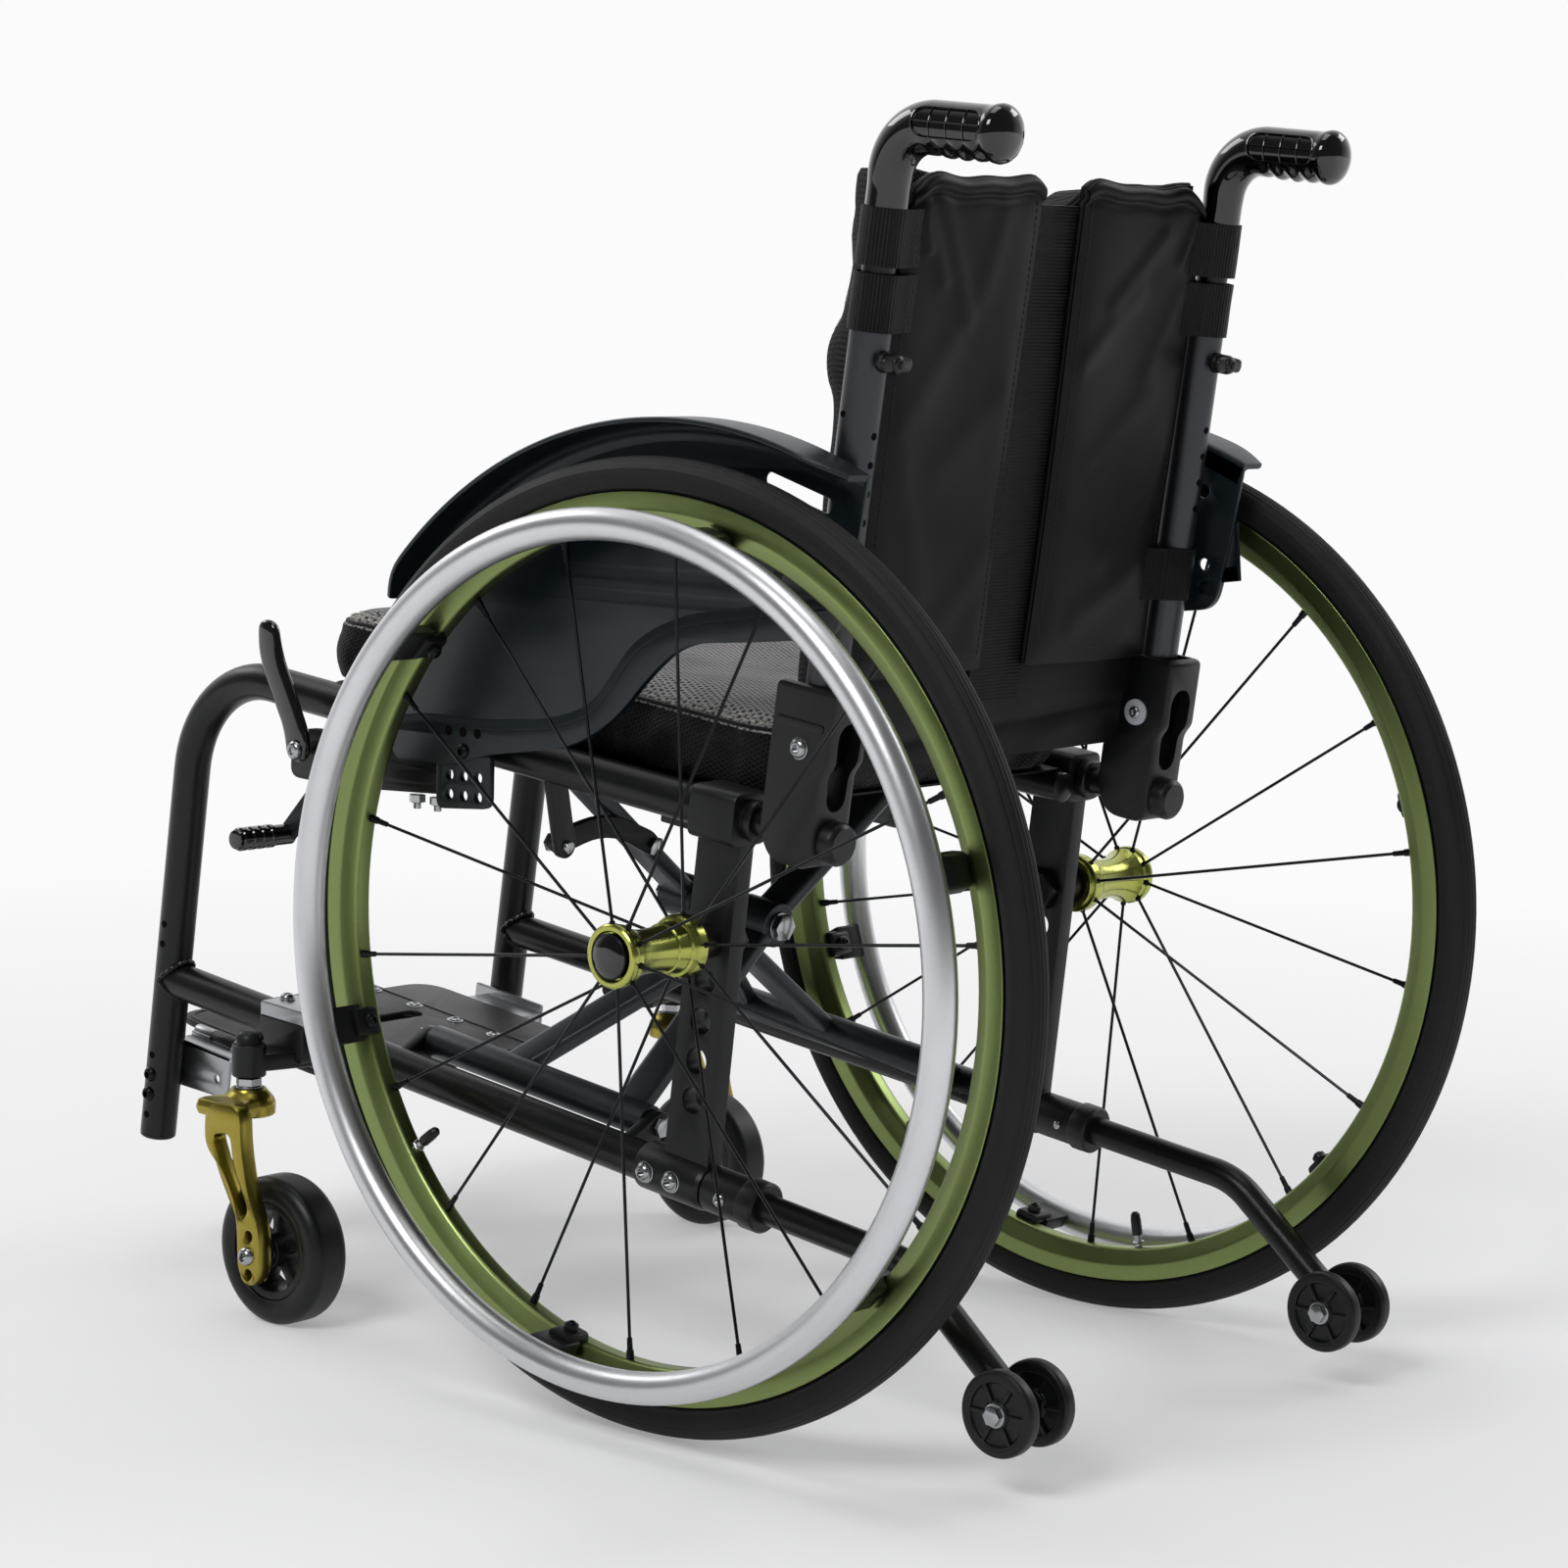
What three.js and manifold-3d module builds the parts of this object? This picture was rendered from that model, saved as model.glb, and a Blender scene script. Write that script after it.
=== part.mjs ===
// Lightweight folding wheelchair, millimetres, +Z up.
// Built around the rear axle: X = 0 is the centre plane and +X the user's left,
// Y = 0 is the rear axle and +Y points backwards, Z = 0 is the floor.
// The whole group is moved along Y at the end so that its box is centred.
import * as THREE from 'three';
import { mergeVertices, toCreasedNormals } from 'three/addons/utils/BufferGeometryUtils.js';
import Module from 'manifold-3d';

const wasm = await Module();
wasm.setup();

// Shared sizes and fits
const fitGap = 0.3;
const pivotGap = 0.4;
const overrun = 5;
const bite = 1;
const weldTolerance = 0.0005;
const creaseAngle = 0.55;
const half = 0.5;
const chamferUpTo = 6;
const smallRound = 3.3;
const mediumRound = 10;
const largeRound = 14;

// Rear wheel
const tyreRadius = 297;
const tyreWidth = 25;
const tyreHeight = 21;
const tyreBeadDepth = 9;
const rimRadius = tyreRadius - tyreHeight;
const rimDepth = 22;
const rimWidth = 22;
const rimBedWidth = 11;
const rimWall = 2;
const rimWellDepth = 9.6;
const wheelX = 225;
const wheelFacets = 28;
const handrimDrop = 18.2;
const handrimRadius = rimRadius - handrimDrop;
const handrimTube = 20;
const handrimStandoff = 43.4;
const handrimX = wheelX + handrimStandoff;
const handrimSides = 8;
const tabCount = 6;
const tabPhase = 47.5;
const tabRootHalf = 12;
const tabTipHalf = 9;
const tabBelow = 5.8;
const tabAbove = 4.2;
const tabSink = 6;
const spokeCount = 18;
const spokePhase = { left: 7.7, right: 10.5 };
const spokeRadius = 1.15;
const spokeOuterDepth = 7.5;
const spokeInnerDepth = 64;
const spokeStagger = 1.5;
const spokeSink = 4;
const nippleRadius = 2.2;
const nippleLength = 13;
const valveAngle = { left: 217.2, right: 280 };
const valveRadius = 3;
const valveLength = 24;
const valveSink = 2;
const hubOuterX = 262;
const hubLength = 69;
const hubFlangeRadius = 19.8;
const hubProfileShares = [
  [0.95, 0], [1, 0.03], [1, 0.16], [0.68, 0.38], [0.78, 0.67], [1, 0.87], [1, 0.97], [0.86, 1],
];
const axlePinRadius = 6;
const axlePinProud = 2;
const buttonRadius = 14;
const buttonTravel = 3;
const buttonProud = 4;
const buttonSink = 2;
const buttonFloorGap = 0.5;
const buttonCrownShares = [[1, 0.25], [0.8, 0.75], [0, 1]];

// Side frame
const frameX = 168;
const tubeRadius = 12.5;
const seatZ = 377.2;
const seatSlope = 0.11;
const lowZ = 142.5;
const lowSlope = 0.127;
const legFootY = -523;
const legFootZ = 95;
const legSlope = 0.133;
const lowJoinZ = 207;
const frontBendRadius = 75;
const seatTubeRearY = 33;
const lowTubeRearY = 14;
const stubRadius = 9;
const stubRearY = 92;
const stubSink = 10;
const weldHalf = 4;
const weldProud = 1.5;
const legHoleZ = [247, 233, 153, 110];
const legHoleRadius = 2.6;
const legHoleDepth = 6.5;
const legBoltZ = [139, 125];
const legBoltRadius = 5;
const legBoltProud = 3;

// Cross brace, in a frame turned to lie along the lower tubes
const braceX = 141;
const braceOriginY = -138;
const sleeveAboveTube = 15;
const sleeveRadius = 11;
const sleevePinRadius = 5;
const sleeveFrontS = -135;
const sleeveRearS = 62;
const lugRadius = 9;
const lugThick = 9;
const lugNutRadius = 7;
const lugNutThick = 4;
const armDepth = 24;
const armThick = 12;
const hubAS = 15;
const hubBS = -52;
const rootsA = [-65, 41];
const rootsB = [-112, -35];
const hubLengthS = 30;
const hubBraceRadius = 15;
const legInset = 1;
const pivotRadius = 5;
const spacerWall = 4;
const hexReach = 9.5;
const hexThick = 7;
const railRadius = 10;
const railDrop = 4;
const railFrontY = -366;
const railRearY = 30;
const cradleY = [-300, -40];
const cradleHalf = 12;
const cradleWall = 3;
const cradleFloor = 5;
const cradleRim = 2;
const cradleSink = 6;

// Fold links, between a hanger on the side frame and the cross arm's upper leg
const linkFrameX = 150;
const linkArmX = 60;
const linkBelowRail = 52;
const linkThick = 6;
const linkEyeRadius = 8;
const linkPinRadius = 4;
const linkBow = 18;
const linkBowDepth = 14;
const linkBowRound = 30;
const linkBoltRadius = 6;
const linkBoltThick = 4;
const hangerInset = 3;
const hangerBelowRail = 6;
const hangerPinProud = 3;
const linkFrontS = {
  left: hubBS + armDepth * half + pivotGap,
  right: hubAS - armDepth * half - pivotGap - linkThick,
};

// Casters
const casterRadius = 50;
const casterWidth = 31;
const casterFacets = 14;
const casterX = 210;
const casterAxleY = -344.5;
const casterAxleRadius = 4;
const casterHeadRadius = 6.5;
const casterHeadThick = 5;
const casterNutRadius = 7;
const casterNutThick = 5;
const casterNutGap = 2.5;
const casterBevel = 1;
const casterShoulder = 10;
const casterTreadDrop = 2.5;
const casterTreadInset = 5;
const casterTread = 17;
const coreRim = 5;
const coreOuter = casterRadius - casterTread;
const coreInner = coreOuter - coreRim;
const coreInset = 3;
const coreHubRadius = 10;
const coreSpokeCount = 5;
const coreSpokeHalfX = 7;
const coreSpokeHalf = 4;
const coreSpokePhase = 90;
const stemY = -380;
const stemRadius = 5;
const stemNutRadius = 8.5;
const stemTopGap = 1;
const stemRoof = 3;
const crownTopZ = 154;
const crownBottomZ = 138;
const crownRadius = 18;
const crownChamfer = 4;
const crownLip = 2;
const forkInnerX = 229;
const forkOuterX = 242;
const forkHoleRadius = 3.2;
const forkHoleOffset = 13;
const bridgeBack = 12;
const bridgeHalf = 16;
const bridgeFlare = 20;
const bridgeCorner = 8;
const bridgeDrop = 6;
const bossRadius = 11.5;
const bossBottomZ = 162;
const bossTopZ = 184;
const bossCapRadius = 9.6;
const bossCapHeight = 10;
const bossCapShares = [[1, 0.3], [0.68, 0.8], [0, 1]];
const housingAhead = 3;
const housingHalf = 22;
const housingWall = 4;
const housingCorner = 4;
const housingShares = [[-1, -0.86], [1, -0.95], [1, 0.68], [-1, 0.82]];
const housingBoltD = [-12, 10];
const housingBoltRadius = 5;
const housingBoltTop = 21;
const housingArmRise = 4;
const housingArmThick = 12;
const housingArmInset = 10;
const housingArmFlare = 20;
const housingArmNeck = 12;
const housingArmNose = 6;
const housingArmCorner = 8;
const forkLegShares = [
  [-0.43, 0.65, 0.08], [-0.43, 0.88, 0.1], [-0.35, 0.98, 0.08], [-0.08, 0.96, 0.1], [-0.08, 0.71, 0.13],
  [-0.01, 0.4, 0.12], [0.106, 0.19, 0.1], [0.106, -0.115, 0.1], [0, -0.22, 0.08], [-0.106, -0.115, 0.1],
  [-0.125, 0.27, 0.12], [-0.26, 0.5, 0.12],
];
const forkSlotShares = [
  [-0.35, 0.73, 0.05], [-0.19, 0.75, 0.05], [-0.15, 0.56, 0.08], [-0.01, 0.29, 0.04], [-0.07, 0.23, 0.04],
  [-0.25, 0.52, 0.08],
];

// Axle plate
const plateWidth = 37;
const plateThick = 13;
const plateTaper = 1;
const plateFootY = -16;
const plateHeadY = 8;
const plateHoleRadius = 8;
const plateHolePitch = 25.4;
const plateHoleCount = 4;
const receiverRadius = 10.5;
const receiverInnerX = 152;
const receiverOuterX = 192;
const receiverNutRadius = 15;
const receiverNutThick = 9;
const footClampFrontY = -52;
const footClampRearY = 2;
const footClampWall = 3;
const footBoltY = [-41, -19];
const footBoltRadius = 6.5;
const footBoltReach = 20;
const saddleFrontY = -10;
const saddleRearY = 27;
const saddleWall = 4;
const saddleCorner = 7;

// Back posts, hinge castings and push handles
const postY = 95;
const postZ = 543;
const postSlope = 0.13;
const pivotZ = 424;
const handleTopZ = 785;
const postBelowHandle = 95;
const postTopZ = handleTopZ - postBelowHandle;
const postFootDrop = 13;
const postBore = 10.3;
const postBoreShare = 0.455;
const handleFootShare = 0.519;
const knobShare = 0.868;
const tongueRadius = 8.5;
const tongueDrop = 34;
const postBossRadius = 6.5;
const postBossReach = 15.5;
const handleTubeRadius = 10;
const handleSides = 10;
const handleRise = 5;
const handleBend = 30;
const gripAboveTube = 22;
const gripDroop = 2;
const gripCap = 6;
const gripEndY = 213;
const gripRadius = 16;
const gripSides = 12;
const gripGroove = 2.4;
const gripFlankShare = -0.3;
const gripBendShares = [0.806, 0.8375, 0.8875, 0.9375, 0.975];
const gripShares = [[0.18, 0.9875, 1], [0.36, 1, 0], [0.54, 1, 1], [0.72, 1.025, 0], [0.94, 1.1, 0], [1, 0.875, 0]];
const castingInnerX = 152;
const castingOuterX = 186;
const castingHeight = 110;
const castingShares = [
  [-0.218, -0.509, 0.055], [-0.218, 0.345, 0.036], [0.209, 0.345, 0.036], [0.209, -0.055, 0.027],
  [0.164, -0.127, 0.027], [0.164, -0.655, 0.082], [-0.127, -0.655, 0.082],
];
const channelShares = [[-0.364, -0.336], [0.12, -0.336, 0.027], [0.12, -0.055], [0.177, 0.455], [-0.364, 0.455]];
const keyholeHalf = 9.5;
const keyholeRadius = 11;
const keyholeFrontY = 8;
const keyholeDrop = 35;
const keyholeRise = 8;
const backPinRadius = 4;
const backHeadRadius = 6.5;
const backHeadThick = 4;
const backWasherRadius = 9;
const backWasherThick = 2;
const plugRadius = 13.5;
const plugFrontY = 84;
const plugRearY = 102;
const plugChamfer = 3;
const knobHubRadius = 6;
const knobLength = 10;
const wingSet = 3;
const wingThick = 5;
const wingHalf = 13;
const wingCorner = 2;
const wingShares = [
  [-1, -0.15], [-0.85, -0.35], [0, -0.35], [0.85, -0.35], [1, -0.15], [1, 0.23], [0.38, 0.38], [-0.38, 0.38],
  [-1, 0.23],
];

// Anti-tip arms
const tipArmRadius = 9.5;
const tipAxleY = 244;
const tipAxleZ = 52;
const tipElbowY = 160;
const tipBendRadius = 55;
const tipStopGap = 1;
const tipEyeInset = 2;
const tipEyeRadius = 9;
const tipWheelRadius = 26;
const tipWheelWidth = 10;
const tipWheelOffset = 17;
const tipWheelGap = 0.6;
const tipAxleRadius = 3.2;
const tipNutRadius = 5.5;
const tipNutThick = 4;
const tipHubRadius = 6.5;
const tipWebDepth = 2.2;
const tipTread = 5.5;
const tipRimInner = tipWheelRadius - tipTread;
const tipTreadBevel = 1.2;
const socketRadius = 15.5;
const socketStep = 1.2;
const socketFrontY = 3;
const socketCollarY = 30;
const socketRearY = 47;
const tipButtonY = 25;
const tipButtonRadius = 3;
const tipButtonLength = 4.5;
const tipButtonProud = 2;

// Side guard, whose lower edge follows the seat tube and whose lip follows the tyre
const guardX = 189;
const guardThick = 3;
const guardClearance = 23;
const guardRadius = tyreRadius + guardClearance;
const guardLip = 33;
const guardLipThick = 4;
const guardFrontAngle = 142;
const guardRearAngle = 65.5;
const guardCorner = 26;
const guardRise = tyreRadius + guardRadius - seatZ;
const guardEdgeShares = [
  [-0.819, -0.026], [-0.806, -0.082], [-0.641, -0.049], [-0.544, 0.003], [-0.313, 0.083], [-0.194, 0.192],
  [-0.119, 0.311], [-0.025, 0.425], [0.188, 0.481], [0.35, 0.53], [0.381, 0.692],
];
const guardSlotShares = [[0.178, 0.891], [0.316, 0.85]];
const guardSlotRadius = 4.5;
const guardHoleShares = [[0.322, 0.584], [0.322, 0.647]];
const guardHoleRadius = 4;
const tabCentreShare = -0.6125;
const tabHalfY = 25;
const tabTop = 20;
const tabBottom = 39;
const tabSet = 1;
const tabThick = 5;
const tabCorner = 5;
const tabHoleRadius = 3;
const tabHolePitch = 13;
const tabHoleRises = [-27.8, -14.8, 11.2];
const guardPostRadius = 6;
const guardPostDrop = 1.8;

// Brake, placed ahead of the tyre and under the seat tube
const brakeAhead = 47;
const brakeBelow = 30;
const brakeBarX = 181;
const brakeBarThick = 7.5;
const brakeBarReach = 132;
const brakeBarCorner = 6;
const brakeBarShares = [
  [-0.167, -0.159], [-0.152, 0.068], [-0.008, 0.106], [0.167, 0.083], [1, 0.008], [1, -0.144], [0.258, -0.174],
];
const brakePinRadius = 4;
const brakeHeadGap = 0.5;
const brakeNutRadius = 5.5;
const brakeNutReach = [97, 116];
const brakeNutTop = 13;
const brakeNutBottom = 28;
const leverX = 198;
const leverThick = 5.5;
const leverLength = 84;
const leverHeadRadius = 6.5;
const leverHeadThick = 3;
const leverShares = [
  [-0.107, -0.095, 0.095], [0.107, -0.095, 0.095], [0.131, 0.095, 0.095], [-0.048, 0.452, 0.238],
  [-0.214, 0.738, 0.238], [-0.298, 1, 0.071], [-0.452, 0.976, 0.071], [-0.44, 0.714, 0.238],
  [-0.286, 0.405, 0.238], [-0.143, 0.143, 0.119],
];
const shoeBehind = 26;
const shoeBelow = 13;
const shoeReachY = 20;
const shoeReachZ = 59;
const shoeRadius = 7;
const shoeEyeRadius = 8.5;
const shoeEndRadius = 6;
const shoeArmThick = 5.1;
const shoeHeadRadius = 6;
const shoeHeadThick = 2.4;
const shoeSideGap = 0.6;
const shoeRibWide = 4;
const shoeRibProud = 0.8;
const shoeRibIn = [32, 20, 8];

// Footplate
const plateOriginY = -440;
const plateOriginZ = 152;
const footHingeX = 135;
const footHingeGap = 5.4;
const footReach = 254;
const footFrontS = -115;
const footRearS = 68;
const footThick = 5;
const footSeamX = -62;
const footLapX = -28;
const footStep = 3;
const footBond = 0.5;
const footFrontCorner = 22;
const footRearCorner = 34;
const footSeamCorner = 2;
const footSlotX = [8, -34];
const footSlotS = -38;
const footSlotRadius = 7;
const footScrewX = -50;
const footScrewS = [-97, -53, -10, 31];
const footScrewRadius = 5;
const footScrewProud = 1.6;
const footWeb = 7;
const knuckleS = -50;
const knuckleH = footThick * half;
const knuckleRadius = 4.5;
const knuckleHalf = 12;
const knuckleOuter = 30;
const knuckleWebX = 6;
const knuckleWebLow = 2;
const knuckleWebHigh = 3;
const hingePinRadius = 2.2;
const hingePinSetback = 2;
const bracketThick = 3;
const flangeFrontS = -92;
const flangeRearS = -22;
const flangeFrontDrop = 34;
const flangeRearDrop = 30;
const flangeCorner = 4;
const shelfInset = 4;
const restReach = 31;

// Soft goods
const cushionHalf = 149;
const cushionFrontY = -388;
const cushionRearY = 28;
const cushionThick = 52;
const cushionShares = [
  [0, 0.926, 0.114, 0.654, 0.19, 0], [0.02, 0.98, 0.028, 0.942, 0.27, 0.02], [0.07, 1, 0, 1.115, 0.31, 0.04],
  [0.5, 1, 0, 1.115, 0.31, 0.06], [0.86, 1, 0, 1.077, 0.31, 0.06], [0.976, 0.993, 0, 1.038, 0.27, 0.04],
  [1, 0.96, 0.096, 0.885, 0.23, 0],
];
const cornerFlatShare = 1.35;
const slingThick = 1.5;
const slingFrontY = -372;
const slingRearY = 26;
const slingAngles = [40, 65, 90];
const slingTop = railRadius + pivotGap - railDrop + slingThick;
const backPadHalf = 150;
const backPadFront = 44;
const backPadRear = 11;
const backPadBottomZ = 408;
const backPadBelowHandle = 21;
const padCorner = 9;
const padRoundZ = 11;
const padRoundY = 7;
const padEndShare = 0.93;
const flapInnerX = 22;
const flapOuterX = 148;
const flapBottomZ = 463;
const flapBelowHandle = 23;
const flapFront = 14;
const flapRear = 3;
const flapRound = 8;
const flapShoulderX = 24;
const flapShoulderZ = 8;
const bandLap = 4;
const bandFront = 16;
const bandRear = 5;
const bandBottomZ = 445;
const bandBelowHandle = 33;
const strapWidth = 34;
const strapWall = 4;
const strapReach = 34;
const strapDrop = 3;
const strapEndRadius = 8;
const strapLowZ = 500;
const strapBelowHandle = [114, 76];
const postHoleGap = 0.9;

// Derived lines
const braceAngle = Math.atan(lowSlope);
const seatAngle = Math.atan(seatSlope);
const seatLine = (y) => seatZ - seatSlope * y;
const lowLine = (y) => lowZ - lowSlope * y;
const postLine = (z) => postY + postSlope * (z - postZ);
const postRise = (z) => (z - pivotZ) * Math.hypot(1, postSlope);
const postAt = (share) => pivotZ + share * (postTopZ - pivotZ);
const legLine = (z) => legFootY + legSlope * (z - legFootZ);
const braceOriginZ = lowLine(braceOriginY) + sleeveAboveTube / Math.cos(braceAngle);
const braceHeight = (seatLine(braceOriginY) - railDrop - braceOriginZ)
  / (Math.cos(braceAngle) + seatSlope * Math.sin(braceAngle));
const linkFrame = [linkFrameX, braceHeight - linkBelowRail];
const linkArm = [linkArmX, braceHeight * half * (1 + linkArmX / braceX)];
const leverPivot = [-tyreRadius - brakeAhead, seatLine(-tyreRadius - brakeAhead) - brakeBelow];
const shoePivot = [leverPivot[0] + shoeBehind, leverPivot[1] - shoeBelow];
const shoeAt = [leverPivot[0] - shoeReachY, leverPivot[1] - shoeReachZ];

// Points given as shares of one size, counted from a place: [along, across, corner]
const placed = (shares, size, [a, b]) =>
  shares.map(([u, v, ...corner]) => [a + u * size, b + v * size, ...corner.map((share) => share * size)]);

// Materials
const paint = (name, color, metalness, roughness) =>
  Object.assign(new THREE.MeshStandardMaterial({ color, metalness, roughness }), { name });
const looks = {
  frame: paint('frame_black', 0x1c1c1e, 0.3, 0.6),
  brace: paint('brace_grey', 0x3a3d40, 0.6, 0.45),
  post: paint('post_grey', 0x4a4d50, 0.7, 0.4),
  rim: paint('rim_green', 0x7a9440, 0.8, 0.35),
  hub: paint('hub_lime', 0xb4b83c, 0.9, 0.2),
  fork: paint('fork_gold', 0x9a8f2a, 0.8, 0.35),
  silver: paint('silver_satin', 0xc8c8cc, 0.9, 0.35),
  tyre: paint('tyre_black', 0x17181a, 0, 0.85),
  plastic: paint('plastic_black', 0x18191b, 0, 0.5),
  gloss: paint('gloss_black', 0x0e0e10, 0, 0.15),
  guard: paint('guard_teal', 0x1d272e, 0, 0.45),
  cloth: paint('cloth_black', 0x202022, 0, 0.9),
  mesh: paint('mesh_grey', 0x6d7072, 0, 0.9),
};

// Solids: every shape becomes a closed solid, so that pieces can be joined and cut
function solid(geometry) {
  const bare = geometry.clone();
  bare.deleteAttribute('normal');
  bare.deleteAttribute('uv');
  const welded = mergeVertices(bare, weldTolerance);
  const order = welded.index.array;
  const kept = [];
  for (let i = 0; i < order.length; i += 3) {
    const [a, b, c] = [order[i], order[i + 1], order[i + 2]];
    if (a !== b && b !== c && c !== a) kept.push(a, b, c);
  }
  const mesh = new wasm.Mesh({
    numProp: 3,
    vertProperties: Float32Array.from(welded.attributes.position.array),
    triVerts: Uint32Array.from(kept),
  });
  return new wasm.Manifold(mesh);
}

const join = (...pieces) => wasm.Manifold.union(pieces.flat());
const cut = (piece, ...tools) => piece.subtract(join(...tools));
const mirrored = (piece) => piece.mirror([1, 0, 0]);

function toMesh(piece, name, material) {
  const data = piece.getMesh();
  const geometry = new THREE.BufferGeometry();
  geometry.setAttribute('position', new THREE.BufferAttribute(data.vertProperties, data.numProp));
  geometry.setIndex(new THREE.BufferAttribute(data.triVerts, 1));
  const mesh = new THREE.Mesh(toCreasedNormals(geometry, creaseAngle), material);
  mesh.name = name;
  return mesh;
}

// Primitive helpers: facet counts grow with the radius, and bores keep their flats outside it
const quarter = Math.PI / 2;
const hexSides = 6;
const facetSteps = [[smallRound, 6], [mediumRound, 8], [largeRound, 12], [Infinity, 14]];
const facetsFor = (radius) => facetSteps.find(([upTo]) => radius < upTo)[1];
const overFacets = (radius, facets) => radius / Math.cos(Math.PI / facets);
const boreRadius = (radius) => overFacets(radius, facetsFor(overFacets(radius, facetsFor(radius))));
const drill = (axis, radius, ...rest) => rod(axis, boreRadius(radius), ...rest);
const drillAlong = (from, to, radius) => strut(from, to, boreRadius(radius));

function rod(axis, radius, from, to, a, b, segments = facetsFor(radius)) {
  const geometry = new THREE.CylinderGeometry(radius, radius, to - from, segments);
  const middle = (from + to) * half;
  if (axis === 'x') geometry.rotateZ(-quarter).translate(middle, a, b);
  if (axis === 'y') geometry.translate(a, middle, b);
  if (axis === 'z') geometry.rotateX(quarter).translate(a, b, middle);
  return solid(geometry);
}

function strut(from, to, radius, segments = facetsFor(radius)) {
  const start = new THREE.Vector3(...from);
  const end = new THREE.Vector3(...to);
  const along = end.clone().sub(start);
  const geometry = new THREE.CylinderGeometry(radius, radius, along.length(), segments);
  const turn = new THREE.Quaternion().setFromUnitVectors(new THREE.Vector3(0, 1, 0), along.normalize());
  geometry.applyQuaternion(turn).translate(...start.add(end).multiplyScalar(half).toArray());
  return solid(geometry);
}

function block(x0, x1, y0, y1, z0, z1) {
  const geometry = new THREE.BoxGeometry(x1 - x0, y1 - y0, z1 - z0);
  return solid(geometry.translate((x0 + x1) * half, (y0 + y1) * half, (z0 + z1) * half));
}

// Outline with every corner rounded by its own radius, small ones as chamfers: points are [a, b, radius]
function outline(points, defaultRadius = 0) {
  const shape = new THREE.Shape();
  const count = points.length;
  points.forEach(([a, b, radius = defaultRadius], i) => {
    const corner = new THREE.Vector2(a, b);
    const before = new THREE.Vector2(...points[(i + count - 1) % count]).sub(corner);
    const after = new THREE.Vector2(...points[(i + 1) % count]).sub(corner);
    const reach = Math.min(radius, before.length() * half, after.length() * half);
    const start = corner.clone().add(before.setLength(reach));
    const end = corner.clone().add(after.setLength(reach));
    if (i === 0) shape.moveTo(start.x, start.y);
    else shape.lineTo(start.x, start.y);
    if (reach > chamferUpTo) shape.quadraticCurveTo(corner.x, corner.y, end.x, end.y);
    else if (reach > 0) shape.lineTo(end.x, end.y);
  });
  shape.closePath();
  return shape;
}

// Band around two circles, as a link or a lug
function linkOutline([a0, b0], r0, [a1, b1], r1, steps = 3) {
  const along = Math.atan2(b1 - b0, a1 - a0);
  const lean = Math.acos((r0 - r1) / Math.hypot(a1 - a0, b1 - b0));
  const points = [];
  for (let i = 0; i <= steps; i += 1) {
    const t = along + lean + ((2 * Math.PI - 2 * lean) * i) / steps;
    points.push(new THREE.Vector2(a0 + r0 * Math.cos(t), b0 + r0 * Math.sin(t)));
  }
  for (let i = 0; i <= steps; i += 1) {
    const t = along - lean + (2 * lean * i) / steps;
    points.push(new THREE.Vector2(a1 + r1 * Math.cos(t), b1 + r1 * Math.sin(t)));
  }
  return new THREE.Shape(points);
}

// Slab: an outline in (Y, Z) pushed along X
function slabX(shape, x0, x1, curveSegments = 2) {
  const geometry = new THREE.ExtrudeGeometry(shape, { depth: x1 - x0, bevelEnabled: false, curveSegments });
  geometry.applyMatrix4(new THREE.Matrix4().set(0, 0, 1, x0, 1, 0, 0, 0, 0, 1, 0, 0, 0, 0, 0, 1));
  return solid(geometry);
}

// Slab: an outline in (X, Z) pushed along Y
function slabY(shape, y0, y1, curveSegments = 2) {
  const geometry = new THREE.ExtrudeGeometry(shape, { depth: y1 - y0, bevelEnabled: false, curveSegments });
  geometry.applyMatrix4(new THREE.Matrix4().set(1, 0, 0, 0, 0, 0, -1, y1, 0, 1, 0, 0, 0, 0, 0, 1));
  return solid(geometry);
}

// Slab: an outline in (X, Y) pushed along Z
function slabZ(shape, z0, z1, curveSegments = 2) {
  const geometry = new THREE.ExtrudeGeometry(shape, { depth: z1 - z0, bevelEnabled: false, curveSegments });
  return solid(geometry.translate(0, 0, z0));
}

// Turned piece: profile of [radius, position], closed on itself or on the axis
function turned(profile, axis, a, b, segments = 24, phase = 0) {
  const points = profile.map(([r, p]) => new THREE.Vector2(Math.max(r, 0), p));
  if (profile[0][0] > 0) points.push(points[0].clone());
  const geometry = new THREE.LatheGeometry(points, segments, phase);
  if (axis === 'x') geometry.rotateZ(-quarter).translate(0, a, b);
  if (axis === 'y') geometry.translate(a, 0, b);
  if (axis === 'z') geometry.rotateX(quarter).translate(a, b, 0);
  const piece = solid(geometry);
  return piece.volume() < 0 ? solid(flipped(geometry)) : piece;
}

function flipped(geometry) {
  const order = Array.from(geometry.index.array);
  for (let i = 0; i < order.length; i += 3) [order[i], order[i + 1]] = [order[i + 1], order[i]];
  return geometry.setIndex(order);
}

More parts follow.
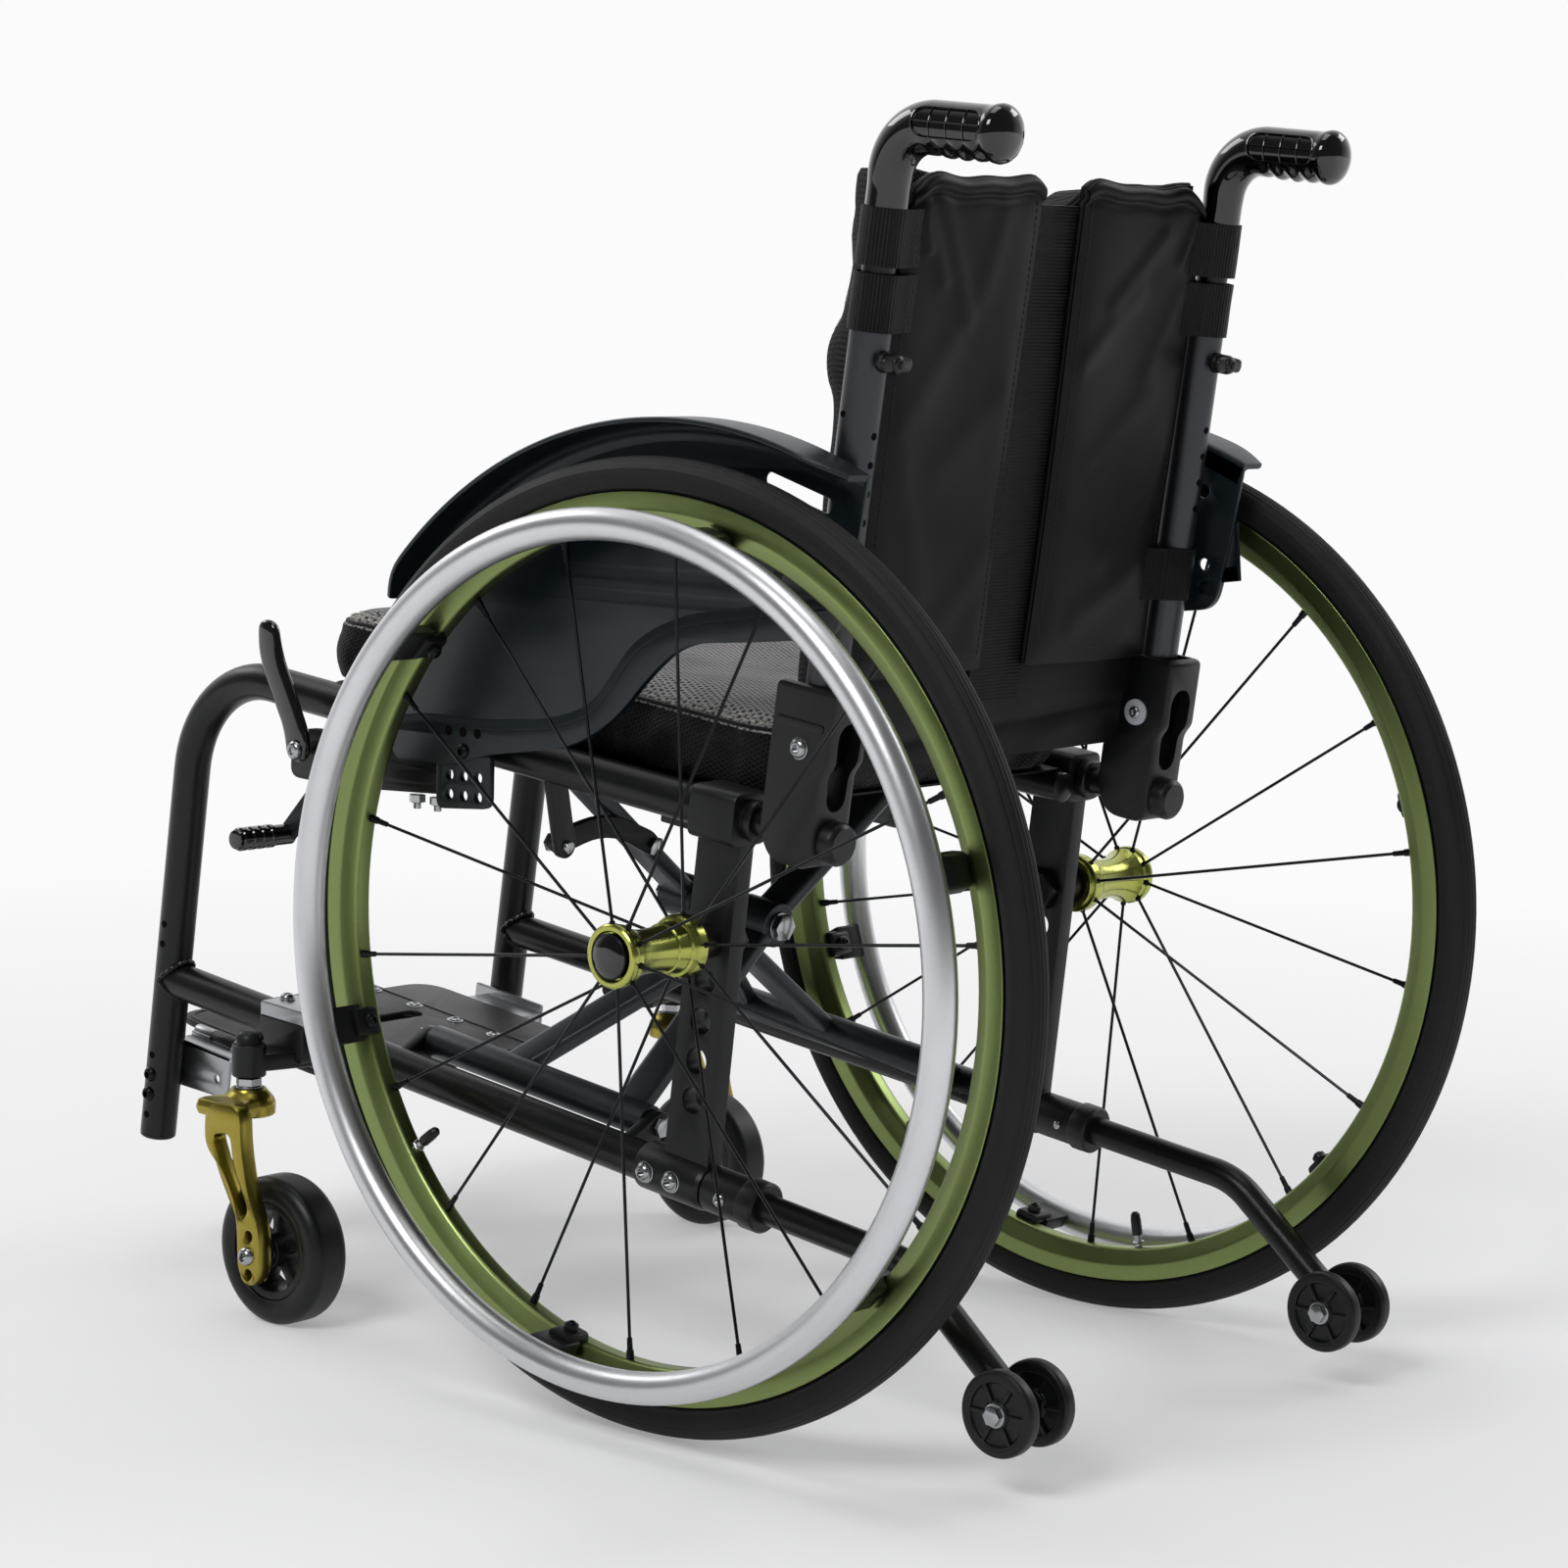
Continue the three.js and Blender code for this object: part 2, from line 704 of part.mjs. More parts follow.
// Path with its corners rounded to real bends
function route(points, radius, steps = 3) {
  const corners = points.map((p) => new THREE.Vector3(...p));
  const stations = [corners[0]];
  for (let i = 1; i < corners.length - 1; i += 1) {
    const toBefore = corners[i - 1].clone().sub(corners[i]).normalize();
    const toAfter = corners[i + 1].clone().sub(corners[i]).normalize();
    const opening = toBefore.angleTo(toAfter) * half;
    const reach = radius / Math.tan(opening);
    const centre = toBefore.clone().add(toAfter).setLength(radius / Math.sin(opening)).add(corners[i]);
    const start = corners[i].clone().addScaledVector(toBefore, reach).sub(centre);
    const end = corners[i].clone().addScaledVector(toAfter, reach).sub(centre);
    const sweep = start.angleTo(end);
    for (let k = 0; k <= steps; k += 1) {
      const t = k / steps;
      const part = start.clone().multiplyScalar(Math.sin((1 - t) * sweep) / Math.sin(sweep));
      stations.push(part.addScaledVector(end, Math.sin(t * sweep) / Math.sin(sweep)).add(centre));
    }
  }
  stations.push(corners[corners.length - 1]);
  return stations;
}

class StationPath extends THREE.Curve {
  constructor(stations) {
    super();
    this.stations = stations;
  }

  getPoint(t) {
    const at = Math.min(Math.max(t, 0), 1) * (this.stations.length - 1);
    const i = Math.min(Math.floor(at), this.stations.length - 2);
    return this.stations[i].clone().lerp(this.stations[i + 1], at - i);
  }

  getPointAt(t) {
    return this.getPoint(t);
  }
}

function tube(stations, radius, segments = facetsFor(radius)) {
  const ring = [];
  for (let i = 0; i < segments; i += 1) {
    const t = (2 * Math.PI * i) / segments;
    ring.push(new THREE.Vector2(radius * Math.cos(t), radius * Math.sin(t)));
  }
  const geometry = new THREE.ExtrudeGeometry(new THREE.Shape(ring), {
    steps: stations.length - 1,
    extrudePath: new StationPath(stations),
    curveSegments: 1,
  });
  const piece = solid(geometry);
  return piece.volume() < 0 ? solid(flipped(mergeVertices(geometry))) : piece;
}

// Skin drawn over rings of equal count, closed at both ends
function loft(rings) {
  const count = rings[0].length;
  const positions = rings.flat().flat();
  const order = [];
  const quad = (a, b, c, d) => order.push(a, b, c, a, c, d);
  for (let r = 0; r < rings.length - 1; r += 1) {
    for (let i = 0; i < count; i += 1) {
      const j = (i + 1) % count;
      quad(r * count + i, r * count + j, (r + 1) * count + j, (r + 1) * count + i);
    }
  }
  const last = (rings.length - 1) * count;
  for (let i = 1; i < count - 1; i += 1) {
    order.push(0, i + 1, i);
    order.push(last, last + i, last + i + 1);
  }
  const geometry = new THREE.BufferGeometry();
  geometry.setAttribute('position', new THREE.Float32BufferAttribute(positions, 3));
  geometry.setIndex(order);
  const piece = solid(geometry);
  return piece.volume() < 0 ? solid(flipped(geometry)) : piece;
}

// Frames that lie along the lower tube, the seat tube or the footplate
const degrees = 180 / Math.PI;
const alongBrace = (piece) => piece.rotate([-braceAngle * degrees, 0, 0]).translate([0, braceOriginY, braceOriginZ]);
const alongSeat = (piece) => piece.rotate([-seatAngle * degrees, 0, 0]).translate([0, 0, seatZ]);
const alongFoot = (piece) => piece.rotate([-braceAngle * degrees, 0, 0]).translate([0, plateOriginY, plateOriginZ]);
const alongPost = (piece) =>
  piece.rotate([-Math.atan(postSlope) * degrees, 0, 0]).translate([0, postLine(pivotZ), pivotZ]);

// Rear wheel pieces, each turned around the X axis
const wheelPhase = Math.PI / wheelFacets;

function rearTyre() {
  const sectionRadius = tyreWidth * half;
  const centre = overFacets(tyreRadius, wheelFacets) - sectionRadius;
  const seat = rimRadius - tyreBeadDepth;
  const profile = [];
  for (let deg = -35; deg <= 215; deg += 50) {
    const t = deg / degrees;
    profile.push([centre + sectionRadius * Math.sin(t), wheelX + sectionRadius * Math.cos(t)]);
  }
  const neck = rimWidth * half - rimWall - fitGap;
  profile.push([seat, wheelX - neck], [seat, wheelX + neck]);
  return turned(profile, 'x', 0, tyreRadius, wheelFacets, wheelPhase);
}

function valveStem(side) {
  const angle = valveAngle[side] / degrees;
  const floor = rimRadius - rimDepth;
  const at = (r) => [wheelX, r * Math.cos(angle), tyreRadius + r * Math.sin(angle)];
  return strut(at(floor - valveLength), at(floor + valveSink), valveRadius);
}

function rearRim(side) {
  const flange = rimWidth * half;
  const bed = rimBedWidth * half;
  const shoulder = rimRadius - rimDepth * half;
  const floor = rimRadius - rimDepth;
  const well = rimRadius - rimWellDepth;
  const profile = [
    [rimRadius, flange], [shoulder, flange], [floor, bed], [floor, -bed], [shoulder, -flange],
    [rimRadius, -flange], [well, rimWall - flange], [well, flange - rimWall],
  ].map(([r, x]) => [r, wheelX + x]);
  return join(turned(profile, 'x', 0, tyreRadius, wheelFacets, wheelPhase), valveStem(side));
}

function spoke(index, phase) {
  const outer = index % 2 === 1;
  const angle = (2 * Math.PI * index) / spokeCount + phase / degrees;
  const flangeX = hubOuterX - (outer ? spokeOuterDepth : spokeInnerDepth);
  const aimX = wheelX + (outer ? spokeStagger : -spokeStagger);
  const rimEnd = (rimRadius - rimDepth) * Math.cos(Math.PI / wheelFacets) - fitGap;
  const hubEnd = hubFlangeRadius - spokeSink;
  const ring = ([r, thick]) => {
    const x = flangeX + ((aimX - flangeX) * (r - hubEnd)) / (rimEnd - hubEnd);
    return [[thick, 0], [0, thick], [-thick, 0], [0, -thick]].map(([across, out]) => [
      x + out,
      r * Math.cos(angle) - across * Math.sin(angle),
      tyreRadius + r * Math.sin(angle) + across * Math.cos(angle),
    ]);
  };
  const nippleFrom = rimEnd - nippleLength;
  return loft([[hubEnd, spokeRadius], [nippleFrom, spokeRadius], [rimEnd, nippleRadius]].map(ring));
}

function rearHub(side) {
  const pinEnd = receiverInnerX - axlePinProud;
  const shell = hubProfileShares.map(([r, depth]) => [r * hubFlangeRadius, hubOuterX - depth * hubLength]);
  const body = turned([
    [0, hubOuterX], ...shell, [axlePinRadius, hubOuterX - hubLength], [axlePinRadius, pinEnd], [0, pinEnd],
  ], 'x', 0, tyreRadius, 12);
  const floor = hubOuterX - buttonTravel - buttonSink - buttonFloorGap;
  const recess = drill('x', buttonRadius + pivotGap, floor, hubOuterX + overrun, 0, tyreRadius);
  const spokes = Array.from({ length: spokeCount }, (unused, i) => spoke(i, spokePhase[side]));
  return join(cut(body, recess), spokes);
}

function axleButton() {
  const back = hubOuterX - buttonSink;
  const crown = buttonCrownShares.map(([r, proud]) => [r * buttonRadius, hubOuterX + proud * buttonProud]);
  return turned([[0, back], [buttonRadius, back], ...crown], 'x', 0, tyreRadius, 12);
}

function handrimTab() {
  const low = handrimRadius - tabBelow;
  const high = handrimRadius + tabAbove;
  const shape = outline([[-tabRootHalf, low], [tabRootHalf, low], [tabTipHalf, high], [-tabTipHalf, high]]);
  return slabX(shape, wheelX + rimWidth * half + fitGap, handrimX - tabSink);
}

function handrim() {
  const r = handrimTube * half;
  const ring = [];
  for (let i = 0; i < handrimSides; i += 1) {
    const t = (2 * Math.PI * (i + half)) / handrimSides;
    ring.push([handrimRadius + r * Math.cos(t), handrimX + r * Math.sin(t)]);
  }
  const rim = turned(ring, 'x', 0, tyreRadius, wheelFacets, wheelPhase);
  const tab = handrimTab();
  const tabs = [];
  for (let i = 0; i < tabCount; i += 1) {
    tabs.push(tab.rotate([tabPhase + (360 * i) / tabCount, 0, 0]).translate([0, 0, tyreRadius]));
  }
  return join(rim, tabs);
}

// Side frame: front leg, bend and seat tube in one, lower tube, brace pins and rail cradles
function bracePins() {
  const lug = linkOutline([frameX, -sleeveAboveTube], lugRadius, [braceX, 0], lugRadius);
  const front = sleeveFrontS - fitGap;
  const rear = sleeveRearS + fitGap;
  return alongBrace(join(
    slabY(lug, front - lugThick, front),
    slabY(lug, rear, rear + lugThick),
    rod('y', sleevePinRadius, front - lugThick * half, rear + lugThick * half, braceX, 0),
    rod('y', lugNutRadius, front - lugThick - lugNutThick, front - lugThick, braceX, 0, hexSides),
    rod('y', lugNutRadius, rear + lugThick, rear + lugThick + lugNutThick, braceX, 0, hexSides),
  ));
}

function railCradle(y) {
  const reach = railRadius + cradleWall;
  const pad = block(braceX - reach, frameX - cradleSink, y - cradleHalf, y + cradleHalf,
    -railDrop - railRadius - cradleFloor, -railDrop - cradleRim);
  const long = cradleHalf + overrun;
  const groove = drill('y', railRadius + pivotGap, y - long, y + long, braceX, -railDrop);
  return alongSeat(cut(pad, groove));
}

function sideFrame() {
  const cornerZ = (seatZ - seatSlope * (legFootY - legSlope * legFootZ)) / (1 + seatSlope * legSlope);
  const bend = route([
    [frameX, legFootY, legFootZ], [frameX, legLine(cornerZ), cornerZ],
    [frameX, seatTubeRearY, seatLine(seatTubeRearY)],
  ], frontBendRadius, 4);
  const joinZ = lowLine(legLine(lowJoinZ));
  const onLow = (y) => [frameX, y, lowLine(y)];
  const low = [new THREE.Vector3(frameX, legLine(joinZ), joinZ), new THREE.Vector3(...onLow(lowTubeRearY))];
  const weldY = legLine(joinZ) + tubeRadius;
  const weld = strut(onLow(weldY - weldHalf), onLow(weldY + weldHalf), tubeRadius + weldProud);
  const stubFrontY = seatTubeRearY - stubSink;
  const stub = strut([frameX, stubFrontY, seatLine(stubFrontY)], [frameX, stubRearY, seatLine(stubRearY)], stubRadius);
  const body = join(tube(bend, tubeRadius), tube(low, tubeRadius), weld, stub, bracePins(), cradleY.map(railCradle));
  const outer = frameX + tubeRadius;
  const holes = legHoleZ.map((z) => rod('x', legHoleRadius, outer - legHoleDepth, outer + overrun, legLine(z), z));
  return cut(body, holes);
}

// Axle plate: tapered bar clamped to both tubes, with the axle receiver in its top hole
function axlePlate() {
  const lean = seatAngle * degrees;
  const w = plateWidth * half;
  const top = w - plateTaper;
  const low = lowLine(plateFootY) - tyreRadius;
  const high = seatLine(plateHeadY) - tyreRadius;
  const thick = plateThick * half;
  const bar = slabX(outline([[-w, low], [w, low], [top, high], [-top, high]]), frameX - thick, frameX + thick);
  const holes = [];
  for (let i = 0; i <= plateHoleCount; i += 1) {
    holes.push(rod('x', plateHoleRadius, frameX - thick - overrun, frameX + thick + overrun, 0, -plateHolePitch * i));
  }
  const place = (piece) => piece.rotate([-lean, 0, 0]).translate([0, 0, tyreRadius]);
  const body = join(cut(place(bar), place(join(...holes))), footClamp(), saddleClamp(), axleReceiver());
  const bore = drill('x', axlePinRadius + pivotGap, receiverInnerX - overrun, receiverOuterX + overrun, 0, tyreRadius);
  return cut(body, bore, ...tubeBores());
}

function axleReceiver() {
  const nutEnd = receiverInnerX + receiverNutThick;
  return join(
    rod('x', receiverRadius, nutEnd - bite, receiverOuterX, 0, tyreRadius),
    rod('x', receiverNutRadius, receiverInnerX, nutEnd, 0, tyreRadius, hexSides),
  );
}

function tubeBores() {
  const seatEnds = [saddleFrontY - plateWidth, saddleRearY + plateWidth];
  const lowEnds = [footClampFrontY - plateWidth, footClampRearY + plateWidth];
  return [
    drillAlong(...seatEnds.map((y) => [frameX, y, seatLine(y)]), tubeRadius + fitGap),
    drillAlong(...lowEnds.map((y) => [frameX, y, lowLine(y)]), tubeRadius + fitGap),
  ];
}

function footClamp() {
  const ends = [footClampFrontY, footClampRearY].map((y) => [frameX, y, lowLine(y)]);
  const sleeve = strut(...ends, tubeRadius + footClampWall);
  const bolts = footBoltY.map((y) => rod('x', footBoltRadius, frameX + tubeRadius, frameX + footBoltReach, y, lowLine(y)));
  return join(sleeve, bolts);
}

function saddleClamp() {
  const w = tubeRadius + saddleWall;
  const shape = outline([[-w, -w], [w, -w], [w, w], [-w, w]], saddleCorner);
  return alongSeat(slabY(shape, saddleFrontY, saddleRearY, 2).translate([frameX, 0, 0]));
}

// Caster: housing, fork, wheel core and tyre
function housingArm(y) {
  const rootX = frameX - housingArmInset;
  const from = bossBottomZ + housingArmRise;
  return slabZ(outline([
    [rootX, y - housingArmFlare], [casterX, stemY - housingArmNeck], [casterX + housingArmNose, stemY],
    [casterX, stemY + housingArmNeck], [rootX, y + housingArmFlare],
  ], housingArmCorner), from, from + housingArmThick, 2);
}

function casterHousing() {
  const y = stemY + housingAhead;
  const z = lowLine(y);
  const w = tubeRadius + housingWall;
  const corners = placed(housingShares, housingHalf, [y, z]);
  const clamp = slabX(outline(corners, housingCorner), frameX - w, frameX + w, 2);
  const bolts = housingBoltD.map((d) =>
    rod('z', housingBoltRadius, z + tubeRadius, z + housingBoltTop - d * lowSlope, frameX, y + d));
  const boss = rod('z', bossRadius, bossBottomZ, bossTopZ, casterX, stemY);
  const crown = bossCapShares.map(([r, rise]) => [r * bossCapRadius, bossTopZ + rise * bossCapHeight]);
  const cap = turned([[0, bossTopZ - bite], [bossCapRadius, bossTopZ - bite], ...crown], 'z', casterX, stemY, 20);
  const bore = drill('z', stemRadius + pivotGap, bossBottomZ - overrun, bossTopZ - stemRoof, casterX, stemY);
  const ends = [y - housingHalf - overrun, y + housingHalf + overrun].map((at) => [frameX, at, lowLine(at)]);
  return cut(join(clamp, bolts, housingArm(y), boss, cap), bore, drillAlong(...ends, tubeRadius + fitGap));
}

function forkPlate() {
  const size = crownTopZ - casterRadius;
  const centre = [casterAxleY, casterRadius];
  const leg = slabX(outline(placed(forkLegShares, size, centre)), forkInnerX, forkOuterX);
  const slot = outline(placed(forkSlotShares, size, centre));
  return cut(leg, slabX(slot, forkInnerX - overrun, forkOuterX + overrun));
}

function forkBridge() {
  const back = casterX - bridgeBack;
  return slabZ(outline([
    [back, stemY - bridgeHalf], [forkOuterX, stemY - bridgeFlare], [forkOuterX, stemY + bridgeFlare],
    [back, stemY + bridgeHalf],
  ], bridgeCorner), crownBottomZ, crownTopZ - bridgeDrop);
}

function forkCrown() {
  const foot = crownBottomZ - crownLip;
  const crown = turned([
    [0, foot], [crownRadius, foot], [crownRadius, crownTopZ - crownChamfer], [crownRadius - crownChamfer, crownTopZ],
    [0, crownTopZ],
  ], 'z', casterX, stemY, 20);
  const nut = rod('z', stemNutRadius, crownTopZ - bite, bossBottomZ - fitGap, casterX, stemY, hexSides);
  const stem = rod('z', stemRadius, crownTopZ - bite, bossTopZ - stemRoof - stemTopGap, casterX, stemY);
  return join(crown, nut, stem);
}

function casterFork() {
  const y = casterAxleY;
  const headEnd = forkOuterX + casterHeadThick;
  const nutEnd = casterX - casterWidth * half - casterNutGap;
  const axle = rod('x', casterAxleRadius, nutEnd - bite, forkOuterX + bite, y, casterRadius);
  const head = rod('x', casterHeadRadius, forkOuterX - bite, headEnd, y, casterRadius);
  const endNut = rod('x', casterNutRadius, nutEnd - casterNutThick, nutEnd, y, casterRadius, hexSides);
  const holes = [forkHoleOffset, -forkHoleOffset].map((d) =>
    rod('x', forkHoleRadius, forkInnerX - overrun, forkOuterX + overrun, y, casterRadius + d));
  return join(cut(join(forkPlate(), forkBridge()), holes), forkCrown(), axle, head, endNut);
}

function casterCore() {
  const w = casterWidth * half;
  const bore = casterAxleRadius + pivotGap;
  const ring = (inner, outer, side) =>
    turned([[inner, casterX - side], [outer, casterX - side], [outer, casterX + side], [inner, casterX + side]],
      'x', casterAxleY, casterRadius, facetsFor(outer));
  const spokes = Array.from({ length: coreSpokeCount }, (unused, i) => {
    const bar = block(casterX - coreSpokeHalfX, casterX + coreSpokeHalfX, coreHubRadius - bite, coreInner + bite,
      -coreSpokeHalf, coreSpokeHalf);
    const turn = coreSpokePhase + (360 / coreSpokeCount) * i;
    return bar.rotate([turn, 0, 0]).translate([0, casterAxleY, casterRadius]);
  });
  const body = join(ring(coreInner, coreOuter, w - coreInset), ring(bore, coreHubRadius, w), spokes);
  return cut(body, rod('x', bore, casterX - w - overrun, casterX + w + overrun, casterAxleY, casterRadius));
}

function casterTyre() {
  const w = casterWidth * half;
  const top = overFacets(casterRadius, casterFacets);
  const foot = [coreOuter + fitGap + casterBevel, w - casterBevel];
  const face = [foot, [top - casterShoulder, w], [top - casterTreadDrop, w - casterTreadInset], [top, w * half]];
  const profile = [...face.map(([r, x]) => [r, casterX - x]), ...face.map(([r, x]) => [r, casterX + x]).reverse()];
  return turned(profile, 'x', casterAxleY, casterRadius, casterFacets, Math.PI / casterFacets);
}

// Fold links between the side frame's hangers and the cross arms
function linkHanger(side) {
  const s = linkFrontS[side];
  const left = side === 'left';
  const from = left ? s + linkThick + pivotGap : s - pivotGap - linkThick;
  const pinFrom = left ? s : from;
  const pinTo = left ? from + linkThick + hangerPinProud : s + linkThick;
  const shape = linkOutline([frameX - hangerInset, braceHeight - hangerBelowRail], linkEyeRadius, linkFrame, linkEyeRadius);
  return alongBrace(join(slabY(shape, from, from + linkThick), rod('y', linkPinRadius, pinFrom, pinTo, ...linkFrame)));
}

function foldLink(side) {
  const s = linkFrontS[side];
  const end = s + linkThick;
  const [fx, fz] = linkFrame;
  const [ax, az] = linkArm;
  const r = linkEyeRadius;
  const middle = (fx + ax) * half;
  const bow = outline([
    [fx + r, fz, r], [fx, fz + r, r], [middle, fz + linkBow, linkBowRound], [ax, az + r, r], [ax - r, az, r],
    [ax, az - r, r], [middle, fz + linkBow - linkBowDepth, linkBowRound], [fx, fz - r, r],
  ]);
  const eye = drill('y', linkPinRadius + pivotGap, s - overrun, end + overrun, fx, fz);
  const bolt = side === 'left' ? rod('y', linkBoltRadius, end - bite, end + linkBoltThick, ax, az)
    : rod('y', linkBoltRadius, s - linkBoltThick, s + bite, ax, az);
  return alongBrace(join(cut(slabY(bow, s, end), eye), bolt));
}

// Cross arms: sleeve, two lower legs, hub and one upper leg that carries the seat rail
function bar([x0, s0, h0], [x1, s1, h1], width = armDepth, thick = armThick) {
  const span = Math.hypot(x1 - x0, h1 - h0);
  const [nx, nh] = [-(h1 - h0) / span, (x1 - x0) / span];
  const w = width * half;
  const t = thick * half;
  const c = t * half;
  const section = [[w, -t + c], [w, t - c], [w - c, t], [-w + c, t], [-w, t - c], [-w, -t + c], [-w + c, -t], [w - c, -t]];
  const ring = (x, s, h) => section.map(([a, b]) => [x + nx * b, s + a, h + nh * b]);
  return loft([ring(x0, s0, h0), ring(x1, s1, h1)]);
}

function crossArm(hubS, [rootFront, rootRear]) {
  const middle = braceHeight * half;
  const halfHub = hubLengthS * half;
  const sleeve = rod('y', sleeveRadius, sleeveFrontS, sleeveRearS, braceX, 0);
  const bores = [
    drill('y', sleevePinRadius + pivotGap, sleeveFrontS - overrun, sleeveRearS + overrun, braceX, 0),
    drill('y', pivotRadius + pivotGap, hubS - hubLengthS, hubS + hubLengthS, 0, middle),
    drill('y', hexReach + pivotGap, hubS - halfHub - hubLengthS, hubS - halfHub, 0, middle),
    drill('y', hexReach + pivotGap, hubS + halfHub, hubS + halfHub + hubLengthS, 0, middle),
  ];
  const hub = rod('y', hubBraceRadius, hubS - halfHub, hubS + halfHub, 0, middle);
  const spread = (hubLengthS - armDepth) * half - legInset;
  const legs = [
    bar([braceX, rootFront, 0], [0, hubS - spread, middle]),
    bar([braceX, rootRear, 0], [0, hubS + spread, middle]),
    bar([0, hubS, middle], [-braceX, hubS, braceHeight]),
  ];
  const railAt = (y) => [-braceX, y, seatLine(y) - railDrop];
  return join(alongBrace(cut(join(sleeve, hub, legs), ...bores)), strut(railAt(railFrontY), railAt(railRearY), railRadius));
}

function crossPivot() {
  const middle = braceHeight * half;
  const front = hubBS - hubLengthS * half - fitGap;
  const rear = hubAS + hubLengthS * half + fitGap;
  const spacerFrom = hubBS + hubLengthS * half + fitGap;
  const spacerTo = hubAS - hubLengthS * half - fitGap;
  return alongBrace(join(
    rod('y', pivotRadius, front - bite, rear + bite, 0, middle),
    rod('y', pivotRadius + spacerWall, spacerFrom, spacerTo, 0, middle),
    rod('y', hexReach, front - hexThick, front, 0, middle, hexSides),
    rod('y', hexReach, rear, rear + hexThick, 0, middle, hexSides),
  ));
}

// Back hinge casting on the stub, with the post in its open channel
function castingShell() {
  const shell = slabX(outline(placed(castingShares, castingHeight, [0, 0])), castingInnerX, castingOuterX);
  const wall = tubeRadius + pivotGap;
  const channel = slabX(outline(placed(channelShares, castingHeight, [0, 0])), frameX - wall, frameX + wall, 2);
  const rear = castingHeight * half;
  const slot = block(frameX - keyholeHalf, frameX + keyholeHalf, keyholeFrontY, rear, -keyholeDrop, keyholeRise);
  const slotTop = rod('y', keyholeRadius, keyholeFrontY, rear, frameX, keyholeRise);
  return cut(shell, channel, slot, slotTop);
}

function backCasting() {
  const pin = rod('x', backPinRadius, castingInnerX - bite, castingOuterX + bite, 0, 0);
  const head = rod('x', backHeadRadius, castingOuterX - bite, castingOuterX + backHeadThick, 0, 0);
  const washer = rod('x', backWasherRadius, castingInnerX - backWasherThick, castingInnerX + bite, 0, 0);
  const plug = turned([
    [0, plugFrontY], [plugRadius, plugFrontY], [plugRadius, plugRearY - plugChamfer],
    [plugRadius - plugChamfer, plugRearY], [0, plugRearY],
  ], 'y', frameX, 0, 20);
  const body = join(alongPost(join(castingShell(), pin, head, washer)), alongSeat(plug));
  const boreEnd = [frameX, stubRearY + fitGap, seatLine(stubRearY)];
  return cut(body, drillAlong([frameX, 0, seatLine(0)], boreEnd, stubRadius + fitGap));
}

function backPost() {
  const top = postRise(postTopZ);
  const outer = rod('z', tubeRadius, -postFootDrop, top, frameX, 0);
  const tongue = rod('z', tongueRadius, -tongueDrop, 0, frameX, 0);
  const boss = rod('y', postBossRadius, 0, postBossReach, frameX, postRise(postAt(knobShare)));
  const bore = drill('z', postBore, postRise(postAt(postBoreShare)), top + overrun, frameX, 0);
  const reach = tubeRadius + overrun;
  const eye = drill('x', backPinRadius + pivotGap, frameX - reach, frameX + reach, 0, 0);
  return alongPost(cut(join(outer, tongue, boss), bore, eye));
}

function gripRings(stations) {
  return stations.map((p, i) => {
    const before = stations[Math.max(i - 1, 0)].centre;
    const after = stations[Math.min(i + 1, stations.length - 1)].centre;
    const along = after.clone().sub(before).normalize();
    const up = along.clone().cross(new THREE.Vector3(1, 0, 0)).negate();
    return Array.from({ length: gripSides }, (unused, k) => {
      const t = (2 * Math.PI * k) / gripSides;
      const lift = p.radius * Math.sin(t) + (Math.sin(t) < gripFlankShare ? p.groove : 0);
      const at = p.centre.clone().addScaledVector(up, lift);
      return [at.x + p.radius * Math.cos(t), at.y, at.z];
    });
  });
}

function pushHandle() {
  const cornerZ = handleTopZ + handleRise;
  const tipZ = handleTopZ - gripDroop;
  const onPost = (z) => [frameX, postLine(z), z];
  const tip = [frameX, gripEndY, tipZ];
  const corner = onPost(cornerZ);
  const foot = onPost(postAt(handleFootShare));
  const core = tube(route([foot, corner, [frameX, gripEndY - gripCap, tipZ]], handleBend), handleTubeRadius, handleSides);
  const path = route([onPost(postTopZ + gripAboveTube), corner, tip], handleBend);
  const stations = gripBendShares.map((share, i) => ({ centre: path[i], radius: share * gripRadius, groove: 0 }));
  const straightFrom = path[path.length - 2];
  gripShares.forEach(([along, round, deep]) => {
    const centre = straightFrom.clone().lerp(new THREE.Vector3(...tip), along);
    stations.push({ centre, radius: round * gripRadius, groove: deep * gripGroove });
  });
  return join(core, loft(gripRings(stations)));
}

function wingKnob() {
  const z = postRise(postAt(knobShare));
  const from = postBossReach + fitGap;
  const hub = rod('y', knobHubRadius, from, from + knobLength, frameX, z);
  const shape = outline(placed(wingShares, wingHalf, [0, 0]), wingCorner);
  const wing = slabY(shape, from + wingSet, from + wingSet + wingThick, 2).translate([frameX, 0, z]);
  return alongPost(join(hub, wing));
}

// Anti-tip arm, its socket on the tube end, spring button and pair of small wheels
function tipSocket() {
  const at = (y) => [frameX, y, lowLine(y)];
  const sleeve = strut(at(socketFrontY), at(socketCollarY + bite), socketRadius - socketStep);
  const collar = strut(at(socketCollarY), at(socketRearY), socketRadius);
  const tubeBore = drillAlong(at(socketFrontY - overrun), at(lowTubeRearY + tipStopGap), tubeRadius + fitGap);
  const armBore = drillAlong(at(0), at(socketRearY + overrun), tipArmRadius + pivotGap);
  const hole = drill('x', tipButtonRadius + pivotGap, frameX - socketRadius - overrun, frameX - tipArmRadius * half,
    tipButtonY, lowLine(tipButtonY));
  return cut(join(sleeve, collar), tubeBore, armBore, hole);
}

function tipButton() {
  const end = frameX - socketRadius - tipButtonProud;
  return rod('x', tipButtonRadius, end, end + tipButtonLength, tipButtonY, lowLine(tipButtonY));
}

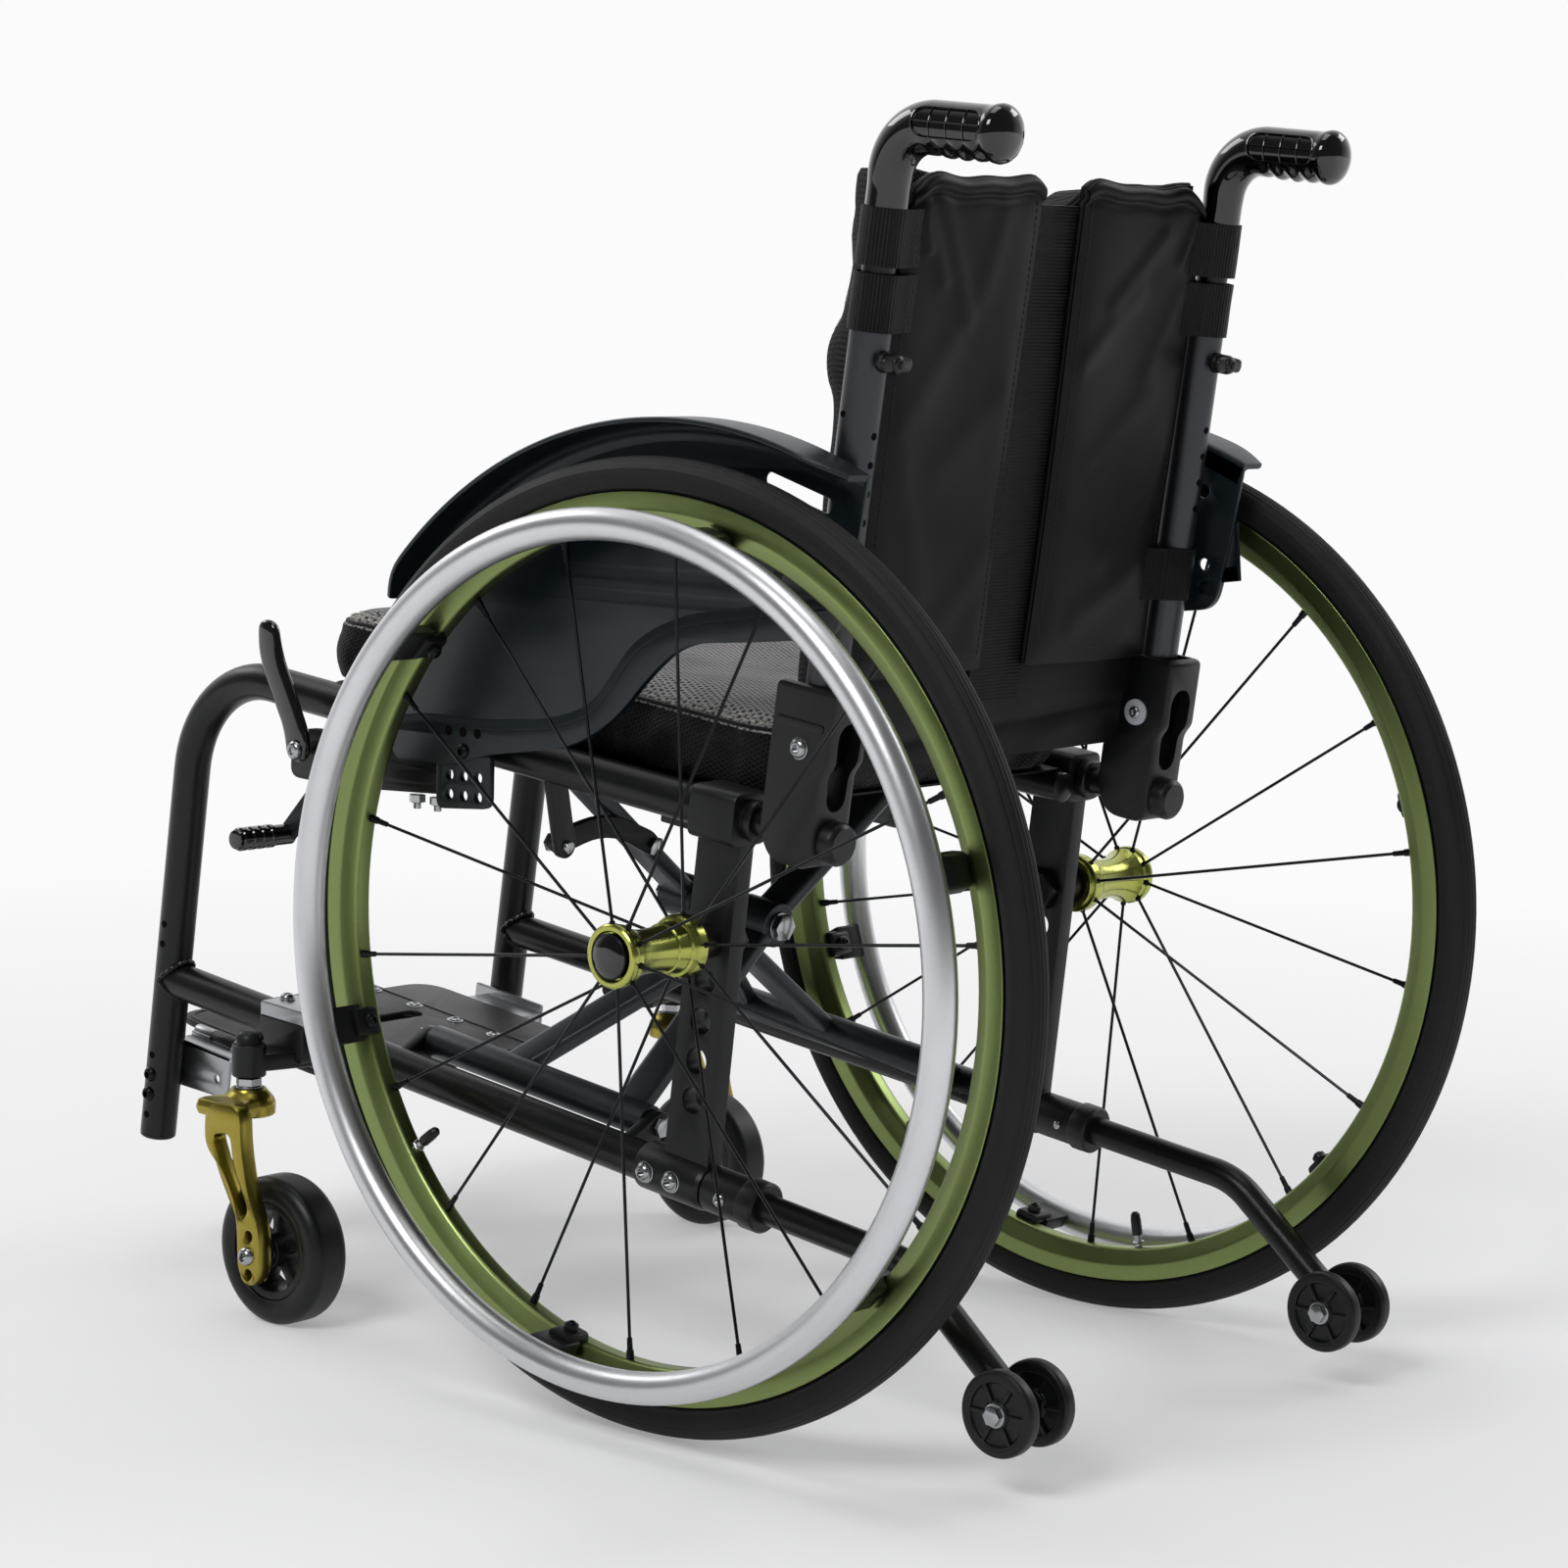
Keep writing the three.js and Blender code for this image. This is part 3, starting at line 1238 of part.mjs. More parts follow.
function tipArm() {
  const startY = lowTubeRearY + 2 * tipStopGap;
  const path = route([
    [frameX, startY, lowLine(startY)], [frameX, tipElbowY, lowLine(tipElbowY)],
    [frameX, tipAxleY - tipEyeInset, tipAxleZ + tipEyeInset],
  ], tipBendRadius);
  const inner = tipWheelOffset - tipWheelWidth * half - tipWheelGap;
  const outer = tipWheelOffset + tipWheelWidth * half + fitGap;
  const long = outer + bite;
  const eye = rod('x', tipEyeRadius, frameX - inner, frameX + inner, tipAxleY, tipAxleZ);
  const axle = rod('x', tipAxleRadius, frameX - long, frameX + long, tipAxleY, tipAxleZ);
  const nut = rod('x', tipNutRadius, outer, outer + tipNutThick, tipAxleY, tipAxleZ, hexSides);
  const nuts = [nut, mirrored(nut)].map((piece) => piece.translate([frameX, 0, 0]));
  return join(tube(path, tipArmRadius), eye, axle, nuts);
}

function tipWheel(outward) {
  const x = frameX + outward * tipWheelOffset;
  const w = tipWheelWidth * half;
  const face = (s) => [
    [boreRadius(tipAxleRadius + pivotGap), x + s * w], [tipHubRadius, x + s * w], [tipHubRadius, x + s * tipWebDepth],
    [tipRimInner, x + s * tipWebDepth], [tipRimInner, x + s * w], [tipWheelRadius, x + s * (w - tipTreadBevel)],
  ];
  return turned([...face(-1), ...face(1).reverse()], 'x', tipAxleY, tipAxleZ, 10);
}

// Side guard: moulded panel, fender lip over the tyre and the drilled fixing tab
function guardArc(r, steps = 8) {
  return Array.from({ length: steps + 1 }, (unused, i) => {
    const t = (guardRearAngle + ((guardFrontAngle - guardRearAngle) * i) / steps) / degrees;
    return [r * Math.cos(t), tyreRadius + r * Math.sin(t)];
  });
}

// Place of a pair of shares: along by the guard's radius, up from the seat tube
function guardAt([along, up]) {
  const y = along * guardRadius;
  return [y, seatLine(y) + up * guardRise];
}

function guardTab() {
  const y = tabCentreShare * guardRadius;
  const z = seatLine(y);
  const shape = outline([
    [y - tabHalfY, z - tabBottom], [y + tabHalfY, z - tabBottom], [y + tabHalfY, z + tabTop], [y - tabHalfY, z + tabTop],
  ], tabCorner);
  const [from, to] = [guardX - overrun, guardX + tabSet + tabThick + overrun];
  const columns = [-tabHolePitch, 0, tabHolePitch];
  const holes = columns.flatMap((d) => tabHoleRises.map((rise) => rod('x', tabHoleRadius, from, to, y + d, z + rise)));
  const post = rod('x', guardPostRadius, frameX + tubeRadius + fitGap, guardX + tabSet + guardThick, y, z - guardPostDrop);
  return { tab: slabX(shape, guardX + tabSet, guardX + tabSet + tabThick, 2), holes, post };
}

function sideGuard() {
  const skin = outline([...guardArc(guardRadius), ...guardArc(guardRadius - guardLipThick).reverse()]);
  const lip = slabX(skin, guardX, guardX + guardLip);
  const edge = guardEdgeShares.map((shares) => [...guardAt(shares), guardCorner]);
  const panel = slabX(outline([...guardArc(guardRadius), ...edge]), guardX, guardX + guardThick);
  const { tab, holes, post } = guardTab();
  const [from, to] = [guardX - overrun, guardX + guardThick + overrun];
  const [slotFront, slotRear] = placed(guardSlotShares, guardRadius, [0, tyreRadius]);
  const slot = slabX(linkOutline(slotFront, guardSlotRadius, slotRear, guardSlotRadius), from, to);
  const rearHoles = guardHoleShares.map((shares) => rod('x', guardHoleRadius, from, to, ...guardAt(shares)));
  return join(cut(join(lip, panel, tab), holes, slot, rearHoles), post);
}

// Brake: bar on the seat tube, lever blade and pivoted shoe
const leverHeadX = leverX + leverThick + brakeHeadGap;
const shoeInnerX = brakeBarX + brakeBarThick + shoeSideGap;
const shoeOuterX = shoeInnerX + shoeArmThick;

function brakeMount() {
  const shape = outline(placed(brakeBarShares, brakeBarReach, leverPivot), brakeBarCorner);
  const plate = slabX(shape, brakeBarX, brakeBarX + brakeBarThick);
  const shoeHeadX = shoeOuterX + pivotGap;
  const pins = [
    rod('x', brakePinRadius, brakeBarX + bite, leverHeadX + bite, ...leverPivot),
    rod('x', leverHeadRadius, leverHeadX, leverHeadX + leverHeadThick, ...leverPivot),
    rod('x', brakePinRadius, brakeBarX + bite, shoeHeadX + bite, ...shoePivot),
    rod('x', shoeHeadRadius, shoeHeadX, shoeHeadX + shoeHeadThick, ...shoePivot),
  ];
  const [y, z] = leverPivot;
  const nuts = brakeNutReach.map((d) =>
    rod('z', brakeNutRadius, z - brakeNutBottom, z - brakeNutTop, brakeBarX + brakeBarThick * half, y + d, hexSides));
  return join(plate, pins, nuts);
}

function brakeLever() {
  const blade = slabX(outline(placed(leverShares, leverLength, leverPivot)), leverX, leverX + leverThick);
  return cut(blade, drill('x', brakePinRadius + pivotGap, leverX - overrun, leverHeadX + overrun, ...leverPivot));
}

function brakeShoe() {
  const end = wheelX + tyreWidth * half + brakeHeadGap;
  const arm = slabX(linkOutline(shoePivot, shoeEyeRadius, shoeAt, shoeEndRadius), shoeInnerX, shoeOuterX);
  const pad = rod('x', shoeRadius, shoeInnerX, end, ...shoeAt);
  const ribs = shoeRibIn.map((d) => rod('x', shoeRadius + shoeRibProud, end - d, end - d + shoeRibWide, ...shoeAt));
  const eye = drill('x', brakePinRadius + pivotGap, shoeInnerX - overrun, shoeOuterX + overrun, ...shoePivot);
  return cut(join(arm, pad, ribs), eye);
}

// Footplate and its two leg brackets, in a frame that lies along the lower tubes
const flangeX = frameX - tubeRadius - fitGap;

function footPanels() {
  const hingeEdge = footHingeX - footHingeGap;
  const right = footHingeX - footReach;
  const upper = slabZ(outline([
    [hingeEdge, footFrontS, footFrontCorner], [hingeEdge, footRearS, footRearCorner],
    [footSeamX, footRearS, footSeamCorner], [footSeamX, footFrontS, footSeamCorner],
  ]), 0, footThick);
  const lower = slabZ(outline([
    [footLapX, footFrontS + footStep, footSeamCorner], [footLapX, footRearS - footStep, footSeamCorner],
    [right, footRearS - footStep, footRearCorner], [right, footFrontS + footStep, footFrontCorner],
  ]), -footThick, footBond);
  const ends = footSlotX.map((x) => [x, footSlotS]);
  const slot = linkOutline(ends[0], footSlotRadius, ends[1], footSlotRadius);
  return cut(join(upper, lower), slabZ(slot, -footThick - overrun, footThick + overrun));
}

function footplate() {
  const [from, to] = [knuckleS - knuckleHalf + fitGap, knuckleS + knuckleHalf - fitGap];
  const knuckle = rod('y', knuckleRadius, from, to, footHingeX, knuckleH);
  const web = block(footHingeX - footWeb, footHingeX, from, to, 0, footThick);
  const screws = footScrewS.map((s) =>
    rod('z', footScrewRadius, footThick - bite, footThick + footScrewProud, footScrewX, s));
  const bore = rod('y', hingePinRadius + pivotGap, from - overrun, to + overrun, footHingeX, knuckleH);
  return alongFoot(cut(join(footPanels(), knuckle, web, screws), bore));
}

function bracketFlange() {
  const shape = outline([
    [flangeFrontS, -flangeFrontDrop], [flangeRearS, -flangeRearDrop], [flangeRearS, 0], [flangeFrontS, 0],
  ], flangeCorner);
  return slabX(shape, flangeX - bracketThick, flangeX, 2);
}

function footBracketLeft() {
  const [front, rear] = [knuckleS - knuckleOuter, knuckleS + knuckleOuter];
  const shelf = block(footHingeX + shelfInset, flangeX, front, rear, -bracketThick, 0);
  const spans = [[front, knuckleS - knuckleHalf], [knuckleS + knuckleHalf, rear]];
  const knuckles = spans.map(([a, b]) => join(
    rod('y', knuckleRadius, a, b, footHingeX, knuckleH),
    block(footHingeX, footHingeX + knuckleWebX, a, b, -knuckleWebLow, knuckleWebHigh),
  ));
  const pin = rod('y', hingePinRadius, front + hingePinSetback, rear - hingePinSetback, footHingeX, knuckleH);
  return alongFoot(join(bracketFlange(), shelf, knuckles, pin));
}

function footBracketRight() {
  const top = -footThick - fitGap;
  const shelf = block(footHingeX - restReach, flangeX, knuckleS - knuckleOuter, knuckleS + knuckleOuter,
    top - bracketThick, top);
  return mirrored(alongFoot(join(bracketFlange(), shelf)));
}

// Seat sling, cushion and backrest upholstery
function seatSling() {
  const rail = railRadius + pivotGap;
  const arc = (r) => slingAngles.map((deg) => {
    const t = deg / degrees;
    return [braceX + r * Math.cos(t), -railDrop + r * Math.sin(t)];
  });
  const flip = (list) => list.map(([x, z]) => [-x, z]).reverse();
  const over = arc(rail + slingThick);
  const under = arc(rail);
  const shape = outline([...over, ...flip(over), ...flip(under).reverse(), ...under.slice().reverse()]);
  return alongSeat(slabY(shape, slingFrontY, slingRearY, 1));
}

function roundedRing(count, halfWidth, low, high, corner, crown = 0) {
  const wide = halfWidth - corner;
  const tall = Math.max((high - low) * half - corner, 0);
  const level = (high + low) * half;
  return Array.from({ length: count }, (unused, k) => {
    const t = (2 * Math.PI * (k + half)) / count;
    const flat = Math.min(1, Math.abs(Math.cos(t)) * cornerFlatShare);
    const a = Math.sign(Math.cos(t)) * wide * flat + corner * Math.cos(t);
    const top = Math.sin(t) > 0 ? crown * (1 - (a / halfWidth) ** 2) : 0;
    return [a, level + Math.sign(Math.sin(t)) * tall + corner * Math.sin(t) + top];
  });
}

function cushion() {
  const base = slingTop + fitGap * half;
  const length = cushionRearY - cushionFrontY;
  const rings = cushionShares.map(([along, wide, low, high, corner, crown]) => {
    const y = cushionFrontY + along * length;
    const [bottom, top, round, rise] = [base + low * cushionThick, ...[high, corner, crown].map((s) => s * cushionThick)];
    return roundedRing(20, wide * cushionHalf, bottom, top, round, rise).map(([x, z]) => [x, y, z]);
  });
  return alongSeat(loft(rings));
}

function backPad() {
  const low = postRise(backPadBottomZ);
  const high = postRise(handleTopZ - backPadBelowHandle);
  const stations = [
    [low, padEndShare, padRoundY], [low + padRoundZ, 1, 0], [high - padRoundZ, 1, 0], [high, padEndShare, padRoundY],
  ];
  return loft(stations.map(([z, share, inset]) =>
    roundedRing(16, backPadHalf * share, inset - backPadFront, -backPadRear - inset * half, padCorner)
      .map(([x, y]) => [x, y, z])));
}

function backFlap() {
  const low = postRise(flapBottomZ);
  const high = postRise(handleTopZ - flapBelowHandle);
  return slabY(outline([
    [flapInnerX, low], [flapOuterX, low], [flapOuterX, high - flapShoulderZ], [flapOuterX - flapShoulderX, high],
    [flapInnerX, high],
  ], flapRound), -flapFront, flapRear);
}

function backUpholstery() {
  const band = block(-flapInnerX - bandLap, flapInnerX + bandLap, -bandFront, -bandRear,
    postRise(bandBottomZ), postRise(handleTopZ - bandBelowHandle));
  const loopEnd = [frameX - strapReach, -strapDrop];
  const loopShape = linkOutline([frameX, 0], tubeRadius + strapWall, loopEnd, strapEndRadius, 6);
  const loopZ = [strapLowZ, ...strapBelowHandle.map((drop) => handleTopZ - drop)].map(postRise);
  const loops = loopZ.map((z) => slabZ(loopShape, z, z + strapWidth, 1));
  const hole = rod('z', tubeRadius + postHoleGap, 0, postRise(handleTopZ), frameX, 0);
  const sideSet = cut(join(backFlap(), loops), hole);
  return alongPost(join(backPad(), band, sideSet, mirrored(sideSet)));
}

// Assembly
function pair(make, name, material) {
  return [toMesh(make('left'), `${name}_left`, material), toMesh(mirrored(make('right')), `${name}_right`, material)];
}

function legBolts() {
  const [from, to] = [frameX + tubeRadius * half, frameX + tubeRadius + legBoltProud];
  return legBoltZ.map((z) => rod('x', legBoltRadius, from, to, legLine(z), z));
}

const assembly = new THREE.Group();
assembly.name = 'folding_wheelchair';
assembly.add(
  ...pair((side) => join(sideFrame(), legBolts(), linkHanger(side)), 'side_frame', looks.frame),
  ...pair(axlePlate, 'axle_plate', looks.frame),
  ...pair(casterHousing, 'caster_housing', looks.plastic),
  ...pair(casterFork, 'caster_fork', looks.fork),
  ...pair(casterCore, 'caster_core', looks.plastic),
  ...pair(casterTyre, 'caster_tyre', looks.tyre),
  ...pair(rearTyre, 'rear_tyre', looks.tyre),
  ...pair(rearRim, 'rear_rim', looks.rim),
  ...pair(rearHub, 'rear_hub', looks.hub),
  ...pair(handrim, 'handrim', looks.silver),
  ...pair(axleButton, 'axle_button', looks.gloss),
  ...pair(sideGuard, 'side_guard', looks.guard),
  ...pair(brakeMount, 'brake_mount', looks.plastic),
  ...pair(brakeLever, 'brake_lever', looks.gloss),
  ...pair(brakeShoe, 'brake_shoe', looks.plastic),
  ...pair(backCasting, 'back_hinge', looks.plastic),
  ...pair(backPost, 'back_post', looks.post),
  ...pair(pushHandle, 'push_handle', looks.gloss),
  ...pair(wingKnob, 'wing_knob', looks.plastic),
  ...pair(tipSocket, 'antitip_socket', looks.plastic),
  ...pair(tipButton, 'antitip_button', looks.silver),
  ...pair(tipArm, 'antitip_arm', looks.frame),
  ...pair(() => tipWheel(1), 'antitip_wheel_outer', looks.plastic),
  ...pair(() => tipWheel(-1), 'antitip_wheel_inner', looks.plastic),
  toMesh(foldLink('left'), 'fold_link_left', looks.frame),
  toMesh(mirrored(foldLink('right')), 'fold_link_right', looks.frame),
  toMesh(crossArm(hubAS, rootsA), 'cross_arm_a', looks.brace),
  toMesh(mirrored(crossArm(hubBS, rootsB)), 'cross_arm_b', looks.brace),
  toMesh(crossPivot(), 'cross_pivot', looks.silver),
  toMesh(footplate(), 'footplate', looks.plastic),
  toMesh(footBracketLeft(), 'foot_bracket_left', looks.silver),
  toMesh(footBracketRight(), 'foot_bracket_right', looks.silver),
  toMesh(seatSling(), 'seat_sling', looks.cloth),
  toMesh(cushion(), 'seat_cushion', looks.mesh),
  toMesh(backUpholstery(), 'back_upholstery', looks.cloth),
);

const middle = new THREE.Box3().setFromObject(assembly).getCenter(new THREE.Vector3());
assembly.position.y = -middle.y;

export default assembly;
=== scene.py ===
"""Visual model of a lightweight folding wheelchair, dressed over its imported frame.

Shapes are worked out in millimetres around the rear axle: X = 0 is the centre plane
with +X the user's left, Y = 0 is the rear axle with +Y backwards, Z = 0 is the floor.
They are moved into the frame's metres when a mesh is made.
"""
import logging
import math
from dataclasses import dataclass
from enum import Enum
from typing import Callable, ClassVar, Iterable, Sequence

import bmesh
import bpy
import numpy as np
from mathutils import Matrix, Vector, noise


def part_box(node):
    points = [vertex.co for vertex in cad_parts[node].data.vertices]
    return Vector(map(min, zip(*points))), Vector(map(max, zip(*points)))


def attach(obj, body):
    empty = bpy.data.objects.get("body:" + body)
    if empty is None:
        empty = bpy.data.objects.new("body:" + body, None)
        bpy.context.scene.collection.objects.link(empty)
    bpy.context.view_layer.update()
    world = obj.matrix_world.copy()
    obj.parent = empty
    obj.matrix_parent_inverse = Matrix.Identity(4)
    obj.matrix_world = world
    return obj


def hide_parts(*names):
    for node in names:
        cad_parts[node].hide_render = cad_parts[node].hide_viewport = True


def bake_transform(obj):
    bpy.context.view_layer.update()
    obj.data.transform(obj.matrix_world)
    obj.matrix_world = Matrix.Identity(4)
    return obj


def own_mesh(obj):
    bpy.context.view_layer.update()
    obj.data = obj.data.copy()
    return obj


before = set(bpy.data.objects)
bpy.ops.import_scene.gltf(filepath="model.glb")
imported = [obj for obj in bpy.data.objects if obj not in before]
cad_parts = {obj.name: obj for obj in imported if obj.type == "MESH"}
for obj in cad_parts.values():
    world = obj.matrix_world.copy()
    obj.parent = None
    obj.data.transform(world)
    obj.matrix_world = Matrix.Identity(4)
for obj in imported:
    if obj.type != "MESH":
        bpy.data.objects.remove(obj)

log = logging.getLogger("wheelchair")

Point = Sequence[float]
Loop = list[tuple[float, float]]
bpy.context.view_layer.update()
MM = 0.001


def axle_shift() -> float:
    """Finds how far the frame lies behind the axle frame, from the rear tyre's box.

    Returns:
        The Y of the rear axle in the frame, in metres.
    """
    low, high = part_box("rear_tyre_left")
    return (low.y + high.y) / 2


SHIFT_Y = axle_shift()


class Side(Enum):
    """The two sides of the chair, as the user sits in it."""

    LEFT = 1
    RIGHT = -1

    @property
    def label(self) -> str:
        """Word that ends the names of the pieces on this side."""
        return self.name.lower()


class Axis(Enum):
    """Axes of the chair."""

    X = 0
    Y = 1
    Z = 2


# shells


class Shell:
    """Closed skin in axle-frame millimetres, with an optional fabric map.

    Args:
        points: One row per point.
        faces: Point numbers of each face.
        uvs: For each face the fabric position of each corner, in millimetres.
    """

    def __init__(self, points: Iterable[Point], faces: Iterable[Sequence[int]],
                 uvs: list | None = None) -> None:
        self.points = np.asarray(list(points), float).reshape(-1, 3)
        self.faces = [tuple(int(i) for i in f) for f in faces]
        self.uvs = uvs

    def volume(self) -> float:
        """Signed volume, positive when the faces look outwards."""
        total = 0.0
        for face in self.faces:
            a = self.points[face[0]]
            for i in range(1, len(face) - 1):
                total += float(np.dot(a, np.cross(self.points[face[i]], self.points[face[i + 1]])))
        return total / 6

    def outward(self) -> "Shell":
        """Turns the faces round if they look inwards.

        Returns:
            This shell.
        """
        return self.flip() if self.volume() < 0 else self

    def flip(self) -> "Shell":
        """Turns every face round and returns this shell."""
        self.faces = [f[::-1] for f in self.faces]
        if self.uvs is not None:
            self.uvs = [u[::-1] for u in self.uvs]
        return self

    def through(self, matrix: Matrix) -> "Shell":
        """Moves the points through a matrix.

        Args:
            matrix: Any rigid or mirroring transform.

        Returns:
            A new shell whose faces still look outwards.
        """
        m = np.array(matrix, float)
        made = Shell(self.points @ m[:3, :3].T + m[:3, 3], self.faces,
                     None if self.uvs is None else list(self.uvs))
        return made.flip() if np.linalg.det(m[:3, :3]) < 0 else made

    def moved(self, x: float = 0, y: float = 0, z: float = 0) -> "Shell":
        """Returns a copy moved by the given millimetres."""
        return self.through(Matrix.Translation((x, y, z)))

    def mirrored(self) -> "Shell":
        """Returns a copy on the other side of the centre plane."""
        return self.through(Matrix.Diagonal((-1, 1, 1, 1)))


def placed(axis: Axis, a: float, b: float) -> Matrix:
    """Frame whose local Z runs along an axis through (a, b).

    Args:
        axis: Axis that the piece is turned around or pushed along.
        a: First cross coordinate: Y for X, X for Y and Z.
        b: Second cross coordinate: Z for X and Y, Y for Z.

    Returns:
        The matrix from local to axle frame.
    """
    if axis is Axis.X:
        return Matrix(((0, 0, 1, 0), (1, 0, 0, a), (0, 1, 0, b), (0, 0, 0, 1)))
    if axis is Axis.Y:
        return Matrix(((1, 0, 0, a), (0, 0, 1, 0), (0, -1, 0, b), (0, 0, 0, 1)))
    return Matrix(((1, 0, 0, a), (0, 1, 0, b), (0, 0, 1, 0), (0, 0, 0, 1)))


def grid_faces(rows: int, columns: int, wrap_rows: bool, wrap_columns: bool) -> list:
    """Quads over a grid of points stored row by row."""
    faces = []
    for r in range(rows if wrap_rows else rows - 1):
        for c in range(columns if wrap_columns else columns - 1):
            n, m = (r + 1) % rows, (c + 1) % columns
            faces.append((r * columns + c, r * columns + m, n * columns + m, n * columns + c))
    return faces


def lathe(profile: Sequence[tuple[float, float]], axis: Axis, a: float, b: float,
          segments: int) -> Shell:
    """Turned piece from a profile of (radius, position along the axis).

    Args:
        profile: Closed on itself, or open with both ends on the axis.
        axis: Axis that it is turned around.
        a: First cross coordinate of the axis.
        b: Second cross coordinate of the axis.
        segments: Steps round.

    Returns:
        The closed shell.
    """
    on_axis = profile[0][0] <= 0 and profile[-1][0] <= 0
    inner = list(profile[1:-1]) if on_axis else list(profile)
    points = []
    for r, p in inner:
        for i in range(segments):
            t = 2 * math.pi * i / segments
            points.append((r * math.cos(t), r * math.sin(t), p))
    faces = grid_faces(len(inner), segments, not on_axis, True)
    if on_axis:
        last = (len(inner) - 1) * segments
        for tip, ring, way in ((profile[0], 0, -1), (profile[-1], last, 1)):
            points.append((0, 0, tip[1]))
            for i in range(segments):
                pair = (ring + i, ring + (i + 1) % segments)
                faces.append((*pair[::way], len(points) - 1))
    return Shell(points, faces).outward().through(placed(axis, a, b))


def ring_of(half: Sequence[Point], middle: float, axis: Axis, a: float, b: float,
            segments: int, steps: int = 3) -> Shell:
    """Turned ring whose section is the same on both sides of its middle.

    Args:
        half: Corners of half the section as (radius, distance from the middle, rounding).
        middle: Where the middle lies along the axis.
        axis: Axis that it is turned around.
        a: First cross coordinate of the axis.
        b: Second cross coordinate of the axis.
        segments: Steps round.
        steps: Pieces of each rounded corner.

    Returns:
        The closed shell.
    """
    return lathe(rounded_loop(doubled(half, middle), steps), axis, a, b, segments)


def rounded_profile(points: Sequence[Point], steps: int = 4) -> list[tuple[float, float]]:
    """Rounds the corners of a polyline: points are (a, b) or (a, b, radius).

    Args:
        points: Corners, the ends kept as they are.
        steps: Pieces of each rounded corner.

    Returns:
        The polyline with its corners rounded.
    """
    made = []
    for i, p in enumerate(points):
        if len(p) < 3 or p[2] <= 0 or i in (0, len(points) - 1):
            made.append((p[0], p[1]))
            continue
        made += corner_arc(points[i - 1], p, points[i + 1], p[2], steps)
    return made


def corner_arc(before: Point, at: Point, after: Point, radius: float, steps: int) -> list:
    """Curve that cuts a corner, reaching the given distance along both arms."""
    p = Vector((at[0], at[1]))
    d0 = Vector((before[0], before[1])) - p
    d1 = Vector((after[0], after[1])) - p
    reach = min(radius, d0.length * 0.499, d1.length * 0.499)
    if reach < 1e-4:
        return [(at[0], at[1])]
    start, end = p + d0.normalized() * reach, p + d1.normalized() * reach
    made = []
    for k in range(steps + 1):
        t = k / steps
        q = start.lerp(p, t).lerp(p.lerp(end, t), t)
        made.append((q.x, q.y))
    return made


def rounded_loop(points: Sequence[Point], steps: int = 5) -> Loop:
    """Closed outline with each corner rounded by its own reach.

    Args:
        points: Corners as (a, b, radius).
        steps: Pieces of each corner.

    Returns:
        The outline as points.
    """
    made: Loop = []
    for i, p in enumerate(points):
        made += corner_arc(points[i - 1], p, points[(i + 1) % len(points)], p[2], steps)
    return made


def doubled(half: Sequence[Point], middle: float = 0) -> list[Point]:
    """Corners of one half as (a, distance, radius), set out on both sides of a middle line."""
    return ([(a, middle - b, r) for a, b, r in half]
            + [(a, middle + b, r) for a, b, r in half[::-1]])


def circle(r: float, a: float = 0, b: float = 0, count: int = 24) -> Loop:
    """Round outline."""
    return [(a + r * math.cos(2 * math.pi * i / count), b + r * math.sin(2 * math.pi * i / count))
            for i in range(count)]


def link_loop(p0: Point, r0: float, p1: Point, r1: float, steps: int = 10) -> Loop:
    """Band around two circles, as a link, a lug or a slot."""
    along = math.atan2(p1[1] - p0[1], p1[0] - p0[0])
    lean = math.acos((r0 - r1) / math.hypot(p1[0] - p0[0], p1[1] - p0[1]))
    made = []
    for i in range(steps + 1):
        t = along + lean + (2 * math.pi - 2 * lean) * i / steps
        made.append((p0[0] + r0 * math.cos(t), p0[1] + r0 * math.sin(t)))
    for i in range(steps + 1):
        t = along - lean + 2 * lean * i / steps
        made.append((p1[0] + r1 * math.cos(t), p1[1] + r1 * math.sin(t)))
    return made


def skin_of(work: bmesh.types.BMesh) -> Shell:
    """Shell of an edited mesh, which is freed."""
    work.verts.index_update()
    made = Shell([v.co[:] for v in work.verts], [[v.index for v in f.verts] for f in work.faces])
    work.free()
    return made


def welded(mesh: bpy.types.Mesh) -> Shell:
    """Shell of a Blender mesh, with points that meet made one. The mesh is removed."""
    work, reach = bmesh.new(), 1e-3
    work.from_mesh(mesh)
    bmesh.ops.remove_doubles(work, verts=work.verts, dist=reach)
    bmesh.ops.dissolve_degenerate(work, edges=work.edges, dist=reach / 2)
    bpy.data.meshes.remove(mesh)
    return skin_of(work)


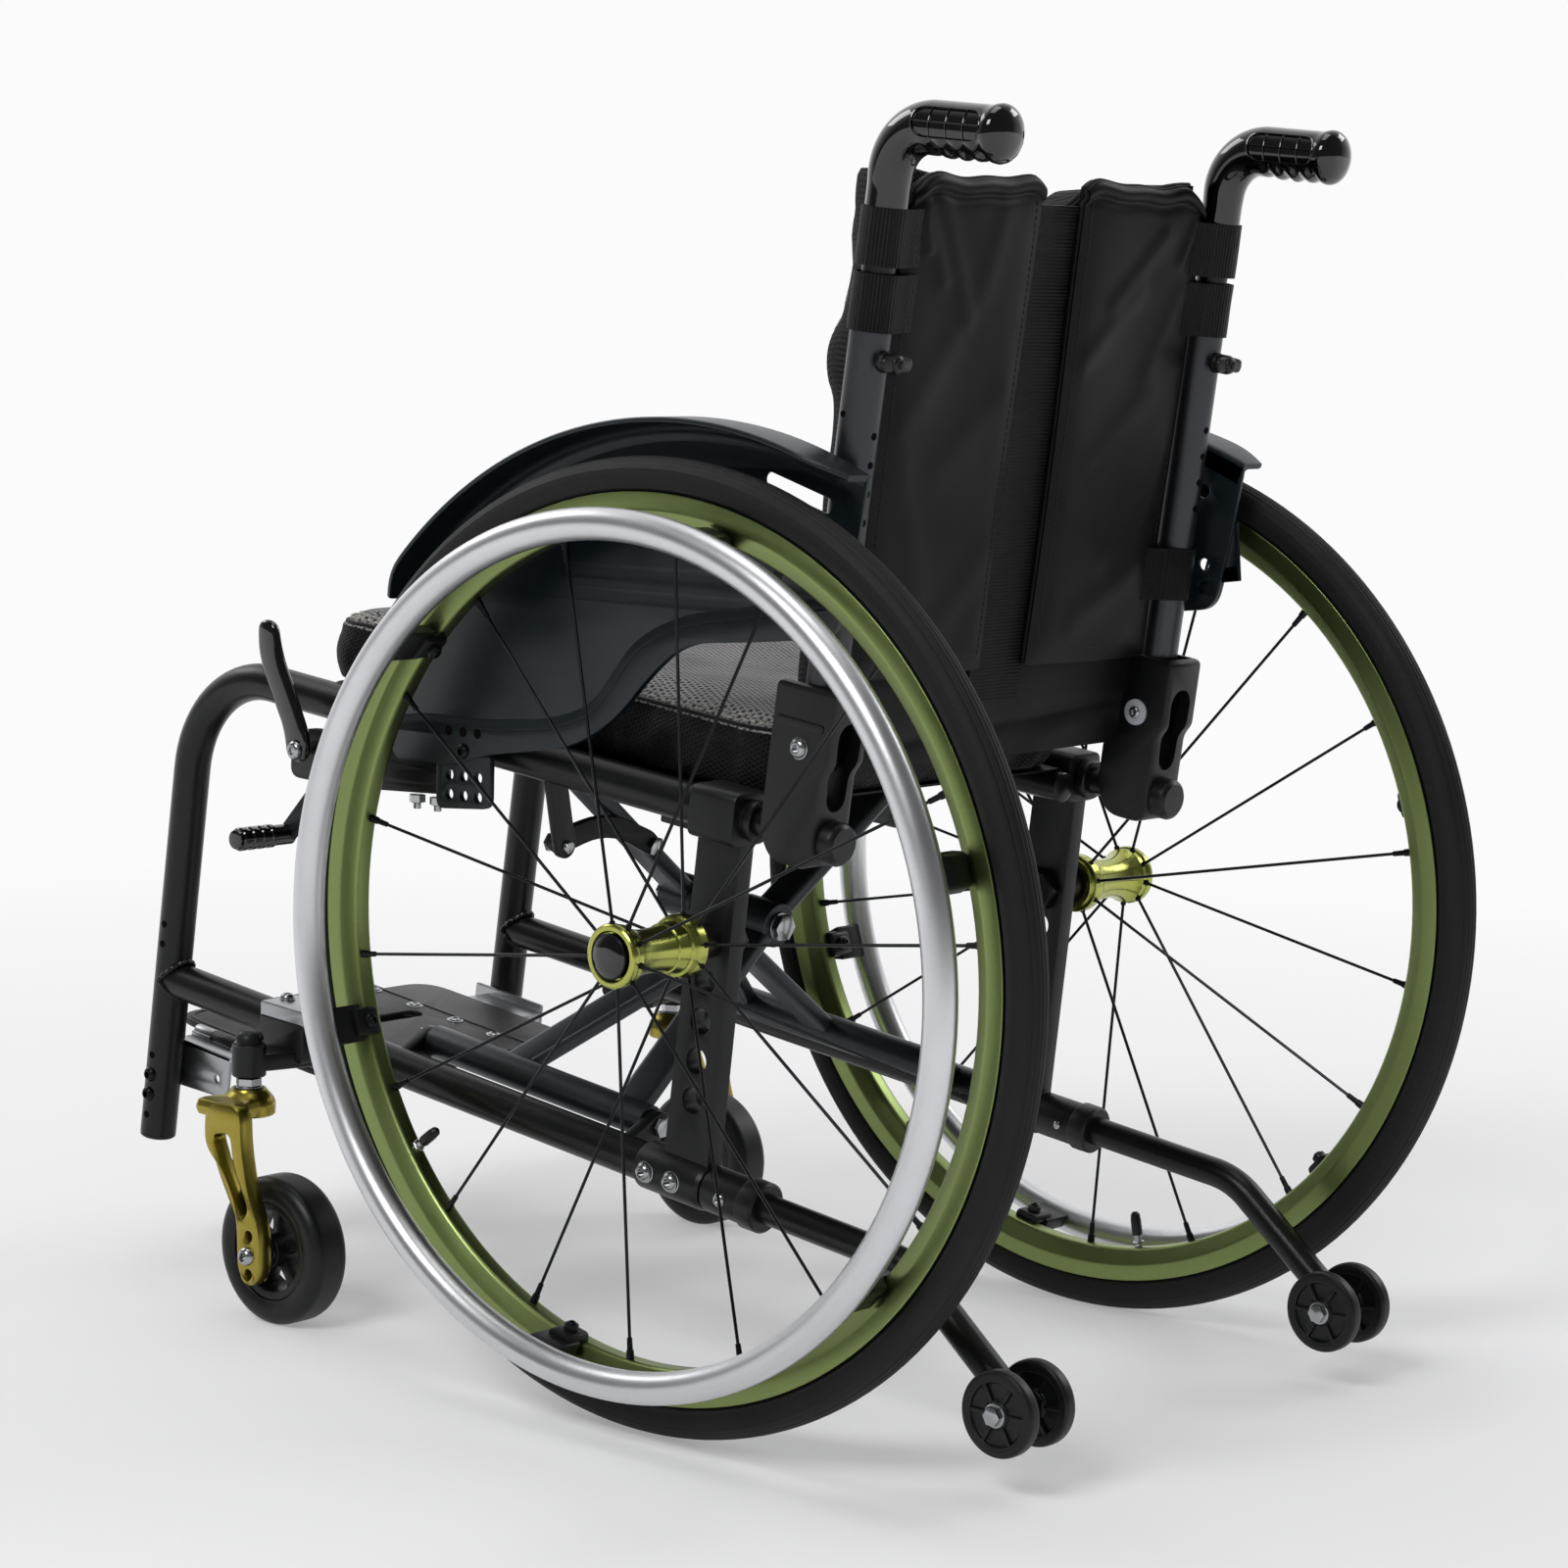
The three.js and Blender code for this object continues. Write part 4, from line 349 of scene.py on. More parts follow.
def plate(loops: Sequence[Loop], axis: Axis, start: float, end: float,
          bevel: float = 0.6) -> Shell:
    """Flat piece with rounded edges, pushed along an axis.

    Args:
        loops: Outer outline, then holes. In (Y, Z) for X, (X, Z) for Y, (X, Y) for Z.
        axis: Axis across the plate.
        start: Lower face along the axis.
        end: Upper face along the axis.
        bevel: Radius of the rounded edges.

    Returns:
        The closed shell.
    """
    deep = (end - start) / 2
    soft = min(bevel, deep * 0.9)
    curve = bpy.data.curves.new("outline", "CURVE")
    curve.dimensions = "2D"
    curve.fill_mode = "BOTH"
    curve.extrude = deep - soft
    curve.bevel_depth = soft
    curve.bevel_resolution = 1
    curve.offset = -soft
    for loop in loops:
        spline = curve.splines.new("POLY")
        spline.points.add(len(loop) - 1)
        for p, (x, y) in zip(spline.points, loop):
            p.co = (x, y, 0, 1)
        spline.use_cyclic_u = True
    holder = linked("outline", curve)
    graph = bpy.context.evaluated_depsgraph_get()
    mesh = bpy.data.meshes.new_from_object(holder.evaluated_get(graph))
    bpy.data.objects.remove(holder)
    bpy.data.curves.remove(curve)
    shell = welded(mesh).moved(z=(start + end) / 2)
    if axis is Axis.Y:
        turn = Matrix(((1, 0, 0, 0), (0, 0, 1, 0), (0, 1, 0, 0), (0, 0, 0, 1)))
        return shell.outward().through(turn)
    return shell.outward().through(placed(axis, 0, 0))


def block(x0: float, x1: float, y0: float, y1: float, z0: float, z1: float,
          bevel: float = 0.8) -> Shell:
    """Box with rounded edges between the given corners."""
    work = bmesh.new()
    bmesh.ops.create_cube(work, size=1)
    for v in work.verts:
        v.co.x = (x0 + x1) / 2 + v.co.x * (x1 - x0)
        v.co.y = (y0 + y1) / 2 + v.co.y * (y1 - y0)
        v.co.z = (z0 + z1) / 2 + v.co.z * (z1 - z0)
    if bevel > 0:
        bmesh.ops.bevel(work, geom=list(work.edges), offset=bevel, segments=2, profile=0.5,
                        affect="EDGES", clamp_overlap=True)
    return skin_of(work).outward()


def route(corners: Sequence[Point], radius: float, steps: int = 12) -> list[Vector]:
    """Path through corners, each rounded to a true bend.

    Args:
        corners: Points in space.
        radius: Bend radius of the path.
        steps: Pieces of each bend.

    Returns:
        The points of the path.
    """
    pts = [Vector(p) for p in corners]
    made = [pts[0]]
    for i in range(1, len(pts) - 1):
        back = (pts[i - 1] - pts[i]).normalized()
        on = (pts[i + 1] - pts[i]).normalized()
        opening = back.angle(on) / 2
        reach = radius / math.tan(opening)
        centre = pts[i] + (back + on).normalized() * (radius / math.sin(opening))
        start, end = pts[i] + back * reach - centre, pts[i] + on * reach - centre
        sweep = start.angle(end)
        for k in range(steps + 1):
            t = k / steps
            made.append(centre + start * (math.sin((1 - t) * sweep) / math.sin(sweep))
                        + end * (math.sin(t * sweep) / math.sin(sweep)))
    made.append(pts[-1])
    return made


def densified(path: Sequence[Vector], step: float) -> list[Vector]:
    """Adds points so that no stretch of a path is longer than step."""
    made = [path[0].copy()]
    for a, b in zip(path, path[1:]):
        parts = max(1, math.ceil((b - a).length / step))
        made += [a.lerp(b, (k + 1) / parts) for k in range(parts)]
    return made


def path_frames(path: Sequence[Vector]) -> list[tuple[Vector, Vector]]:
    """Two cross directions at each point of a path, carried along without twist."""
    frames, side = [], None
    for i in range(len(path)):
        along = (path[min(i + 1, len(path) - 1)] - path[max(i - 1, 0)]).normalized()
        if side is None:
            side = Vector((1, 0, 0)).cross(along)
            if side.length < 1e-6:
                side = Vector((1, 0, 0))
        side = (side - along * side.dot(along)).normalized()
        frames.append((side, along.cross(side)))
    return frames


def loft(rings: Sequence[Sequence[Point]]) -> Shell:
    """Skin drawn over rings of equal count, closed at both ends."""
    count = len(rings[0])
    last = (len(rings) - 1) * count
    faces = grid_faces(len(rings), count, False, True)
    faces += [tuple(range(count))[::-1], tuple(last + i for i in range(count))]
    return Shell([p for ring in rings for p in ring], faces).outward()


def swept(path: Sequence[Vector], section: Callable[[int, float], Loop]) -> Shell:
    """Skin drawn along a path over a changing section.

    Args:
        path: Points of the centre line.
        section: Gives the outline at a point from its number and distance.

    Returns:
        The closed shell.
    """
    rings, distance = [], 0.0
    for i, (p, (u, v)) in enumerate(zip(path, path_frames(path))):
        distance += (p - path[i - 1]).length if i else 0
        rings.append([p + u * a + v * b for a, b in section(i, distance)])
    return loft(rings)


def stepped(path: Sequence[Vector], radii: Sequence[float], segments: int) -> Shell:
    """Round skin along a path with its own radius at each point."""
    return swept(path, lambda i, _: circle(radii[i], count=segments))


def cord_along(path: Sequence[Vector], radius: float) -> Shell:
    """Thin round piping, binding or rib along a path."""
    return stepped(path, [radius] * len(path), 8)


def tube(path: Sequence[Vector], radius: float, segments: int = 32, lip: float = 0.8) -> Shell:
    """Round bar or tube along a path, its two ends slightly rounded."""
    pts = [Vector(p) for p in path]
    start = (pts[1] - pts[0]).normalized() * lip
    end = (pts[-2] - pts[-1]).normalized() * lip
    pts = [pts[0], pts[0] + start, *pts[1:-1], pts[-1] + end, pts[-1]]
    return stepped(pts, [radius - lip, *[radius] * (len(pts) - 2), radius - lip], segments)


def spun(y: float, z: float, degrees: float) -> Matrix:
    """Turn around the crosswise axis through (Y, Z), after which local (0, 0) lies on it."""
    return Matrix.Translation((0, y, z)) @ Matrix.Rotation(math.radians(degrees), 4, "X")


def rod(axis: Axis, radius: float, start: float, end: float, a: float, b: float,
        segments: int = 32, lip: float = 0.6) -> Shell:
    """Turned bar between two positions along an axis, with rounded edges."""
    soft = min(lip, radius * 0.5, abs(end - start) * 0.4)
    profile = [(0, start), (radius - soft, start), (radius - soft * 0.3, start + soft * 0.3),
               (radius, start + soft), (radius, end - soft),
               (radius - soft * 0.3, end - soft * 0.3), (radius - soft, end), (0, end)]
    return lathe(profile, axis, a, b, segments)


def strut(start: Point, end: Point, radius: float, segments: int = 24) -> Shell:
    """Straight round bar between two points."""
    return tube([Vector(start), Vector(end)], radius, segments, min(0.6, radius * 0.4))


def hex_nut(axis: Axis, across: float, start: float, end: float, a: float, b: float) -> Shell:
    """Six-sided nut with chamfered corners: across is the corner radius."""
    flat = across * math.cos(math.pi / 6)
    rise = (across - flat) * 0.6
    low, high = min(start, end), max(start, end)
    profile = [(0, low), (flat - 0.2, low), (across, low + rise), (across, high - rise),
               (flat - 0.2, high), (0, high)]
    return lathe(profile, axis, a, b, 6)


def button_head(axis: Axis, radius: float, face: float, height: float, a: float, b: float,
                way: int = 1) -> Shell:
    """Domed bolt head with a socket in it, standing on a face.

    Args:
        axis: Axis of the bolt.
        radius: Radius of the head.
        face: Where it stands along the axis.
        height: How far it stands proud.
        a: First cross coordinate.
        b: Second cross coordinate.
        way: 1 to stand towards the axis's end, -1 towards its start.

    Returns:
        The closed shell.
    """
    socket = radius * 0.42
    shape = [(0, 0.25), (socket, 0.25), (socket, 0.94), (socket * 1.25, 1.0), (radius * 0.72, 0.88),
             (radius * 0.93, 0.52), (radius, 0.12), (radius, -0.1), (0, -0.1)]
    return lathe([(r, face + way * height * h) for r, h in shape], axis, a, b, 28)


# materials


def linear(code: str) -> tuple[float, float, float, float]:
    """Linear colour of an sRGB hex code such as "#20242a"."""
    values = [int(code[i:i + 2], 16) / 255 for i in (1, 3, 5)]
    r, g, b = (v / 12.92 if v <= 0.04045 else ((v + 0.055) / 1.055) ** 2.4 for v in values)
    return (r, g, b, 1.0)


def add_node(tree: bpy.types.NodeTree, kind: str, inputs: dict | Sequence = (),
             **settings: object) -> bpy.types.Node:
    """Adds a node, sets its properties, and sets or links its inputs.

    Args:
        tree: Node tree of the material or world.
        kind: Blender's node type name without the leading ShaderNode.
        inputs: Value, socket or node for each input, in order, or by name or number. A node
            stands for its first output.
        **settings: Properties of the node itself.

    Returns:
        The new node.
    """
    node = tree.nodes.new("ShaderNode" + kind)
    for key, value in settings.items():
        setattr(node, key, value)
    for key, value in inputs.items() if isinstance(inputs, dict) else enumerate(inputs):
        if isinstance(value, bpy.types.Node):
            value = value.outputs[0]
        if isinstance(value, bpy.types.NodeSocket):
            tree.links.new(value, node.inputs[key])
        else:
            node.inputs[key].default_value = value
    return node


class Grain(Enum):
    """Fine relief of a finish."""

    NONE = "none"
    ORANGE_PEEL = "powder coat or moulded skin"
    BLASTED = "bead-blasted and anodised metal"
    TURNED = "rings left by the lathe"
    RUBBER = "rubber with a matt bloom"
    CAST = "coarse moulded texture"
    WEAVE = "plain woven nylon"
    WEBBING = "ribbed webbing"
    SPACER = "honeycomb spacer mesh"
    RIBBED_MESH = "open ribbed mesh"


@dataclass(frozen=True)
class Finish:
    """One real material.

    Args:
        name: Name of the material.
        colour: Main colour as an sRGB hex code.
        second: Colour of wear and dust, and in fabrics the painted shade between the threads and in the
            holes.
        roughness: Middle roughness.
        spread: How far the roughness wanders either way.
        metallic: 1 for bare or anodised metal.
        grain: Fine relief.
        scale: Size of the relief in millimetres.
        relief: Strength of the relief, 0 to 1.
        coat: Weight of a clear glossy layer.
        sheen: Weight of fabric sheen.
        specular: Specular level of the shader.

    patch_mm and speck_mm are the sizes of the cloudy patches and of the dust in every finish.
    """

    name: str
    colour: str
    second: str
    roughness: float
    spread: float = 0.05
    metallic: float = 0.0
    grain: Grain = Grain.NONE
    scale: float = 1.0
    relief: float = 0.3
    coat: float = 0.0
    sheen: float = 0.0
    specular: float = 0.5
    patch_mm: ClassVar[float] = 71.43
    speck_mm: ClassVar[float] = 2.381

    def build(self) -> bpy.types.Material:
        """Makes the node material once and returns it."""
        found = bpy.data.materials.get(self.name)
        if found:
            return found
        material = bpy.data.materials.new(self.name)
        material.use_nodes = True
        tree = material.node_tree
        tree.nodes.clear()
        where = add_node(tree, "TexCoord").outputs["Object"]
        colour, rough = self.base(tree, where)
        height = None
        if self.grain in (Grain.WEAVE, Grain.WEBBING, Grain.SPACER, Grain.RIBBED_MESH):
            colour, height = self.fabric(tree, colour)
        elif self.grain is not Grain.NONE:
            height = self.relief_of(tree, where)
        shader = add_node(tree, "BsdfPrincipled", {
            "Base Color": colour, "Roughness": rough, "Metallic": self.metallic,
            "Specular IOR Level": self.specular, "Coat Weight": self.coat, "Coat Roughness": 0.06,
            "Sheen Weight": self.sheen, "Sheen Roughness": 0.45})
        if height is not None:
            bump = add_node(tree, "Bump", {"Height": height, "Strength": self.relief,
                                           "Distance": self.scale * MM * 0.5})
            tree.links.new(bump.outputs[0], shader.inputs["Normal"])
        add_node(tree, "OutputMaterial", (shader,))
        return material

    def base(self, tree: bpy.types.NodeTree, where: object) -> tuple:
        """Colour that wanders a little, is worn along edges, and uneven roughness."""
        cloudy = add_node(tree, "TexNoise", {"Vector": where, "Scale": 1000 / self.patch_mm,
                                             "Detail": 4.0})
        patch = add_node(tree, "MapRange", (cloudy, 0.35, 0.7, 0.0, 0.35))
        fine = add_node(tree, "TexNoise", {"Vector": where, "Scale": 1000 / self.speck_mm,
                                           "Detail": 2.0})
        speck = add_node(tree, "MapRange", (fine, 0.55, 0.75, 0.0, 0.3))
        edge = add_node(tree, "NewGeometry").outputs["Pointiness"]
        worn = add_node(tree, "MapRange", (edge, 0.52, 0.62, 0.0, 0.55))
        dusty = add_node(tree, "Math", (patch, speck), operation="ADD")
        share = add_node(tree, "Math", (dusty, worn), operation="MAXIMUM")
        colour = add_node(tree, "Mix", {0: share, 6: linear(self.colour), 7: linear(self.second)},
                          data_type="RGBA").outputs[2]
        low, high = self.roughness - self.spread, self.roughness + self.spread
        return colour, add_node(tree, "MapRange", (cloudy, 0.3, 0.7, low, high))

    def relief_of(self, tree: bpy.types.NodeTree, where: object) -> object:
        """Height of a hard surface's grain."""
        per_metre = 1000.0 / self.scale
        if self.grain is Grain.TURNED:
            wave = add_node(tree, "TexWave", {"Vector": where, "Scale": per_metre / 6.0,
                                              "Distortion": 0.4, "Detail": 1.0},
                            wave_type="BANDS", bands_direction="X")
            return wave.outputs[1]
        if self.grain is Grain.CAST:
            return add_node(tree, "TexVoronoi", {"Vector": where, "Scale": per_metre})
        detail = {Grain.ORANGE_PEEL: 2.0, Grain.BLASTED: 6.0, Grain.RUBBER: 8.0}[self.grain]
        return add_node(tree, "TexNoise", {"Vector": where, "Scale": per_metre, "Detail": detail})

    def fabric(self, tree: bpy.types.NodeTree, colour: object) -> tuple:
        """Colour and height of a fabric, laid out on the piece's fabric map; its colour darkens with
        painted shade where the threads dip and in the holes.
        """
        place = add_node(tree, "SeparateXYZ", (add_node(tree, "UVMap", uv_map="weave"),))
        u, v = (add_node(tree, "Math", (way, self.scale), operation="DIVIDE")
                for way in place.outputs[:2])
        low, high = 0.0, 1.0
        if self.grain is Grain.WEAVE:
            both = add_node(tree, "Math", (self.wave(tree, u, 2), self.wave(tree, v, 2)),
                            operation="MULTIPLY")
            height = add_node(tree, "Math", (both, 0.5, 0.5), operation="MULTIPLY_ADD")
        elif self.grain is Grain.WEBBING:
            rib = add_node(tree, "Math", (self.wave(tree, v, 1),), operation="ABSOLUTE")
            height = add_node(tree, "Math", (self.wave(tree, u, 6), 0.12, rib),
                              operation="MULTIPLY_ADD")
        else:
            low, high = 0.15, 0.6
            height = self.holes(tree, u, v)
        # Low parts of the weave, ribs and holes take the second colour: painted shade
        share = add_node(tree, "MapRange", (height, low, high, 1.0, 0.0))
        return add_node(tree, "Mix", {0: share, 6: colour, 7: linear(self.second)},
                        data_type="RGBA").outputs[2], height

    @staticmethod
    def wave(tree: bpy.types.NodeTree, at: object, halves: float) -> bpy.types.Node:
        """Threads side by side: a sine with the given half turns for each thread."""
        turned = add_node(tree, "Math", (at, halves * math.pi), operation="MULTIPLY")
        return add_node(tree, "Math", (turned,), operation="SINE")

    def holes(self, tree: bpy.types.NodeTree, u: object, v: object) -> object:
        """Distance to the nearest point of a staggered lattice of holes."""
        tall = math.sqrt(3) if self.grain is Grain.SPACER else 0.62
        v = add_node(tree, "Math", (v, tall), operation="DIVIDE")
        nearest = None
        for offset in (0.0, 0.5):
            squares = []
            for at, size in ((u, 1.0), (v, tall)):
                moved = add_node(tree, "Math", (at, offset + 100.0), operation="ADD")
                part = add_node(tree, "Math", (moved,), operation="FRACT")
                off = add_node(tree, "Math", (part, 0.5), operation="SUBTRACT")
                away = add_node(tree, "Math", (off, size), operation="MULTIPLY")
                squares.append(add_node(tree, "Math", (away, away), operation="MULTIPLY"))
            square = add_node(tree, "Math", squares, operation="ADD")
            distance = add_node(tree, "Math", (square,), operation="SQRT")
            nearest = distance if nearest is None else add_node(
                tree, "Math", (nearest, distance), operation="MINIMUM")
        return nearest


# Frame tubes: satin black powder coat, whose orange peel of about 2 mm softens the highlights
POWDER = Finish("powder_coat_black", "#0e0f10", "#18191b", 0.32, 0.05, grain=Grain.ORANGE_PEEL,
                scale=2.2, relief=0.08, specular=0.32)
# Axle plates: black anodised bar, matt, as it was blasted first
ANODISED = Finish("anodised_black", "#121315", "#222427", 0.44, 0.06, 0.3, Grain.BLASTED, 1.0, 0.15)
# Cross brace: dark grey metallic lacquer with one wide soft highlight
BRACE = Finish("metallic_lacquer_grey", "#373a3d", "#4a4d51", 0.36, 0.06, 0.7, Grain.BLASTED, 0.7, 0.12)
# Back posts: graphite metallic lacquer, a shade lighter than the frame beside it
POST = Finish("metallic_lacquer_graphite", "#3d3e41", "#4d4e51", 0.32, 0.05, 0.8, Grain.BLASTED,
              0.7, 0.1)
# Rear rims: lime-green anodising over blasted aluminium, satin and even
RIM = Finish("anodised_green", "#82925a", "#909f68", 0.34, 0.04, 1.0, Grain.BLASTED, 0.8, 0.08)
# Hubs: bright lime-gold anodising; the lathe's rings draw its highlights out
HUB = Finish("anodised_lime_gold", "#a8ad57", "#b9bd6c", 0.2, 0.04, 1.0, Grain.TURNED, 0.5, 0.12)
# Caster forks: olive-gold anodising over tumbled aluminium, with a soft gloss
FORK = Finish("anodised_olive_gold", "#a09240", "#b0a351", 0.3, 0.04, 1.0, Grain.BLASTED, 0.9, 0.1)
# Handrims: brushed and clear-anodised aluminium, pale with long soft highlights
ALUMINIUM = Finish("satin_aluminium", "#dddee0", "#cfd0d3", 0.36, 0.04, 1.0, Grain.BLASTED, 0.6, 0.06)
# Brackets: clear-anodised aluminium plate, greyer and duller than the handrims
BRACKET = Finish("aluminium_plate", "#a9abad", "#b9bbbe", 0.36, 0.05, 1.0, Grain.BLASTED, 1.2, 0.1)
# Screws and bolts: stainless steel, small bright points
STEEL = Finish("stainless_steel", "#a6a8aa", "#bcbdbf", 0.22, 0.04, 1.0)
# Spokes and black screws: black oxide on steel, dark with a low sheen
BLACK_STEEL = Finish("black_oxide_steel", "#161719", "#2a2b2e", 0.32, 0.05, 0.8)
# Axle sleeves: bronze-brown anodising on turned aluminium
SLEEVE = Finish("anodised_bronze", "#4a4340", "#5b5451", 0.3, 0.05, 0.9, Grain.TURNED, 0.8, 0.1)
# Rear tyres: vulcanised rubber; a grey bloom takes its gloss away
TYRE = Finish("tyre_rubber", "#141414", "#1f2020", 0.62, 0.08, grain=Grain.RUBBER, scale=1.4,
              relief=0.25, specular=0.3)
# Caster tyres: cast polyurethane, smoother and a little glossier than rubber
CASTER_RUBBER = Finish("polyurethane_black", "#111213", "#1c1d1e", 0.42, 0.06, grain=Grain.RUBBER,
                       scale=2.0, relief=0.08, specular=0.35)
# Castings, clamps and sockets: glass-filled nylon with the fine texture of its mould
NYLON = Finish("moulded_nylon_black", "#0e0f10", "#1a1b1d", 0.4, 0.06, grain=Grain.CAST,
               scale=0.9, relief=0.08, specular=0.38)
# Footplate: moulded polypropylene; its coarse grip texture breaks the highlights up
FOOT = Finish("moulded_footplate", "#141517", "#202124", 0.46, 0.06, grain=Grain.CAST, scale=1.6,
              relief=0.3, specular=0.4)
# Push grips and brake levers: black plastic from a polished mould, with sharp reflections
GLOSS = Finish("gloss_moulded_black", "#030304", "#060607", 0.06, 0.02, coat=0.7, specular=0.4)
# Side guards: dark teal moulded composite with a satin skin
GUARD = Finish("composite_teal", "#0c171c", "#142329", 0.36, 0.05, grain=Grain.CAST, scale=1.3,
               relief=0.08, specular=0.42)
# Upholstery flaps: black nylon pack cloth in plain weave, which shines softly on its folds; the dips
# between its threads are darkened with painted shade
PACK_CLOTH = Finish("pack_cloth_black", "#0f0f11", "#060607", 0.42, 0.06, grain=Grain.WEAVE,
                    scale=0.9, relief=0.1, specular=0.16)
# Straps and centre band: nylon webbing with ribs 2.2 mm apart; the grooves between the ribs are darkened
# with painted shade
WEBBING = Finish("webbing_black", "#0f0f10", "#040404", 0.5, 0.05, grain=Grain.WEBBING, scale=2.2,
                 relief=0.6, specular=0.2)
# Edges of the upholstery: woven binding tape, matt; the dips between its threads are darkened with painted
# shade
BINDING = Finish("binding_tape", "#0b0b0c", "#040405", 0.6, 0.05, grain=Grain.WEAVE, scale=1.2,
                 relief=0.4, sheen=0.05, specular=0.25)
# Cushion top and front of the backrest: knitted spacer fabric, grey, with painted shade darkening its
# holes. Its cells of about 3 mm are drawn 4.4 mm wide, so that they show
SPACER = Finish("spacer_mesh_grey", "#cac9ca", "#2e2e30", 0.85, 0.05, grain=Grain.SPACER,
                scale=4.4, relief=0.9, sheen=0.1, specular=0.2)
# Cushion sides: black open mesh, whose rows of about 3 mm are drawn coarser, so that they show; its holes
# are darkened with painted shade
SIDE_MESH = Finish("side_mesh_black", "#353436", "#020202", 0.7, 0.05, grain=Grain.RIBBED_MESH,
                   scale=5.4, relief=0.9, sheen=0.05, specular=0.25)
# Stitching: polyester thread, pale grey on the cushion and black elsewhere
THREAD = Finish("thread_grey", "#cdc7bb", "#aba599", 0.75, 0.05, sheen=0.2, specular=0.3)
BLACK_THREAD = Finish("thread_black", "#242425", "#101011", 0.7, 0.05, sheen=0.2, specular=0.3)
# Hinge washers: white nylon
WHITE_NYLON = Finish("white_nylon", "#c9ccd2", "#b9bcc4", 0.45, 0.05, specular=0.4)
# Holes: painted shade, black plugs that stand for the dark inside of open holes
HOLE_SHADE = Finish("dark_recess", "#050505", "#080808", 0.9, 0.02, specular=0.1)


class Piece:
    """One visible piece, gathered from shells that each have a finish.

    Args:
        name: Name of the piece, without its side.
        body: CAD body that it rides on, without its side.
        side: Side that it is on, or None for a piece on the centre plane.
        slot: Material slot of the record that its main finish belongs to; not used.
        half: Half of the chair that its shells lie in, where the name has no side.
    """

    def __init__(self, name: str, body: str, side: Side | None, slot: str,
                 half: Side | None = None) -> None:
        ending = f"_{side.label}" if side else ""
        self.name = name + ending
        self.body = body + (ending if body not in PLAIN_BODIES else "")
        self.side = side
        self.slot = slot
        self.flip = (half or side) is Side.RIGHT
        self.parts: list[tuple[Shell, Finish]] = []

    def add(self, finish: Finish, *shells: Shell, turn: Matrix | None = None) -> "Piece":
        """Adds shells of one finish.

        Args:
            finish: What they are made of.
            *shells: Shells of the left half; they are mirrored for the right one.
            turn: Where their own frame lies in the chair.

        Returns:
            The piece.
        """
        for shell in shells:
            ready = shell if turn is None else shell.through(turn)
            self.parts.append((ready.mirrored() if self.flip else ready, finish))
        return self

    def mesh(self, crease: float = 32) -> bpy.types.Object:
        """Makes the mesh object in the frame's metres.

        Args:
            crease: Angle in degrees above which an edge stays sharp.

        Returns:
            The object, not yet riding on anything.
        """
        points, faces, slots, uvs = [], [], [], []
        finishes: list[Finish] = []
        start = 0
        for shell, finish in self.parts:
            if finish not in finishes:
                finishes.append(finish)
            points.append(shell.points)
            faces += [tuple(start + i for i in f) for f in shell.faces]
            slots += [finishes.index(finish)] * len(shell.faces)
            uvs += shell.uvs if shell.uvs is not None else default_uvs(shell)
            start += len(shell.points)
        where = np.vstack(points) * MM + np.array((0, SHIFT_Y, 0))
        mesh = bpy.data.meshes.new(self.name)
        mesh.from_pydata(where.tolist(), [], faces)
        layer = mesh.uv_layers.new(name="weave")
        flat = [value for face in uvs for corner in face for value in corner]
        layer.data.foreach_set("uv", flat)
        for finish in finishes:
            mesh.materials.append(finish.build())
        mesh.polygons.foreach_set("material_index", slots)
        mesh.polygons.foreach_set("use_smooth", [True] * len(faces))
        mesh.set_sharp_from_angle(angle=math.radians(crease))
        log.info("%s: %d faces", self.name, len(faces))
        obj = linked(self.name, mesh)
        return obj

    def build(self, *replaces: str, crease: float = 32) -> bpy.types.Object:
        """Makes the object, rides it on its body and stands it in for CAD nodes.

        Args:
            *replaces: Names of the nodes without their side.
            crease: Angle in degrees above which an edge stays sharp.

        Returns:
            The object.
        """
        obj = self.mesh(crease)
        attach(obj, self.body)
        ending = f"_{self.side.label}" if self.side else ""
        if replaces:
            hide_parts(*[r if r in PLAIN_NODES else r + ending for r in replaces])
        return obj


PLAIN_BODIES = {"cross_arm_a", "cross_arm_b", "footplate"}
PLAIN_NODES = {"cross_arm_a", "cross_arm_b", "cross_pivot", "footplate", "seat_sling",
               "seat_cushion", "back_upholstery", "foot_bracket_left", "foot_bracket_right"}


def default_uvs(shell: Shell) -> list:
    """Fabric map by the main direction of each face, in millimetres."""
    made = []
    for face in shell.faces:
        p = shell.points[list(face)]
        n = np.abs(np.cross(p[1] - p[0], p[2] - p[0]))
        keep = [(1, 2), (0, 2), (0, 1)][int(np.argmax(n))]
        made.append([(float(q[keep[0]]), float(q[keep[1]])) for q in p])
    return made


def linked(name: str, data: object) -> bpy.types.Object:
    """New object in the scene with the given mesh, lamp or camera."""
    made = bpy.data.objects.new(name, data)
    bpy.context.scene.collection.objects.link(made)
    return made


# chair lines

FRAME_X = 168.0
TUBE_R = 12.5
SEAT_Z, SEAT_SLOPE = 377.2, 0.11
LOW_Z, LOW_SLOPE = 142.5, 0.127
LEG_Y, LEG_Z, LEG_SLOPE = -523.0, 95.0, 0.133
POST_Y, POST_Z, POST_SLOPE = 95.0, 543.0, 0.13
PIVOT_Z = 424.0
AXLE_Z = 297.0
# Seat rails, and the pins of the brace's sleeves right below them
RAIL_X, RAIL_DROP = 141.0, 4.0
# Fold links, in the brace's frame: front face, and the eyes at the hanger and at the arm
LINK_START = {Side.LEFT: -39.6, Side.RIGHT: -3.4}
LINK_TOP, LINK_FOOT = (150, 160), (60, 151)
# Footplate's hinge line, in its own frame
HINGE_X, HINGE_Z = 135, 2.5
